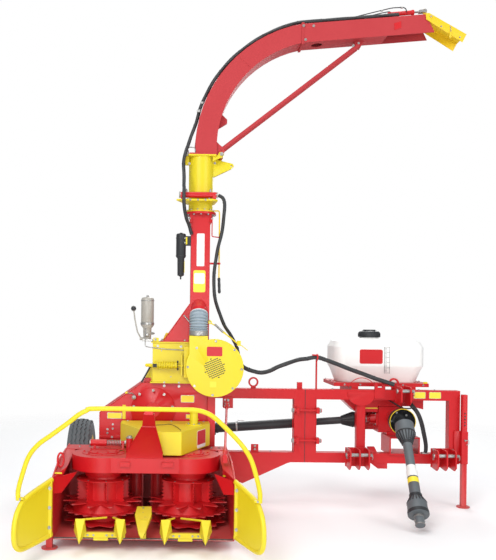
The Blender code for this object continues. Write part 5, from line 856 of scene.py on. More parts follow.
TUBE = 0.0175
DIVIDER_PATH = ((0.00, -0.022, 0.490), (0.70, -0.265, 0.428), (0.90, -0.360, 0.372), (0.98, -0.405, 0.300),
                (1.00, -0.415, 0.215), (0.96, -0.395, 0.150), (0.84, -0.350, 0.116), (0.64, -0.255, 0.106),
                (0.00, -0.022, 0.118))
for side, hand, wall, reach in (("left", -1, LEFT_WALL, 0.168), ("right", 1, RIGHT_WALL, 0.142)):
    path = [(wall + hand * (0.012 + share * reach), y, z) for share, y, z in DIVIDER_PATH]
    inner = [(x - hand * 0.004, y + 0.006, z) for x, y, z in path]
    top, next_to_it, far_from_it = (Vector(inner[i]) for i in (0, 1, 4))
    flat = (next_to_it - top).cross(far_from_it - top).normalized() * 0.0025
    count = len(inner)
    sheet = [Vector(point) + way * flat for way in (-1, 1) for point in inner]
    edges = [(i, (i + 1) % count, count + (i + 1) % count, count + i) for i in range(count)]
    panel = (sheet, [tuple(range(count)), tuple(range(count, 2 * count)), *edges])
    strip = block(sorted((wall - hand * 0.002, wall + hand * 0.028)), (-0.045, -0.0003), (0.110, 0.492))
    ends = [(path[0][0], -0.012, path[0][2]), *path, (path[-1][0], -0.012, path[-1][2])]
    tube = gathered("divider", [([Vector(p) - CENTRE for p in part[0]], part[1]) for part in
                                (sweep([Vector(p) for p in smooth_route(ends, 0.014)], TUBE, 20), panel)], 40)
    dress("divider_guard_" + side, tube, yellow_paint, "divider_" + side, ["divider_" + side])
    made("divider_strip_" + side, [strip], yellow_paint, "divider_" + side, 0.002)
    bolted("divider_bolts_" + side, [
        (wall + hand * 0.013, -0.045, z, "front") for z in (0.444, 0.311, 0.176)
    ], "divider_" + side, 0.0095, 0.008)
    welded("divider_welds_" + side, [
        [(wall + hand * 0.012, -0.046, z) for z in (0.470, 0.488)],
    ], "divider_" + side, 0.004, finish=yellow_paint)

made("header_tag", [
    block((-0.792, -0.742), (0.086, 0.096), (0.516, 0.526)),
], yellow_paint, "header_frame", 0.001)

# Crop hoop
# One long tube that bends the standing crop forward. It is bolted to the dividers at its feet and welded to
# a saddle on the gearcase's support.

HOOP_X, HOOP_Y = -0.186, -0.32
HOOP_HALF = ((0.780, 0.425), (0.780, 0.490), (0.755, 0.590), (0.716, 0.705), (0.655, 0.785), (0.568, 0.850),
             (0.458, 0.932), (0.395, 0.982), (0.345, 1.008), (0.280, 1.022))
HOOP_RIGHT = ((0.780, 0.425), (0.780, 0.490), (0.757, 0.590), (0.722, 0.700), (0.674, 0.780), (0.606, 0.856),
              (0.530, 0.930), (0.468, 0.982), (0.410, 1.010), (0.350, 1.021), (0.280, 1.022))
hoop_line = [(HOOP_X - a, HOOP_Y, z) for a, z in HOOP_HALF]
hoop_line += [(HOOP_X + a, HOOP_Y, z) for a, z in reversed(HOOP_RIGHT)]
hoop_parts = [sweep(smooth_route(hoop_line, 0.012), 0.0155, 20)]
for hand in (-1, 1):
    foot = HOOP_X + hand * 0.780
    hoop_parts.append(block(sorted((foot, foot - hand * 0.036)), (HOOP_Y - 0.015, HOOP_Y + 0.015),
                            (0.430, 0.443)))
made("crop_hoop_tube", hoop_parts, yellow_paint, "crop_hoop", instead_of=["crop_hoop"], sharp=40)
made("hoop_saddle", [
    block((-0.158, -0.102), (HOOP_Y - 0.006, -0.232), (0.9863, 1.0120)),
], red_paint, "crop_hoop", 0.0015)
bolted("hoop_bolts", [
    (-0.146, -0.262, 1.012, "up"), (-0.114, -0.262, 1.012, "up"),
    (HOOP_X - 0.765, HOOP_Y - 0.015, 0.4365, "front", 0.7),
    (HOOP_X + 0.765, HOOP_Y - 0.015, 0.4365, "front", 0.7),
], "crop_hoop", 0.008)

# Parking foot of the header
# A square tube with a round foot slides in a sleeve beside the left side plate; a pin through one of its
# holes holds it.

softened("header_foot", red_paint, 0.0020)
FOOT_X = -0.8216
# Each hole is drawn as a flat dark disc on the tube: painted shade standing for the dark inside of the hole.
bolted("header_foot_hole_shade", [
    (FOOT_X, 0.058, 0.330 + 0.030 * i, "front") for i in range(3)
], "header_foot", 0.0065, 0.0004, 16, 1.02, 0.9, finish=dark_steel_and_hole_shade)
made("header_foot_pin", [
    bar((FOOT_X, 0.040, 0.230), (FOOT_X, 0.112, 0.230), 0.006),
    bent([(FOOT_X, 0.046, 0.230), (FOOT_X, 0.043, 0.196), (-0.8276, 0.043, 0.190), (-0.8336, 0.043, 0.200)],
         0.008, 0.002, 8),
], zinc, "header_frame", sharp=40)

# Feed tensioner
# A red tube guides a compression spring that presses the rollers together; its rod ends in two nuts.

softened("feed_tensioner", red_paint, 0.0010)


def coil_tree():
    """A coil of round wire about the Z axis."""
    graph, given = tree_for("coils", {"Turns": "Float", "Radius": "Float", "Length": "Float",
                                      "Wire": "Float", "Finish": "Material"})
    line = graph.node("GeometryNodeCurveSpiral", None, {
        "Resolution": 18, "Rotations": given["Turns"], "Start Radius": given["Radius"],
        "End Radius": given["Radius"], "Height": given["Length"]})
    wire = graph.node("GeometryNodeCurvePrimitiveCircle", None, {"Resolution": 8, "Radius": given["Wire"]})
    coil = graph.node("GeometryNodeCurveToMesh", None,
                      {"Curve": line, "Profile Curve": wire, "Fill Caps": True})
    closing(graph, coil, given["Finish"])
    return graph.tree


COILS = coil_tree()


def coiled(name, start, end, radius, wire, turns, finish, slot):
    """A coil spring between two places."""
    start, end = Vector(start), Vector(end)
    mesh = worked(COILS, bpy.data.meshes.new(name), {
        "Turns": float(turns), "Radius": radius, "Length": (end - start).length, "Wire": wire,
        "Finish": finish})
    turn = (end - start).to_track_quat("Z", "Y").to_matrix().to_4x4()
    mesh.transform(Matrix.Translation(start - CENTRE) @ turn)
    mesh.shade_smooth()
    dress(name, mesh, finish, slot)


TENSION_AXIS = (0.560, 0.662)
coiled("tensioner_spring", (-0.468, *TENSION_AXIS), (-0.362, *TENSION_AXIS), 0.0195, 0.0032, 9, zinc,
       "feed_tensioner")
made("tensioner_nuts", [
    collar(0, 0.022, 0, 0.012, (-0.334, *TENSION_AXIS), "right", 6),
    collar(0, 0.027, 0, 0.004, (-0.366, *TENSION_AXIS), "right", 20),
    turned(((0, 0), (0.020, 0), (0.024, 0.004), (0.024, 0.010), (0, 0.010)),
           (-0.600, *TENSION_AXIS), "right", 18),
], zinc, "feed_tensioner", 0.0008)

# Drive cover
# A folded yellow hood over the drive, with the gearbox's filler post standing through it. It lifts off
# after its quarter-turn screws; a thin bent steel rod lies on its top.

softened("drive_cover", yellow_paint, 0.0050, 30)
made("cover_rod", [
    sweep(smooth_route([(-0.107, 0.658, 0.787), (-0.040, 0.610, 0.797), (0.010, 0.640, 0.797),
                        (0.060, 0.520, 0.794), (0.090, 0.396, 0.787)], 0.010), 0.0024, 8),
], dark_steel_and_hole_shade, "drive_cover", sharp=50)
bolted("cover_screws", [
    *((x, 0.905, 0.785, "up") for x in (-0.33, 0.02, 0.28)),
], "drive_cover", 0.0075, 0.004, 14, 1.35, 0.5)
POST = (0.195, 0.700)
made("post_rings", [
    collar(0.0, 0.064, -0.006, 0.004, (*POST, 0.790), "up", 32),
    turned(((0.0, 0.0), (0.035, 0.0), (0.035, 0.010), (0.020, 0.016), (0.0, 0.016)),
           (*POST, 0.880), "up", 24),
    collar(0.0, 0.036, 0.0, 0.008, (*POST, 0.826), "up", 24),
], yellow_paint, "drive_cover", 0.001)
bolted("post_bolts", circle((*POST, 0.794), 0.048, range(30, 390, 60), "xy", "up", 0.7), "drive_cover", 0.008)


def label_finish(name, ground, rim):
    """A bare printed plate: one ground colour, faintly yellowed, with a satin film over it."""
    finish = Finish(name, Specular_IOR_Level=0.45)
    tone = finish.noise(11.0, 3.0)
    finish.feed("Base Color", finish.mix(tone, (*ground, 1), (*rim, 1)))
    finish.feed("Roughness", 0.38 + 0.15 * finish.noise(60.0))
    finish.relief(finish.noise(90.0, 2.0), 0.05, 0.001)
    return finish.material


white_film = label_finish("white_film", (0.82, 0.82, 0.80), (0.74, 0.74, 0.70))
yellow_film = label_finish("yellow_film", (0.90, 0.72, 0.04), (0.84, 0.66, 0.05))
red_film = label_finish("red_film", (0.560, 0.012, 0.022), (0.500, 0.010, 0.018))


def blank_plate(name, centre, width, height, ground, slot, rim=zinc, along=(1, 0, 0)):
    """A bare upright plate with rounded corners and a thin raised border."""
    centre, along, up = Vector(centre), Vector(along), Vector((0, 0, 1))
    out = along.cross(up)

    def rounded_outline(half_width, half_height, corner):
        line = []
        for sx, sy, start in ((1, 1, 0), (-1, 1, 90), (-1, -1, 180), (1, -1, 270)):
            for i in range(4):
                angle = math.radians(start + 30 * i)
                line.append((sx * (half_width - corner) + corner * math.cos(angle),
                             sy * (half_height - corner) + corner * math.sin(angle)))
        return line

    def layer(shape, low, high):
        points = [centre + a * along + b * up + c * out for c in (low, high) for a, b in shape]
        count = len(shape)
        sides = [(i, (i + 1) % count, count + (i + 1) % count, count + i) for i in range(count)]
        return points, [tuple(range(count)), tuple(range(count, 2 * count)), *sides]

    corner = min(width, height) * 0.12
    made(name, [layer(rounded_outline(width / 2, height / 2, corner), -0.0004, 0.0008)], rim, slot)
    made(name + "_film", [
        layer(rounded_outline(width / 2 - 0.0035, height / 2 - 0.0035, corner * 0.7), 0.0, 0.0013),
    ], ground, slot)


slope = Vector((0.230, 0.488, 0)).normalized()
facing = Vector((slope.y, -slope.x, 0))
blank_plate("cover_plate", Vector((0.252, 0.6446, 0.690)) + 0.0006 * facing, 0.165, 0.135, red_film,
            "drive_cover", white_film, along=slope)
blank_plate("cover_plate_foot", Vector((0.252, 0.6446, 0.636)) + 0.0014 * facing, 0.155, 0.024,
            white_film, "drive_cover", white_film, along=slope)

# Chopper housing
# A welded steel drum housing with a flat front. Its round inspection cover, knobs and stiffening belt sit on
# the front plate; the column on the right carries the header's pivot.

softened("chopper_housing", red_paint, 0.0016)
softened("chopper_rotor", steel, 0.0010)
softened("chopper_gearbox", red_paint, 0.0020)
FRONT = 0.950
bolted("housing_bolts", [
    (-0.238, 0.9155, 1.000, "front"), (-0.040, 0.9155, 1.000, "front"),
    *circle((-0.128, 0.9155, 0.872), 0.158, (10, 90, 170, 222, 318), "xz", "front"),
    (-0.496, FRONT, 0.709, "front", 0.8), (-0.496, FRONT, 0.678, "front", 0.8),
    (-0.453, FRONT, 0.749, "front", 0.8), (-0.453, FRONT, 0.714, "front", 0.8),
    (0.335, 0.930, 1.018, "front"), (-0.041, FRONT, 1.066, "front"), (0.079, FRONT, 1.064, "front"),
    (-0.458, 0.938, 0.648, "front", 0.8),
    *((-0.560, y, z, "left") for y in (1.00, 1.25) for z in (0.15, 0.45, 0.78)),
    *((0.370, y, z, "right") for y in (1.00, 1.25) for z in (0.55, 0.80, 1.03)),
    *((-0.50, 1.300, z, "back") for z in (0.14, 0.50, 0.80)),
    *((0.30, 1.300, z, "back") for z in (0.60, 0.86, 1.04)),
    (-0.20, 1.300, 1.04, "back"), (0.14, 1.300, 0.14, "back"),
], "chopper_housing")
bolted("gearbox_bolts", [
    *circle((-0.100, 1.3205, 0.760), 0.132, range(18, 378, 36), "xz", "back"),
    *((x, 1.735, z, "back") for x in (-0.150, 0.040) for z in (0.550, 0.810)),
    *((x, y, 0.830, "up") for x in (-0.150, 0.040) for y in (1.40, 1.71)),
], "chopper_gearbox")
made("gearbox_lid", [
    block((-0.155, 0.045), (1.395, 1.715), (0.8295, 0.8360)),
    block((-0.155, 0.045), (1.7345, 1.7410), (0.545, 0.815)),
    *(block((x - 0.004, x + 0.004), (1.400, 1.710), (0.500, 0.5305)) for x in (-0.140, -0.055, 0.030)),
], red_paint, "chopper_gearbox", 0.002)
made("gearbox_breather", [
    turned(((0, 0), (0.014, 0), (0.014, 0.010), (0.010, 0.012), (0.010, 0.028), (0, 0.032)),
           (-0.055, 1.560, 0.8355), "up", 16),
], dark_steel_and_hole_shade, "chopper_gearbox", 0.001)
made("housing_knob", [
    turned(((0, 0), (0.008, 0), (0.008, 0.016), (0.017, 0.018), (0.017, 0.032), (0.012, 0.036), (0, 0.036)),
           (-0.284, 0.9505, 0.972), "front", 20),
    bent([(-0.284, 0.948, 0.990), (-0.300, 0.940, 1.006), (-0.335, 0.940, 1.004)], 0.01, 0.004, 8),
], zinc, "chopper_housing", sharp=40)
made("housing_strips", [
    block((-0.376, -0.350), (0.9445, 0.9503), (0.794, 0.908)),
    block((-0.356, -0.336), (0.9425, 0.9503), (1.000, 1.016)),
], yellow_paint, "chopper_housing", 0.001)
welded("housing_welds", [
    [(-0.560, FRONT, 0.075), (-0.560, FRONT, 0.845), (-0.215, FRONT, 1.090)],
    [(-0.560, 0.947, 0.657), (-0.380, 0.947, 0.657)],
    [(-0.560, 1.300, 0.075), (-0.560, 1.300, 0.845), (-0.215, 1.300, 1.090), (0.368, 1.300, 1.090)],
    [(0.311, 0.949, 0.540), (0.311, 0.949, 1.028)],
], "chopper_housing")
HOUSING_PLATES = ((0.150, 0.963, 0.110, 0.060), (0.165, 0.820, 0.054, 0.036), (-0.440, 0.820, 0.120, 0.050))
for i, (x, z, width, height) in enumerate(HOUSING_PLATES):
    blank_plate("housing_plate_%d" % i, (x, FRONT - 0.0006, z), width, height, yellow_film, "chopper_housing")

# Processor box
# A yellow flanged box of folded sheet that the crop flies up through. Its kernel rollers are pressed together
# by a spring on a long bolt across the front.

softened("processor_box", yellow_paint, 0.0015)
softened("processor_spring", yellow_paint, 0.0008)
bolted("processor_bolts", [
    *((x, 0.920, z, "front") for x, z in ((-0.096, 1.390), (0.092, 1.388))),
    *((x, 0.908, 1.0975, "front", 0.7) for x in (-0.040, 0.078)),
    *((x, 0.920, z, "front", 0.5) for x, z in ((-0.065, 1.352), (0.012, 1.143))),
    *((x, 1.130, z, "back") for x in (-0.110, 0.130) for z in (1.13, 1.25, 1.37)),
    *((x, y, 1.424, "up", 0.9) for x, y in ((-0.130, 0.920), (-0.130, 1.130))),
    *((-0.185, y, 1.101, (-0.9, 0, 0.4), 0.8) for y in (1.01, 1.06)),
], "processor_box", 0.008)
PRESS_AXIS = (0.880, 1.236)
made("processor_nuts", [
    collar(0, 0.0150, 0, 0.022, (-0.189, *PRESS_AXIS), "right", 6),
    collar(0, 0.0240, 0, 0.004, (-0.097, *PRESS_AXIS), "right", 22),
    collar(0, 0.0240, 0, 0.004, (0.034, *PRESS_AXIS), "right", 22),
], yellow_paint, "processor_spring", 0.0008)
coiled("processor_coil", (-0.088, *PRESS_AXIS), (0.030, *PRESS_AXIS), 0.0262, 0.0050, 6, yellow_paint,
       "processor_spring")
made("processor_lock_nuts", [
    *(collar(0, 0.0125, 0, 0.012, (0.060, 0.884, z), "right", 6) for z in (1.2080, 1.2360, 1.2640)),
    block((-0.133, -0.100), (0.8555, 0.8700), (1.2200, 1.2500)),
], dark_steel_and_hole_shade, "processor_spring", 0.0008)
made("processor_levers", [
    block((0.090, 0.104), (0.866, 0.9205), (1.150, 1.330)),
    prism([(-0.063, 1.4235), (-0.033, 1.494), (0.003, 1.494), (-0.041, 1.4235)], "y", 1.076, 1.082),
    block((-0.134, -0.098), (0.868, 0.9205), (1.214, 1.258)),
], yellow_paint, "processor_box", 0.0015)
made("pump_lug", [
    block((-0.133, -0.088), (0.900, 0.930), (1.4245, 1.4560)),
], yellow_paint, "processor_box", 0.0015)
bolted("pump_lug_bolt", [(-0.116, 0.900, 1.443, "front")], "processor_box", 0.008)
made("processor_rod", [
    bent([(-0.152, 0.975, 1.228), (-0.176, 0.960, 1.180), (-0.226, 0.950, 1.092)], 0.02, 0.007, 10),
], dark_steel_and_hole_shade, "processor_box", sharp=40)
made("processor_link", [
    prism([(-0.2105, 1.0905), (-0.150, 1.0905), (-0.150, 1.128), (-0.198, 1.128)], "y", 0.982, 0.991),
], red_paint, "processor_box", 0.0015)

# Mast
# A square welded duct on a splayed foot, which carries the spout. Its flange is bolted to the processor box;
# bare plates, a wire bracket and the spout's locking rod are on its front.

softened("mast", red_paint, 0.0025)
MAST_FRONT = 0.923
welded("mast_welds", [
    [(-0.048, MAST_FRONT, 1.436), (0.162, MAST_FRONT, 1.735)],
    [(-0.048, 1.077, 1.436), (0.162, 1.077, 1.735)],
    [(0.150, 0.916, 2.389), (0.172, 0.916, 2.389)],
    [(0.306, 0.916, 2.389), (0.328, 0.916, 2.389)],
], "mast")
bolted("mast_bolts", [
    *circle((MAST_X, MAST_Y, 2.4580), 0.114, range(0, 360, 30), "xy", "down"),
    *((x, 1.132, 1.434, "up") for x in (-0.062, 0.020, 0.120)),
    *((x, 0.918, 1.434, "up") for x in (-0.062, 0.120)),
    (0.330, 0.916, 2.420, "front", 0.8), (0.148, 0.916, 2.420, "front", 0.8),
], "mast")
blank_plate("mast_plate", (0.240, MAST_FRONT - 0.0006, 2.169), 0.062, 0.264, white_film, "mast", white_film)
blank_plate("mast_chart", (0.233, MAST_FRONT - 0.0006, 1.9155), 0.097, 0.177, yellow_film,
            "mast", yellow_film)
blank_plate("mast_chart_field", (0.233, MAST_FRONT - 0.0012, 1.938), 0.086, 0.086, white_film,
            "mast", white_film)
made("mast_wire_bracket", [
    bent([(0.310, 0.919, 2.436), (0.330, 0.913, 2.430), (0.330, 0.913, 2.276), (0.388, 0.913, 2.270)],
         0.012, 0.0045, 10),
], red_paint, "mast", sharp=40)
amber_paint = paint("yellow_enamel_faded", (0.780, 0.510, 0.012), (0.840, 0.590, 0.022), 0.38, 0.06)
made("locking_rod", [
    bent([(0.350, 0.935, 2.486), (0.388, 0.930, 2.486), (0.390, 0.930, 2.430), (0.391, 0.930, 1.944)],
         0.014, 0.0055, 12),
], amber_paint, "mast", sharp=40)
made("locking_rod_guide", [
    block((0.3155, 0.398), (0.926, 0.934), (2.052, 2.068)),
    collar(0.0, 0.011, -0.007, 0.007, (0.391, 0.930, 2.060), "up", 16),
], red_paint, "mast", 0.001)


def moulded(name, dark, light, rough=0.45, grain=320.0, depth=0.10, sheen=0.4):
    """Moulded plastic or rubber: an even colour with cloudy dulling and a fine grain."""
    finish = Finish(name, Specular_IOR_Level=sheen)
    cloud, dust = finish.noise(7.0, 4.0), finish.noise(45.0, 5.0, 0.6)
    finish.feed("Base Color", finish.mix((0.6 * cloud + 0.4 * dust).clipped(), (*dark, 1), (*light, 1)))
    finish.feed("Roughness", (rough + 0.18 * dust - 0.06).clipped())
    finish.relief(finish.noise(grain, 2.0), depth, 0.0008)
    return finish.material


# This finish is also the strip of painted shadow along the chassis seam.
black_plastic = moulded("black_plastic", (0.012, 0.013, 0.015), (0.038, 0.041, 0.045))
made("locking_grip", [
    turned(((0, 0), (0.010, 0.002), (0.0125, 0.012), (0.0105, 0.030), (0.0120, 0.060), (0.0105, 0.090),
            (0.0125, 0.112), (0.008, 0.126), (0, 0.128)), (0.391, 0.930, 1.946), (0.04, 0, -1), 18),
], black_plastic, "mast", sharp=50)

# Blower
# A pressed yellow scroll with a flat front plate and a perforated air inlet, driven from behind by a
# hydraulic motor. Eight bolts hold its two halves together.

BLOWER_X, BLOWER_Z, BLOWER_FRONT = 0.356, 1.226, 0.755
softened("blower_volute", yellow_paint, 0.0060, 30)
lug_bolts = []
for x, z in ((0.209, 1.387), (0.363, 1.444), (0.513, 1.375), (0.566, 1.220), (0.498, 1.069), (0.341, 1.013),
             (0.194, 1.081), (0.136, 1.233)):
    away = Vector((x - BLOWER_X, 0, z - BLOWER_Z)).normalized()
    spot = Vector((BLOWER_X, 0, BLOWER_Z)) + 0.2120 * away
    lug_bolts.append((spot.x, BLOWER_FRONT, spot.z, "front"))
    lug_bolts.append((spot.x, 0.900, spot.z, "back", 0.9))
bolted("blower_bolts", lug_bolts, "blower_volute", 0.0075, 0.0060)


def perforation_tree():
    """Short slots on a grid inside a circle, as dark marks that lie in the sheet: painted shade for the dark
    inside seen through the holes.
    """
    graph, given = tree_for("perforations", {"Radius": "Float", "Pitch": "Float", "Hole": "Float",
                                             "Finish": "Material"})
    across_all = given["Radius"] * 2.0
    count = graph.node("FunctionNodeFloatToInt", {"rounding_mode": "CEILING"},
                       {0: across_all / given["Pitch"]})
    grid = graph.node("GeometryNodeMeshGrid", None, {"Size X": across_all, "Size Y": across_all,
                                                     "Vertices X": count, "Vertices Y": count})
    place = graph.node("GeometryNodeInputPosition")
    reach = graph.node("ShaderNodeVectorMath", {"operation": "LENGTH"}, {0: place}, 1)
    inside = graph.node("GeometryNodeDeleteGeometry", {"domain": "POINT"},
                        {"Geometry": grid, "Selection": reach > given["Radius"]})
    disc = graph.node("GeometryNodeMeshCylinder", None,
                      {"Vertices": 8, "Radius": given["Hole"], "Depth": 0.0006})
    hole = graph.node("GeometryNodeTransform", None, {"Geometry": disc, "Scale": (1.45, 0.75, 1.0)})
    laid = graph.node("GeometryNodeInstanceOnPoints", None, {"Points": inside, "Instance": hole})
    closing(graph, laid, given["Finish"])
    return graph.tree


PERFORATIONS = perforation_tree()
# The inlet's slots are flat dark discs, not holes: painted shade for the blower's dark inside seen through
# them.
inlet_mesh = worked(PERFORATIONS, bpy.data.meshes.new("blower_inlet_hole_shade"),
                    {"Radius": 0.0780, "Pitch": 0.0150, "Hole": 0.0056, "Finish": dark_steel_and_hole_shade})
upright = Matrix.Rotation(math.radians(90), 4, "X") @ Matrix.Rotation(math.radians(24), 4, "Z")
inlet_mesh.transform(Matrix.Translation(at(BLOWER_X, 0.7508, BLOWER_Z)) @ upright)
dress("blower_inlet_hole_shade", inlet_mesh, dark_steel_and_hole_shade, "blower_volute")
blank_plate("blower_plate", (0.353, BLOWER_FRONT - 0.0004, 1.357), 0.122, 0.074, red_film,
            "blower_volute", red_paint)
blank_plate("blower_note", (0.344, BLOWER_FRONT - 0.0004, 1.098), 0.058, 0.052, yellow_film,
            "blower_volute", yellow_paint)
made("blower_motor", [
    turned(((0, 0), (0.062, 0), (0.062, 0.012), (0.050, 0.016), (0.050, 0.052), (0, 0.052)),
           (0.406, 1.048, 1.226), "back", 28),
    collar(0, 0.012, 0, 0.030, (0.406, 1.075, 1.262), "up", 6),
], dark_steel_and_hole_shade, "blower_volute", 0.001)
made("blower_stay", [
    bar((0.438, 0.830, 1.499), (0.547, 0.830, 1.414), 0.0055),
    collar(0.006, 0.015, -0.005, 0.005, (0.319, 0.830, 1.586), "back", 20),
    bar((0.326, 0.830, 1.578), (0.362, 0.830, 1.560), 0.0045),
    bar((0.419, 0.830, 1.513), (0.442, 0.830, 1.497), 0.0075),
    block((0.536, 0.564), (0.816, 0.844), (1.402, 1.442)),
    bent([(0.550, 0.830, 1.408), (0.572, 0.830, 1.404), (0.619, 0.830, 1.366)], 0.010, 0.0034, 8),
], yellow_paint, "blower_volute", 0.0008)
coiled("stay_spring", (0.355, 0.830, 1.571), (0.425, 0.830, 1.508), 0.0085, 0.0020, 13, zinc, "blower_volute")
made("stay_hook", [
    bent([(0.3155, 0.930, 1.600), (0.3195, 0.838, 1.600), (0.3195, 0.826, 1.588)], 0.01, 0.0045, 10),
], zinc, "mast", sharp=40)

# Bellows and elbow
# Grey-blue ribbed hose between the blower and a welded elbow in the mast, held by a steel band.

BELLOWS_X, BELLOWS_Y = 0.228, 0.824
air_route = smooth_route([(BELLOWS_X, BELLOWS_Y, 1.4783), (BELLOWS_X, BELLOWS_Y, 1.530),
                          (BELLOWS_X, BELLOWS_Y, 1.575), (BELLOWS_X + 0.001, BELLOWS_Y + 0.010, 1.617),
                          (BELLOWS_X + 0.002, BELLOWS_Y + 0.032, 1.648)], 0.0022)
bellows_grey = moulded("bellows_grey", (0.240, 0.305, 0.350), (0.360, 0.425, 0.470), 0.5)
white_rubber = moulded("white_rubber", (0.62, 0.63, 0.62), (0.76, 0.77, 0.76), 0.5)
made("air_bellows_ribs", [
    sweep(air_route, lambda s, a: 0.0745 - 0.0120 * abs(math.cos(math.pi * s / 0.0178)) ** 5, 36),
], bellows_grey, "air_bellows", instead_of=["air_bellows"], sharp=70)
softened("air_elbow", red_paint, 0.0012, 50)
made("bellows_bands", [
    collar(0.0705, 0.0762, 0.0, 0.036, (BELLOWS_X, BELLOWS_Y, 1.481), "up", 40),
    block((BELLOWS_X - 0.010, BELLOWS_X + 0.030), (BELLOWS_Y - 0.087, BELLOWS_Y - 0.070), (1.489, 1.506)),
], zinc, "air_bellows", 0.0008)
cuff = (air_route[-1] - air_route[-3]).normalized()
made("elbow_cuff", [
    collar(0.060, 0.0715, -0.008, 0.006, air_route[-1], cuff, 40),
], white_rubber, "air_elbow", 0.0008)
made("small_air_rod", [
    bar((0.109, 0.865, 1.640), (0.158, 0.865, 1.585), 0.0055),
    bar((0.156, 0.865, 1.588), (0.163, 0.930, 1.588), 0.0045),
], zinc, "mast", sharp=40)

# Grease pump
# A hand pump bolted to the processor box: a taupe canister with a pale ring, a cast body and a bent lever
# with a ball. Its steel line runs down to the bearings.

taupe = moulded("taupe_canister", (0.330, 0.310, 0.270), (0.430, 0.405, 0.360), 0.34, 90.0, 0.05, 0.6)
softened("grease_pump", taupe, 0.0010, 50)
PUMP_X, PUMP_Y = -0.183, 0.960
made("pump_rings", [
    collar(0.050, 0.0555, 0.0, 0.017, (PUMP_X, PUMP_Y, 1.560), "up", 36),
    collar(0.050, 0.0540, 0.0, 0.006, (PUMP_X, PUMP_Y, 1.752), "up", 36),
    turned(((0, 0), (0.010, 0), (0.010, 0.012), (0.005, 0.016), (0, 0.016)),
           (PUMP_X, PUMP_Y, 1.784), "up", 16),
], zinc, "grease_pump", 0.0008)
made("pump_body", [
    block((-0.222, -0.140), (PUMP_Y - 0.034, PUMP_Y + 0.034), (1.4245, 1.446)),
    turned(((0, 0), (0.016, 0), (0.016, 0.024), (0.011, 0.028), (0.011, 0.036), (0, 0.036)),
           (PUMP_X, PUMP_Y - 0.030, 1.478), "front", 6),
    turned(((0, 0), (0.012, 0), (0.012, 0.018), (0.008, 0.022), (0.008, 0.030), (0, 0.030)),
           (PUMP_X + 0.030, PUMP_Y, 1.490), "right", 6),
], zinc, "grease_pump", 0.0012)
made("pump_lever", [
    turned(((0, -0.0222), (0.009, -0.0205), (0.017, -0.0142), (0.0222, 0), (0.017, 0.0142), (0.009, 0.0205),
            (0, 0.0222)), (-0.296, PUMP_Y - 0.010, 1.690), "up", 24),
], black_plastic, "grease_pump", sharp=70)
made("pump_line", [
    bent([(-0.196, 0.925, 1.530), (-0.198, 0.922, 1.384), (-0.153, 0.912, 1.378), (-0.048, 0.9125, 1.366),
          (0.152, 0.9145, 1.356)], 0.018, 0.0038, 8),
], zinc, "processor_box", sharp=40)

# Filter canister
# A black two-step filter on a bracket at the mast's left side, with a drain tip and a yellow mark.

softened("filter_canister", black_plastic, 0.0012, 44)
FILTER_X, FILTER_Y = 0.082, 0.953
made("filter_rings", [
    collar(0.0395, 0.0420, 0.0, 0.006, (FILTER_X, FILTER_Y, z), "up", 30)
    for z in (2.118, 2.262)
] + [collar(0, 0.012, 0, 0.010, (FILTER_X, FILTER_Y, 2.298), "up", 6)],
    dark_steel_and_hole_shade, "filter_canister", 0.0006)
made("filter_marks", [
    block((0.120, 0.132), (FILTER_Y - 0.030, FILTER_Y - 0.0245), (2.212, 2.272)),
    block((FILTER_X + 0.0275, FILTER_X + 0.031), (FILTER_Y - 0.010, FILTER_Y + 0.010), (1.985, 2.080)),
], yellow_paint, "filter_canister", 0.0006)
bolted("filter_bolts", [
    (0.112, FILTER_Y - 0.025, 2.225, "front", 0.8), (0.112, FILTER_Y - 0.025, 2.262, "front", 0.8),
], "filter_canister", 0.007)

# Turning ring and turning ram
# The ring is bolted to the mast's flange; a hydraulic cylinder across its front turns the spout through a
# rack. The cylinder is red, with steel end caps and two ports.

softened("turning_ring", yellow_paint, 0.0015, 46)
softened("turning_ram", red_paint, 0.0010, 50)
bolted("ring_bolts", [
    *circle((MAST_X, MAST_Y, 2.4905), 0.108, range(15, 360, 30), "xy", "up", 0.9),
    *((x, 0.812, 2.562, "up") for x in (0.130, 0.300)),
    *((x, 0.805, 2.555, "front", 0.8) for x in (0.150, 0.210, 0.270)),
], "turning_ring", 0.008)
made("ram_caps", [
    collar(0, 0.0265, 0, 0.018, (0.060, 0.850, 2.600), "right", 6),
    collar(0, 0.0265, 0, 0.018, (0.352, 0.850, 2.600), "right", 6),
    *(turned(((0, 0), (0.009, 0), (0.009, 0.014), (0.006, 0.016), (0.006, 0.026), (0, 0.026)),
             (x, 0.8505, 2.6225), "up", 6) for x in (0.120, 0.310)),
], zinc, "turning_ram", 0.001)

# Turret
# A yellow tube that turns on the ring. It carries the fold hinge, the ear for the folding ram and a sprung
# latch with a pull ring.

softened("turret", yellow_paint, 0.0015, 46)
bolted("turret_bolts", [
    *circle((MAST_X, MAST_Y, 2.6166), 0.104, range(0, 360, 30), "xy", "up", 0.8),
    (0.140, 0.9035, 2.860, "front"), (0.350, 0.978, 2.880, "front"), (0.350, 1.022, 2.880, "back"),
    (0.401, 0.908, 2.941, "front", 1.5), (0.401, 1.092, 2.941, "back", 1.5),
], "turret", 0.008)
made("turret_latch", [
    turned(((0, 0), (0.012, 0), (0.012, 0.050), (0.007, 0.054), (0.007, 0.074), (0, 0.074)),
           (0.125, 0.970, 2.928), "up", 16),
    bent([(0.125, 0.970, 3.000), (0.150, 0.952, 3.004), (0.186, 0.944, 2.996), (0.190, 0.944, 2.936)],
         0.012, 0.004, 10),
], zinc, "turret", sharp=40)
made("turret_tab", [block((0.095, 0.112), (0.935, 0.951), (2.872, 2.942))], amber_paint, "turret", 0.001)
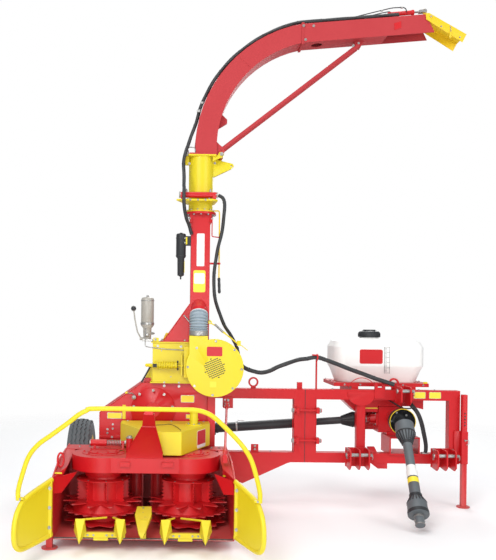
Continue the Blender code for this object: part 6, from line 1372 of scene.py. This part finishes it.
welded("turret_welds", [
    circle((MAST_X, MAST_Y, 2.9235), 0.0995, range(0, 361, 12), "xy"),
    [(0.330, 0.977, 2.776), (0.330, 0.977, 2.915)],
], "turret", 0.003, finish=yellow_paint)

# Boom and strut
# The spout of folded and welded sheet, in a curved part and a straight part bolted together at two flanges.
# A steel strut stiffens it from below, and two black steel pipes run over it to the deflector's ram. The
# paint has faded a little in the sun.

boom_paint = paint("red_enamel_faded", (0.430, 0.040, 0.046), (0.500, 0.060, 0.066), 0.50, 0.08, 0.0, 0.08)
softened("boom_curve", boom_paint, 0.0020, 32)
softened("boom_far", boom_paint, 0.0016)
softened("boom_strut", boom_paint, 0.0010, 50)
BOOM_FRONT, BOOM_BACK = 0.905, 1.095
bolted("boom_bolts", [
    (1.046, 0.8990, 3.978, "front"), (1.127, BOOM_FRONT, 3.980, "front"), (1.063, BOOM_FRONT, 3.869, "front"),
    (1.046, 1.1010, 3.978, "back"), (1.127, BOOM_BACK, 3.980, "back"), (1.063, BOOM_BACK, 3.869, "back"),
    (1.457, 0.9460, 3.8400, "front"), (1.500, 0.9460, 3.8600, "front", 0.8),
    (0.4005, 0.9425, 2.984, "front"), (0.4005, 1.0575, 2.984, "back"),
], "boom_far")
made("boom_hatch", [
    prism([(1.774, 4.008), (1.830, 4.026), (1.832, 3.972), (1.778, 3.954)], "y", BOOM_FRONT - 0.0030,
          BOOM_FRONT + 0.0005),
], red_paint, "boom_far", 0.0008)
welded("boom_seams", [
    [(0.535, BOOM_FRONT - 0.0005, 3.719), (0.618, BOOM_FRONT - 0.0005, 3.646)],
    [(0.535, 1.0955, 3.719), (0.618, 1.0955, 3.646)],
], "boom_curve", 0.0016, finish=boom_paint)
pipe_black = paint("black_enamel", (0.016, 0.017, 0.019), (0.030, 0.032, 0.035), 0.40, 0.10, 0.02)
made("ram_pipes", [
    bent([(1.263, 0.975, 4.026), (1.392, 0.962, 4.058), (1.554, 0.955, 4.098), (1.692, 0.950, 4.132),
          (1.773, 0.950, 4.152), (1.862, 0.950, 4.156), (1.884, 0.955, 4.146), (1.890, 0.965, 4.124)],
         0.030, 0.0042, 8),
    bent([(1.300, 0.995, 4.028), (1.500, 0.990, 4.074), (1.700, 0.985, 4.124), (1.757, 0.982, 4.134),
          (1.770, 0.985, 4.122)], 0.018, 0.0042, 8),
], pipe_black, "boom_far", sharp=50)
made("ram_fittings", [
    collar(0, 0.0085, 0, 0.018, (1.676, 0.951, 4.127), (0.97, 0, 0.23), 6),
    collar(0, 0.0085, 0, 0.018, (1.838, 0.950, 4.1545), (1, 0, 0.05), 6),
], zinc, "boom_far", 0.0006)
made("pipe_clips", [
    block((0.195, 0.222), (0.888, 0.9055), (3.272, 3.292)),
    block((0.222, 0.246), (0.888, 0.9055), (3.340, 3.356)),
], zinc, "boom_far", 0.0012)
made("strut_eyes", [
    *(collar(0, 0.0205, 0, 0.009, (0.4005, y, 2.984), "back", 20) for y in (0.9365, 1.0545)),
], zinc, "boom_strut", 0.0008)

# Deflector
# A folded chute hinged at the boom's mouth. A small hydraulic cylinder tips it; it has the older, deeper
# yellow, with a spring clip on its cheek.

softened("deflector", amber_paint, 0.0015)
softened("deflector_ram_barrel", red_paint, 0.0008, 50)
softened("deflector_ram_rod", steel, 0.0006, 50)
bolted("deflector_bolts", [
    (2.066, 0.8945, 4.062, "front"), (2.066, 1.1055, 4.062, "back"),
    (2.300, 0.8945, 3.900, "front", 0.7), (2.150, 0.8945, 3.985, "front", 0.7),
    (2.300, 1.1055, 3.900, "back", 0.7), (2.150, 1.1055, 3.985, "back", 0.7),
], "deflector", 0.0075)
made("deflector_clip", [
    bent([(2.222, 0.892, 3.990), (2.226, 0.889, 3.950), (2.219, 0.889, 3.906), (2.230, 0.892, 3.896)],
         0.008, 0.0028, 8),
], zinc, "deflector", sharp=40)

# Chassis frame
# Two square beams joined by posts, with the lugs, blocks and rounded gussets that carry the harvester. Its
# right end folds on the upright pin behind the seam, which bolts hold shut; a post beside it guides the hose.

softened("chassis_frame", red_paint, 0.0022)
softened("lift_rod", red_paint, 0.0010, 50)
CLAMPS = (0.826, 0.563)  # heights of the seam's bolts
BEAM_Y = 1.460
bolted("chassis_bolts", [
    *((0.513, 1.395, z, "front") for z in (0.862, 0.912)),
    *((0.485, 1.395, z, "front", 0.7) for z in (0.862, 0.912)),
    *((0.757, BEAM_Y, z, "front", 0.8) for z in (0.478, 0.506)),
    *((x, 1.548, z, "back") for x in (0.560, 0.800, 1.040) for z in (0.944, 0.986)),
    *((x, 1.500, 0.454, "up", 0.9) for x in (0.640, 0.900)),
], "chassis_frame", 0.009)
made("seam_nuts", [
    collar(0, 0.0205, 0, 0.020, (1.092, 1.426, z), "left", 6) for z in CLAMPS
], zinc, "chassis_frame", 0.001)
made("seam_bows", [
    bent([(1.094, 1.444, z + 0.019), (1.120, 1.430, z + 0.016), (1.146, 1.422, z - 0.002),
          (1.128, 1.432, z - 0.018), (1.096, 1.444, z - 0.022)], 0.012, 0.0055, 10) for z in CLAMPS
], red_paint, "chassis_frame", sharp=40)
made("seam_heads", [
    turned(((0, 0), (0.0205, 0), (0.0205, 0.014), (0.014, 0.016), (0, 0.016)), (1.312, 1.426, z), "right",
           6) for z in CLAMPS
], zinc, "hitch_frame", 0.001)
welded("chassis_welds", [
    [(0.470, 1.395, 0.845), (0.556, 1.395, 0.845)],
    [(1.100, BEAM_Y, 0.9200), (1.100, BEAM_Y, 0.4540)],
    [(0.724, BEAM_Y, 0.4545), (0.790, BEAM_Y, 0.4545)],
    [(1.126, BEAM_Y, 1.0085), (1.170, BEAM_Y, 1.0085)],
    [(1.100, 1.548, 0.9200), (1.100, 1.548, 0.4540)],
], "chassis_frame", 0.0034)
made("beam_cap", [block((0.4150, 0.4175), (1.468, 1.540), (0.930, 0.998))], red_paint, "chassis_frame", 0.001)
made("hose_guide", [
    bar((1.290, 1.470, 1.264), (1.290, 1.470, 1.006), 0.0080, 12),
    collar(0.0225, 0.0310, -0.006, 0.006, (1.290, 1.445, 1.2885), (1, 0.0, -0.1), 28),
    bar((1.242, 1.420, 1.312), (1.290, 1.424, 1.308), 0.0060, 10),
], red_paint, "hitch_frame", 0.0006)
# A thin black strip on the front faces along the seam between the two frames: painted shadow standing for the
# dark gap between them.
made("seam_painted_shadow", [
    block((1.1912, 1.1958), (BEAM_Y - 0.0007, BEAM_Y + 0.0005), (0.367, 1.0075)),
], black_plastic, "chassis_frame")
made("lift_rod_ends", [
    collar(0.012, 0.022, -0.018, 0.018, (0.500, 1.368, 0.878), "right", 22),
], zinc, "lift_rod", 0.001)

# Hitch frame
# The swinging half: two beams, a middle post with a half disc, a notched plate, and the tractor's lower and
# upper ears. Black steel pipes run down beside the shaft guard, held to the frame by zinc-plated clips.

softened("hitch_frame", red_paint, 0.0022)
softened("lower_link_ears_left", red_paint, 0.0018)
softened("lower_link_ears_right", red_paint, 0.0018)
softened("top_link_ears", red_paint, 0.0018)
bolted("hitch_bolts", [
    *((x, 1.548, 0.986, "back") for x in (1.40, 1.62, 1.86, 2.10, 2.34)),
    *((x, 1.500, 1.008, "up", 0.9) for x in (1.440, 2.200, 2.340)),
], "hitch_frame", 0.009)
welded("hitch_welds", [
    [(1.650, 1.468, 0.9195), (1.650, 1.468, 0.4545)],
    [(1.722, 1.468, 0.9195), (1.722, 1.468, 0.4545)],
    [(1.291, BEAM_Y, 0.9200), (1.291, BEAM_Y, 0.4540)],
    circle((1.686, 1.452, 0.990), 0.124, range(8, 173, 12), "xz"),
    [(1.930, 1.430, 0.598), (2.195, 1.430, 0.598)],
    [(1.800, 1.448, 0.936), (1.892, 1.448, 0.936)],
], "hitch_frame", 0.0034)
for i, x in enumerate((2.1955, 2.331)):
    blank_plate("beam_plate_%d" % i, (x, BEAM_Y - 0.0006, 0.967), 0.106, 0.060, yellow_film, "hitch_frame")
blank_plate("beam_plate_low", (1.868, 1.4634, 0.346), 0.070, 0.030, red_film, "hitch_frame", red_paint)


def pin(x_low, x_high, y, z, radius=0.0128):
    """What shows of a steel hitch pin: its head, its turned-down end and the lynch pin's bar through it."""
    neck, ring_x = radius + 0.0005, x_high - 0.011
    head = ((0, 0), (radius + 0.007, 0), (radius + 0.007, 0.007), (neck, 0.009), (neck, 0.012), (0, 0.012))
    return [turned(head, (x_low, y, z), "right", 20),
            turned(((0, 0), (neck, 0), (neck, 0.020), (0, 0.022)), (x_high - 0.022, y, z), "right", 20),
            bar((ring_x, y - 0.026, z - 0.010), (ring_x, y + 0.018, z + 0.006), 0.0036, 10)]


def lynch(x, y, z):
    """A lynch pin's spring ring, seen edge-on from the side."""
    route = [(x, y - 0.026 + 0.020 * math.cos(math.radians(turn)),
              z - 0.010 + 0.024 * math.sin(math.radians(turn))) for turn in range(0, 301, 30)]
    return sweep(smooth_route(route, 0.004), 0.0026, 8)


LINK_Y = 1.324
EARS = (("lower_link_ears_left", 1.524, 1.756, 0.460), ("lower_link_ears_right", 2.274, 2.498, 0.460),
        ("top_link_ears", 1.954, 2.106, 1.012))
for node, low, high, z in EARS:
    made(node + "_pins", [*pin(low, high, LINK_Y, z), lynch(high - 0.011, LINK_Y, z)], zinc, node, sharp=40)
SLEEVES = ((1.5665, 0.460, 0.067), (1.6465, 0.460, 0.067), (2.3165, 0.460, 0.063), (2.3925, 0.460, 0.063),
           (1.9965, 1.012, 0.067))
made("link_sleeves", [
    collar(0.0130, 0.0150, 0, length, (x, LINK_Y, z), "right", 26) for x, z, length in SLEEVES
], zinc, "hitch_frame", 0.001)
bolted("ear_bolts", [
    *((x - 0.0061, 1.400, z, "left", 0.9) for x in (1.560, 2.310) for z in (0.420, 0.500)),
    *((x + 0.0061, 1.400, z, "right", 0.9) for x in (1.720, 2.462) for z in (0.420, 0.500)),
], "hitch_frame", 0.009)
BRANCH = (  # x, y and z, and how far a pipe's own shift moves it in x and in y
    (2.080, 1.545, 1.020, 1, 0), (2.108, 1.556, 0.925, 1, 0), (2.128, 1.500, 0.885, 1, 0),
    (2.170, 1.440, 0.820, 1, 1), (2.204, 1.432, 0.735, 1, 1), (2.228, 1.436, 0.640, 1, 1),
    (2.250, 1.446, 0.545, 0.6, 0), (2.254, 1.456, 0.480, 0.5, 0), (2.246, 1.468, 0.4545, 0, 0))
SHORT_BRANCH = ((1.900, 1.545, 0.980), (1.936, 1.552, 0.925), (1.990, 1.470, 0.885), (2.040, 1.440, 0.856),
                (2.100, 1.440, 0.852), (2.140, 1.444, 0.862))
branches = []
for shift in (-0.012, 0.0, 0.012):
    route = [(x + in_x * shift, y + in_y * shift, z) for x, y, z, in_x, in_y in BRANCH]
    branches.append(sweep(smooth_route(route, 0.010), 0.0105, 12))
branches.append(sweep(smooth_route(SHORT_BRANCH, 0.010), 0.0062, 12))
made("branch_clips", [
    block((2.058, 2.106), (1.530, 1.562), (0.990, 1.004)),
    block((2.224, 2.276), (1.452, 1.486), (0.4545, 0.468)),
], zinc, "hitch_frame", 0.0010)
made("branch_pipes", branches, pipe_black, "hitch_frame", sharp=60)

# Support wheel
# One wheel behind the header on a welded arm: a yellow pressed rim on a four-bolt hub with a rubber tyre,
# which has five zigzag ribs.

WHEEL_X, WHEEL_Y, WHEEL_Z = -0.805, 1.840, 0.338
softened("wheel_arm", red_paint, 0.0020)
softened("wheel_rim", yellow_paint, 0.0014, 40)
rubber = moulded("rubber", (0.062, 0.070, 0.075), (0.150, 0.165, 0.172), 0.62, 260.0, 0.20, 0.4)
bolted("wheel_bolts", circle((WHEEL_X - 0.0115, WHEEL_Y, WHEEL_Z), 0.075, (45, 135, 225, 315), "yz", "left"),
       "wheel_rim")


def ring_tree():
    """Copies of the source shape, turned in equal steps round its Z axis."""
    graph, given = tree_for("ring_of_copies", {"Count": "Int", "Finish": "Material"})
    points = graph.node("GeometryNodePoints", None, {"Count": given["Count"]})
    index = graph.node("GeometryNodeInputIndex")
    spin = graph.node("ShaderNodeCombineXYZ", None, {"Z": index * (2 * math.pi) / given["Count"]})
    laid = graph.node("GeometryNodeInstanceOnPoints", None,
                      {"Points": points, "Instance": given["Geometry"], "Rotation": spin})
    closing(graph, laid, given["Finish"])
    return graph.tree


RING = ring_tree()


def slab(stations):
    """A closed bar through stations of (low radius, high radius, first angle, last angle, distance)."""
    points, faces = [], [(3, 2, 1, 0)]
    for low, high, first, last, along in stations:
        for radius, angle in ((low, first), (high, first), (high, last), (low, last)):
            points.append(Vector((radius * math.cos(angle), radius * math.sin(angle), along)))
    for start in range(0, len(points) - 4, 4):
        for side in range(4):
            after = (side + 1) % 4
            faces.append((start + side, start + after, start + after + 4, start + side + 4))
    last_start = len(points) - 4
    faces.append((last_start, last_start + 1, last_start + 2, last_start + 3))
    return points, faces


def ringed(name, bars, count, centre, direction, finish, slot):
    """Bars laid in equal steps round an axis through a point of the drawing."""
    mesh = worked(RING, gathered(name, [slab(stations) for stations in bars]),
                  {"Count": count, "Finish": finish})
    turn = Vector(direction).to_track_quat("Z", "Y").to_matrix().to_4x4()
    mesh.transform(Matrix.Translation(at(*centre)) @ turn)
    mesh.shade_flat()
    dress(name, mesh, finish, slot)


made("tyre_carcass", [
    turned(((0.184, -0.070), (0.194, -0.0955), (0.216, -0.1055), (0.250, -0.1085), (0.290, -0.1015),
            (0.313, -0.080), (0.323, -0.040), (0.3262, 0.0), (0.323, 0.040), (0.313, 0.080), (0.290, 0.1015),
            (0.250, 0.1085), (0.216, 0.1055), (0.194, 0.0955), (0.184, 0.070)),
           (WHEEL_X, WHEEL_Y, WHEEL_Z), "right", 84),
], rubber, "tyre", 0.0015, ["tyre"], 50)


def zigzag_rib(along, half, low, high, waves=34):
    """A band round the tyre whose edges run in a zigzag."""
    points, faces = [], []
    steps = 2 * waves
    for i in range(steps):
        angle = math.pi * i / waves
        shift = 0.0045 * (1 if i % 2 else -1)
        for radius, across_rib in ((low, -half), (high, -half + 0.002), (high, half - 0.002), (low, half)):
            points.append(Vector((WHEEL_X + along + across_rib + shift, WHEEL_Y + radius * math.cos(angle),
                                  WHEEL_Z + radius * math.sin(angle))))
    for i in range(steps):
        after = (i + 1) % steps
        for side in range(4):
            up = (side + 1) % 4
            faces.append((4 * i + side, 4 * i + up, 4 * after + up, 4 * after + side))
    return points, faces


made("tyre_tread", [
    zigzag_rib(0.0, 0.0155, 0.322, 0.3376), zigzag_rib(-0.0385, 0.0140, 0.318, 0.3342),
    zigzag_rib(0.0385, 0.0140, 0.318, 0.3342),
    zigzag_rib(-0.0765, 0.0150, 0.306, 0.3235), zigzag_rib(0.0765, 0.0150, 0.306, 0.3235),
], rubber, "tyre", sharp=30)
made("tyre_beads", [
    turned(((0.228, along * 0.1065), (0.231, along * 0.1096), (0.236, along * 0.1096),
            (0.239, along * 0.1070)), (WHEEL_X, WHEEL_Y, WHEEL_Z), "right", 60) for along in (-1, 1)
], rubber, "tyre", sharp=60)
made("wheel_hub", [
    turned(((0, 0), (0.036, 0), (0.034, -0.014), (0.022, -0.022), (0, -0.024)),
           (WHEEL_X - 0.044, WHEEL_Y, WHEEL_Z), "right", 28),
    turned(((0, 0), (0.006, 0), (0.006, -0.018), (0, -0.020)),
           (WHEEL_X - 0.010, WHEEL_Y + 0.120, WHEEL_Z + 0.020), (1, 0, -0.2), 12),
], zinc, "wheel_rim", 0.0010)
bolted("arm_bolts", [
    (-0.637, WHEEL_Y, WHEEL_Z, "right", 2.0),
    *((-0.637, 1.5 + 0.10 * i, 0.400 + 0.004 * i, "right") for i in (0, 1)),
], "wheel_arm", 0.009)

# Cross shaft
# The drive from the hitch to the chopper, inside black plastic guard tubes with a ribbed cone. A steel band
# and a chain keep the left guard from turning.

softened("cross_shaft_outer", black_plastic, 0.0010, 50)
softened("cross_shaft_inner", black_plastic, 0.0010, 50)
CROSS_X = 0.300
CROSS_LEFT = Vector((CROSS_X, 1.650, 0.623))
CROSS_WAY = Vector((1.470, 0.0, 0.110)).normalized()


def on_cross(x):
    """The point of the cross shaft's axis at an X of the drawing."""
    return CROSS_LEFT + CROSS_WAY * ((x - CROSS_X) / CROSS_WAY.x)


made("shaft_bands", [
    collar(0.0425, 0.0450, 0, 0.014, on_cross(0.602), CROSS_WAY, 30),
    bent([on_cross(0.608) + Vector((0, -0.020, 0.044)), on_cross(0.625) + Vector((0, -0.040, 0.062)),
          on_cross(0.676) + Vector((0, -0.060, 0.060))], 0.012, 0.0024, 8),
], zinc, "cross_shaft_outer", sharp=40)
made("outer_rings", [
    collar(0.0420, 0.0470, 0, 0.020, on_cross(x), CROSS_WAY, 30)
    for x in (0.425, 1.160)
] + [collar(0.061, 0.0655, 0, 0.010, on_cross(x), CROSS_WAY, 34)
     for x in (0.312, 0.345, 0.378)], black_plastic, "cross_shaft_outer", 0.0008)
ringed("cone_ribs", [[(0.030, 0.0405, -0.09, 0.09, 0.0), (0.055, 0.0700, -0.05, 0.05, 0.098)]], 16,
       on_cross(1.556), CROSS_WAY, black_plastic, "cross_shaft_inner")
made("inner_rings", [
    collar(0.0655, 0.0695, 0, 0.008, on_cross(x), CROSS_WAY, 34) for x in (1.662, 1.750)
], black_plastic, "cross_shaft_inner", 0.0008)
made("cross_joint", [
    turned(((0, 0), (0.034, 0), (0.034, 0.012), (0.020, 0.016), (0.020, 0.030), (0, 0.030)),
           on_cross(1.7625), CROSS_WAY, 20),
    bar(on_cross(1.776) + Vector((0, 0, -0.030)), on_cross(1.776) + Vector((0, 0, 0.030)), 0.010, 14),
], steel, "hitch_gearbox", 0.0008)

# Hitch gearbox and shaft guard
# A cast gearbox on the open stand, painted red, with a ribbed neck. A black bowl with a yellow rim guards
# the joint of the tractor shaft.

softened("hitch_gearbox", red_paint, 0.0030)
softened("pto_guard", black_plastic, 0.0010, 46)
PTO_X, PTO_Z = 2.000, 0.753
PTO_PIVOT = Vector((PTO_X, 1.262, PTO_Z))
PTO_WAY = (Vector((1.918, 0.545, 0.055)) - PTO_PIVOT).normalized()
NECK_Y, NECK_Z = 1.650, 0.738
made("gearbox_neck", [
    *(block((1.806, 1.874), (NECK_Y - 0.052, NECK_Y + 0.052), (z - 0.0035, z + 0.0035))
      for z in (NECK_Z - 0.036, NECK_Z + 0.036)),
    block((1.852, 1.8705), (1.592, 1.708), (0.680, 0.796)),
    block((1.875, 2.085), (1.585, 1.795), (0.8495, 0.8555)),
], red_paint, "hitch_gearbox", 0.0018)
bolted("hitch_gearbox_bolts", [
    *((x, y, 0.8555, "up") for x in (1.892, 2.068) for y in (1.602, 1.778)),
    *((x, 1.800, z, "back") for x in (1.895, 2.065) for z in (0.665, 0.825)),
    *((1.852, NECK_Y + a, NECK_Z + b, "left", 0.9) for a in (-0.046, 0.046) for b in (-0.046, 0.046)),
    *((x, 1.600, 0.630, "up", 0.9) for x in (1.955, 2.105)),
], "hitch_gearbox")
made("gearbox_plug", [
    turned(((0, 0), (0.014, 0), (0.014, 0.012), (0.009, 0.014), (0.009, 0.026), (0, 0.028)),
           (1.980, 1.690, 0.855), "up", 6),
], dark_steel_and_hole_shade, "hitch_gearbox", 0.0008)
made("guard_rim", [
    turned(((0.1075, -0.0004), (0.1122, -0.0004), (0.1126, 0.0040), (0.1119, 0.0070)),
           (PTO_X, 1.290, PTO_Z), "back", 56),
], amber_paint, "pto_guard", sharp=60)
made("guard_sleeve", [
    turned(((0.0205, 0), (0.062, 0), (0.062, 0.004), (0.0440, 0.010), (0.0440, 0.030), (0.0205, 0.030)),
           (PTO_X, 1.394, PTO_Z), "front", 32),
], black_plastic, "pto_guard", 0.0010)
bolted("guard_bolts", circle((PTO_X, 1.3790, PTO_Z), 0.074, (40, 112, 184, 256, 328), "xz", "front"),
       "pto_guard", 0.0075)
made("joint_yoke", [
    turned(((0, 0), (0.036, 0), (0.036, 0.022), (0.030, 0.030), (0.030, 0.050), (0, 0.050)),
           (PTO_X, 1.352, PTO_Z), "front", 24),
    *(block((x - 0.006, x + 0.006), (1.296, 1.320), (0.735, 0.771)) for x in (PTO_X - 0.025, PTO_X + 0.025)),
], dark_steel_and_hole_shade, "pto_guard", 0.0012)

# Tractor shaft
# The drive shaft from the tractor, which hangs from its joint. Its guard is grey and black plastic with a
# ribbed collar; a white sleeve with yellow marks is on the tube, and a steel yoke at its low end.

grey_plastic = moulded("grey_plastic", (0.075, 0.086, 0.094), (0.150, 0.168, 0.180), 0.42, 260.0, 0.10, 0.45)
softened("pto_shaft", grey_plastic, 0.0010, 46)


def on_shaft(distance):
    """The point of the tractor shaft's axis at a distance from its joint."""
    return PTO_PIVOT + PTO_WAY * distance


ringed("collar_ribs", [[(0.060, 0.0800, -0.07, 0.07, 0.132), (0.036, 0.0535, -0.10, 0.10, 0.203)]], 18,
       PTO_PIVOT, PTO_WAY, black_plastic, "pto_shaft")
ringed("bell_ribs", [[(0.030, 0.0500, -0.07, 0.07, 0.742), (0.060, 0.0800, -0.05, 0.05, 0.800)]], 18,
       PTO_PIVOT, PTO_WAY, black_plastic, "pto_shaft")
made("shaft_collars", [
    collar(0.0790, 0.0815, 0.120, 0.133, PTO_PIVOT, PTO_WAY, 40),
    turned(((0.0360, 0.206), (0.0475, 0.206), (0.0475, 0.226), (0.0400, 0.232), (0.0360, 0.232)),
           PTO_PIVOT, PTO_WAY, 36),
    collar(0.0420, 0.0500, 0.722, 0.742, PTO_PIVOT, PTO_WAY, 36),
    collar(0.0785, 0.0818, 0.872, 0.900, PTO_PIVOT, PTO_WAY, 40),
], black_plastic, "pto_shaft", 0.0008)
made("shaft_sleeve", [
    turned(((0.0370, 0.455), (0.0380, 0.455), (0.0380, 0.501), (0.0438, 0.503), (0.0438, 0.562),
            (0.0430, 0.562)), PTO_PIVOT, PTO_WAY, 36),
], white_film, "pto_shaft", sharp=40)
made("sleeve_marks", [
    collar(0.0429, 0.0436, 0.574, 0.620, PTO_PIVOT, PTO_WAY, 36),
], yellow_film, "pto_shaft", sharp=40)
yoke_side = PTO_WAY.cross(Vector((0, 1, 0))).normalized()
made("shaft_yoke", [
    turned(((0, 0), (0.0385, 0), (0.0385, 0.016), (0.0370, 0.018), (0, 0.018)), on_shaft(0.908), PTO_WAY, 28),
    collar(0.0150, 0.0385, 0, 0.012, on_shaft(0.981), PTO_WAY, 28),
    bar(on_shaft(0.955) - yoke_side * 0.040, on_shaft(0.955) + yoke_side * 0.040, 0.011, 16),
], steel, "pto_shaft", 0.0008)

# Tank, lid and cradle
# A cream plastic tank for additive, strapped on a red steel tray, with a ribbed black screw lid. A bare red
# plate and a strip with level marks are on its front.

cream = moulded("cream_plastic", (0.830, 0.830, 0.800), (0.900, 0.900, 0.880), 0.40, 200.0, 0.06, 0.35)
softened("tank", cream, 0.0120, 26)
softened("tank_cap", black_plastic, 0.0016, 30)
softened("tank_cradle", red_paint, 0.0018)
TANK_Y = 1.580
LID = (1.835, 1.800)
made("tank_rims", [
    turned(((0.0745, 0), (0.0850, 0), (0.0880, 0.004), (0.0880, 0.008), (0.0745, 0.008)),
           (*LID, 1.4552), "up", 44),
], cream, "tank", 0.0010)
blank_plate("tank_plate", (1.799, TANK_Y - 0.0006, 1.295), 0.206, 0.128, red_paint, "tank", red_paint)
made("level_marks", [
    *(block((1.918, 1.962 if i % 4 == 0 else 1.940), (TANK_Y - 0.0009, TANK_Y + 0.0004),
            (1.150 + 0.0115 * i, 1.1522 + 0.0115 * i)) for i in range(21)),
    *(block((x, x + 0.0022), (TANK_Y - 0.0010, TANK_Y + 0.0004), (1.146, 1.386)) for x in (1.916, 1.962)),
], black_plastic, "tank")
ringed("cap_ribs", [[(0.090, 0.1005, -0.022, 0.022, 0.004), (0.090, 0.1005, -0.022, 0.022, 0.030),
                     (0.084, 0.0950, -0.022, 0.022, 0.044)]], 34, (*LID, 1.4655), (0, 0, 1), black_plastic,
       "tank_cap")
made("cap_grip", [
    collar(0.060, 0.066, 0, 0.004, (*LID, 1.5235), "up", 40),
    block((1.780, 1.890), (1.794, 1.806), (1.5215, 1.5340)),
], black_plastic, "tank_cap", 0.0010)
bolted("cradle_bolts", [
    *((x, y, 1.0612, "up", 0.9) for x in (1.480, 2.298) for y in (1.590, 1.800, 2.005)),
    *((x, 1.560, 1.046, "front", 0.8) for x in (1.560, 1.700, 2.080, 2.260)),
    *((x, 1.558, 0.950, "front", 0.8) for x in (1.590, 2.230)),
], "tank_cradle", 0.008)
made("cradle_mark", [
    block((2.262, 2.298), (1.5600, 1.5750), (1.0615, 1.0760)),
], yellow_paint, "tank_cradle", 0.001)
made("trough_mark", [block((1.742, 1.856), (1.5572, 1.5585), (0.834, 0.842))], yellow_film, "tank_cradle")
made("shield_back", [
    block((1.7225, 1.8685), (1.7390, 1.7430), (0.6250, 0.8035)),
], red_paint, "tank_cradle", 0.001)
welded("cradle_welds", [
    [(1.620, 1.5585, 1.0300), (1.680, 1.5585, 1.0300)],
    [(2.130, 1.5585, 1.0300), (2.190, 1.5585, 1.0300)],
    [(1.553, 1.7685, 0.967), (2.262, 1.7685, 0.967)],
], "tank_cradle")

# Parking leg
# A square leg with a round foot, which slides in a sleeve at the hitch frame's right end. A pin through one
# of its holes holds it.

softened("stand_leg", red_paint, 0.0014)
STAND_X, STAND_Y = 2.572, 1.420
# Each hole is drawn as a flat dark disc on the leg: painted shade standing for the dark inside of the hole.
bolted("leg_hole_shade", [
    *((STAND_X, STAND_Y - 0.0223, 0.716 + 0.0258 * i, "front") for i in range(5)),
    *((STAND_X, STAND_Y + 0.0223, 0.716 + 0.0258 * i, "back") for i in range(5)),
], "stand_leg", 0.0062, 0.0004, 16, 1.05, 0.2, finish=dark_steel_and_hole_shade)
made("leg_pin", [
    bar((STAND_X, STAND_Y - 0.044, 0.586), (STAND_X, STAND_Y + 0.040, 0.586), 0.0080, 16),
    bent([(STAND_X, STAND_Y - 0.038, 0.586), (STAND_X + 0.026, STAND_Y - 0.046, 0.592),
          (STAND_X + 0.030, STAND_Y - 0.046, 0.560), (STAND_X + 0.006, STAND_Y - 0.044, 0.548)],
         0.010, 0.0026, 8),
], zinc, "hitch_frame", sharp=40)
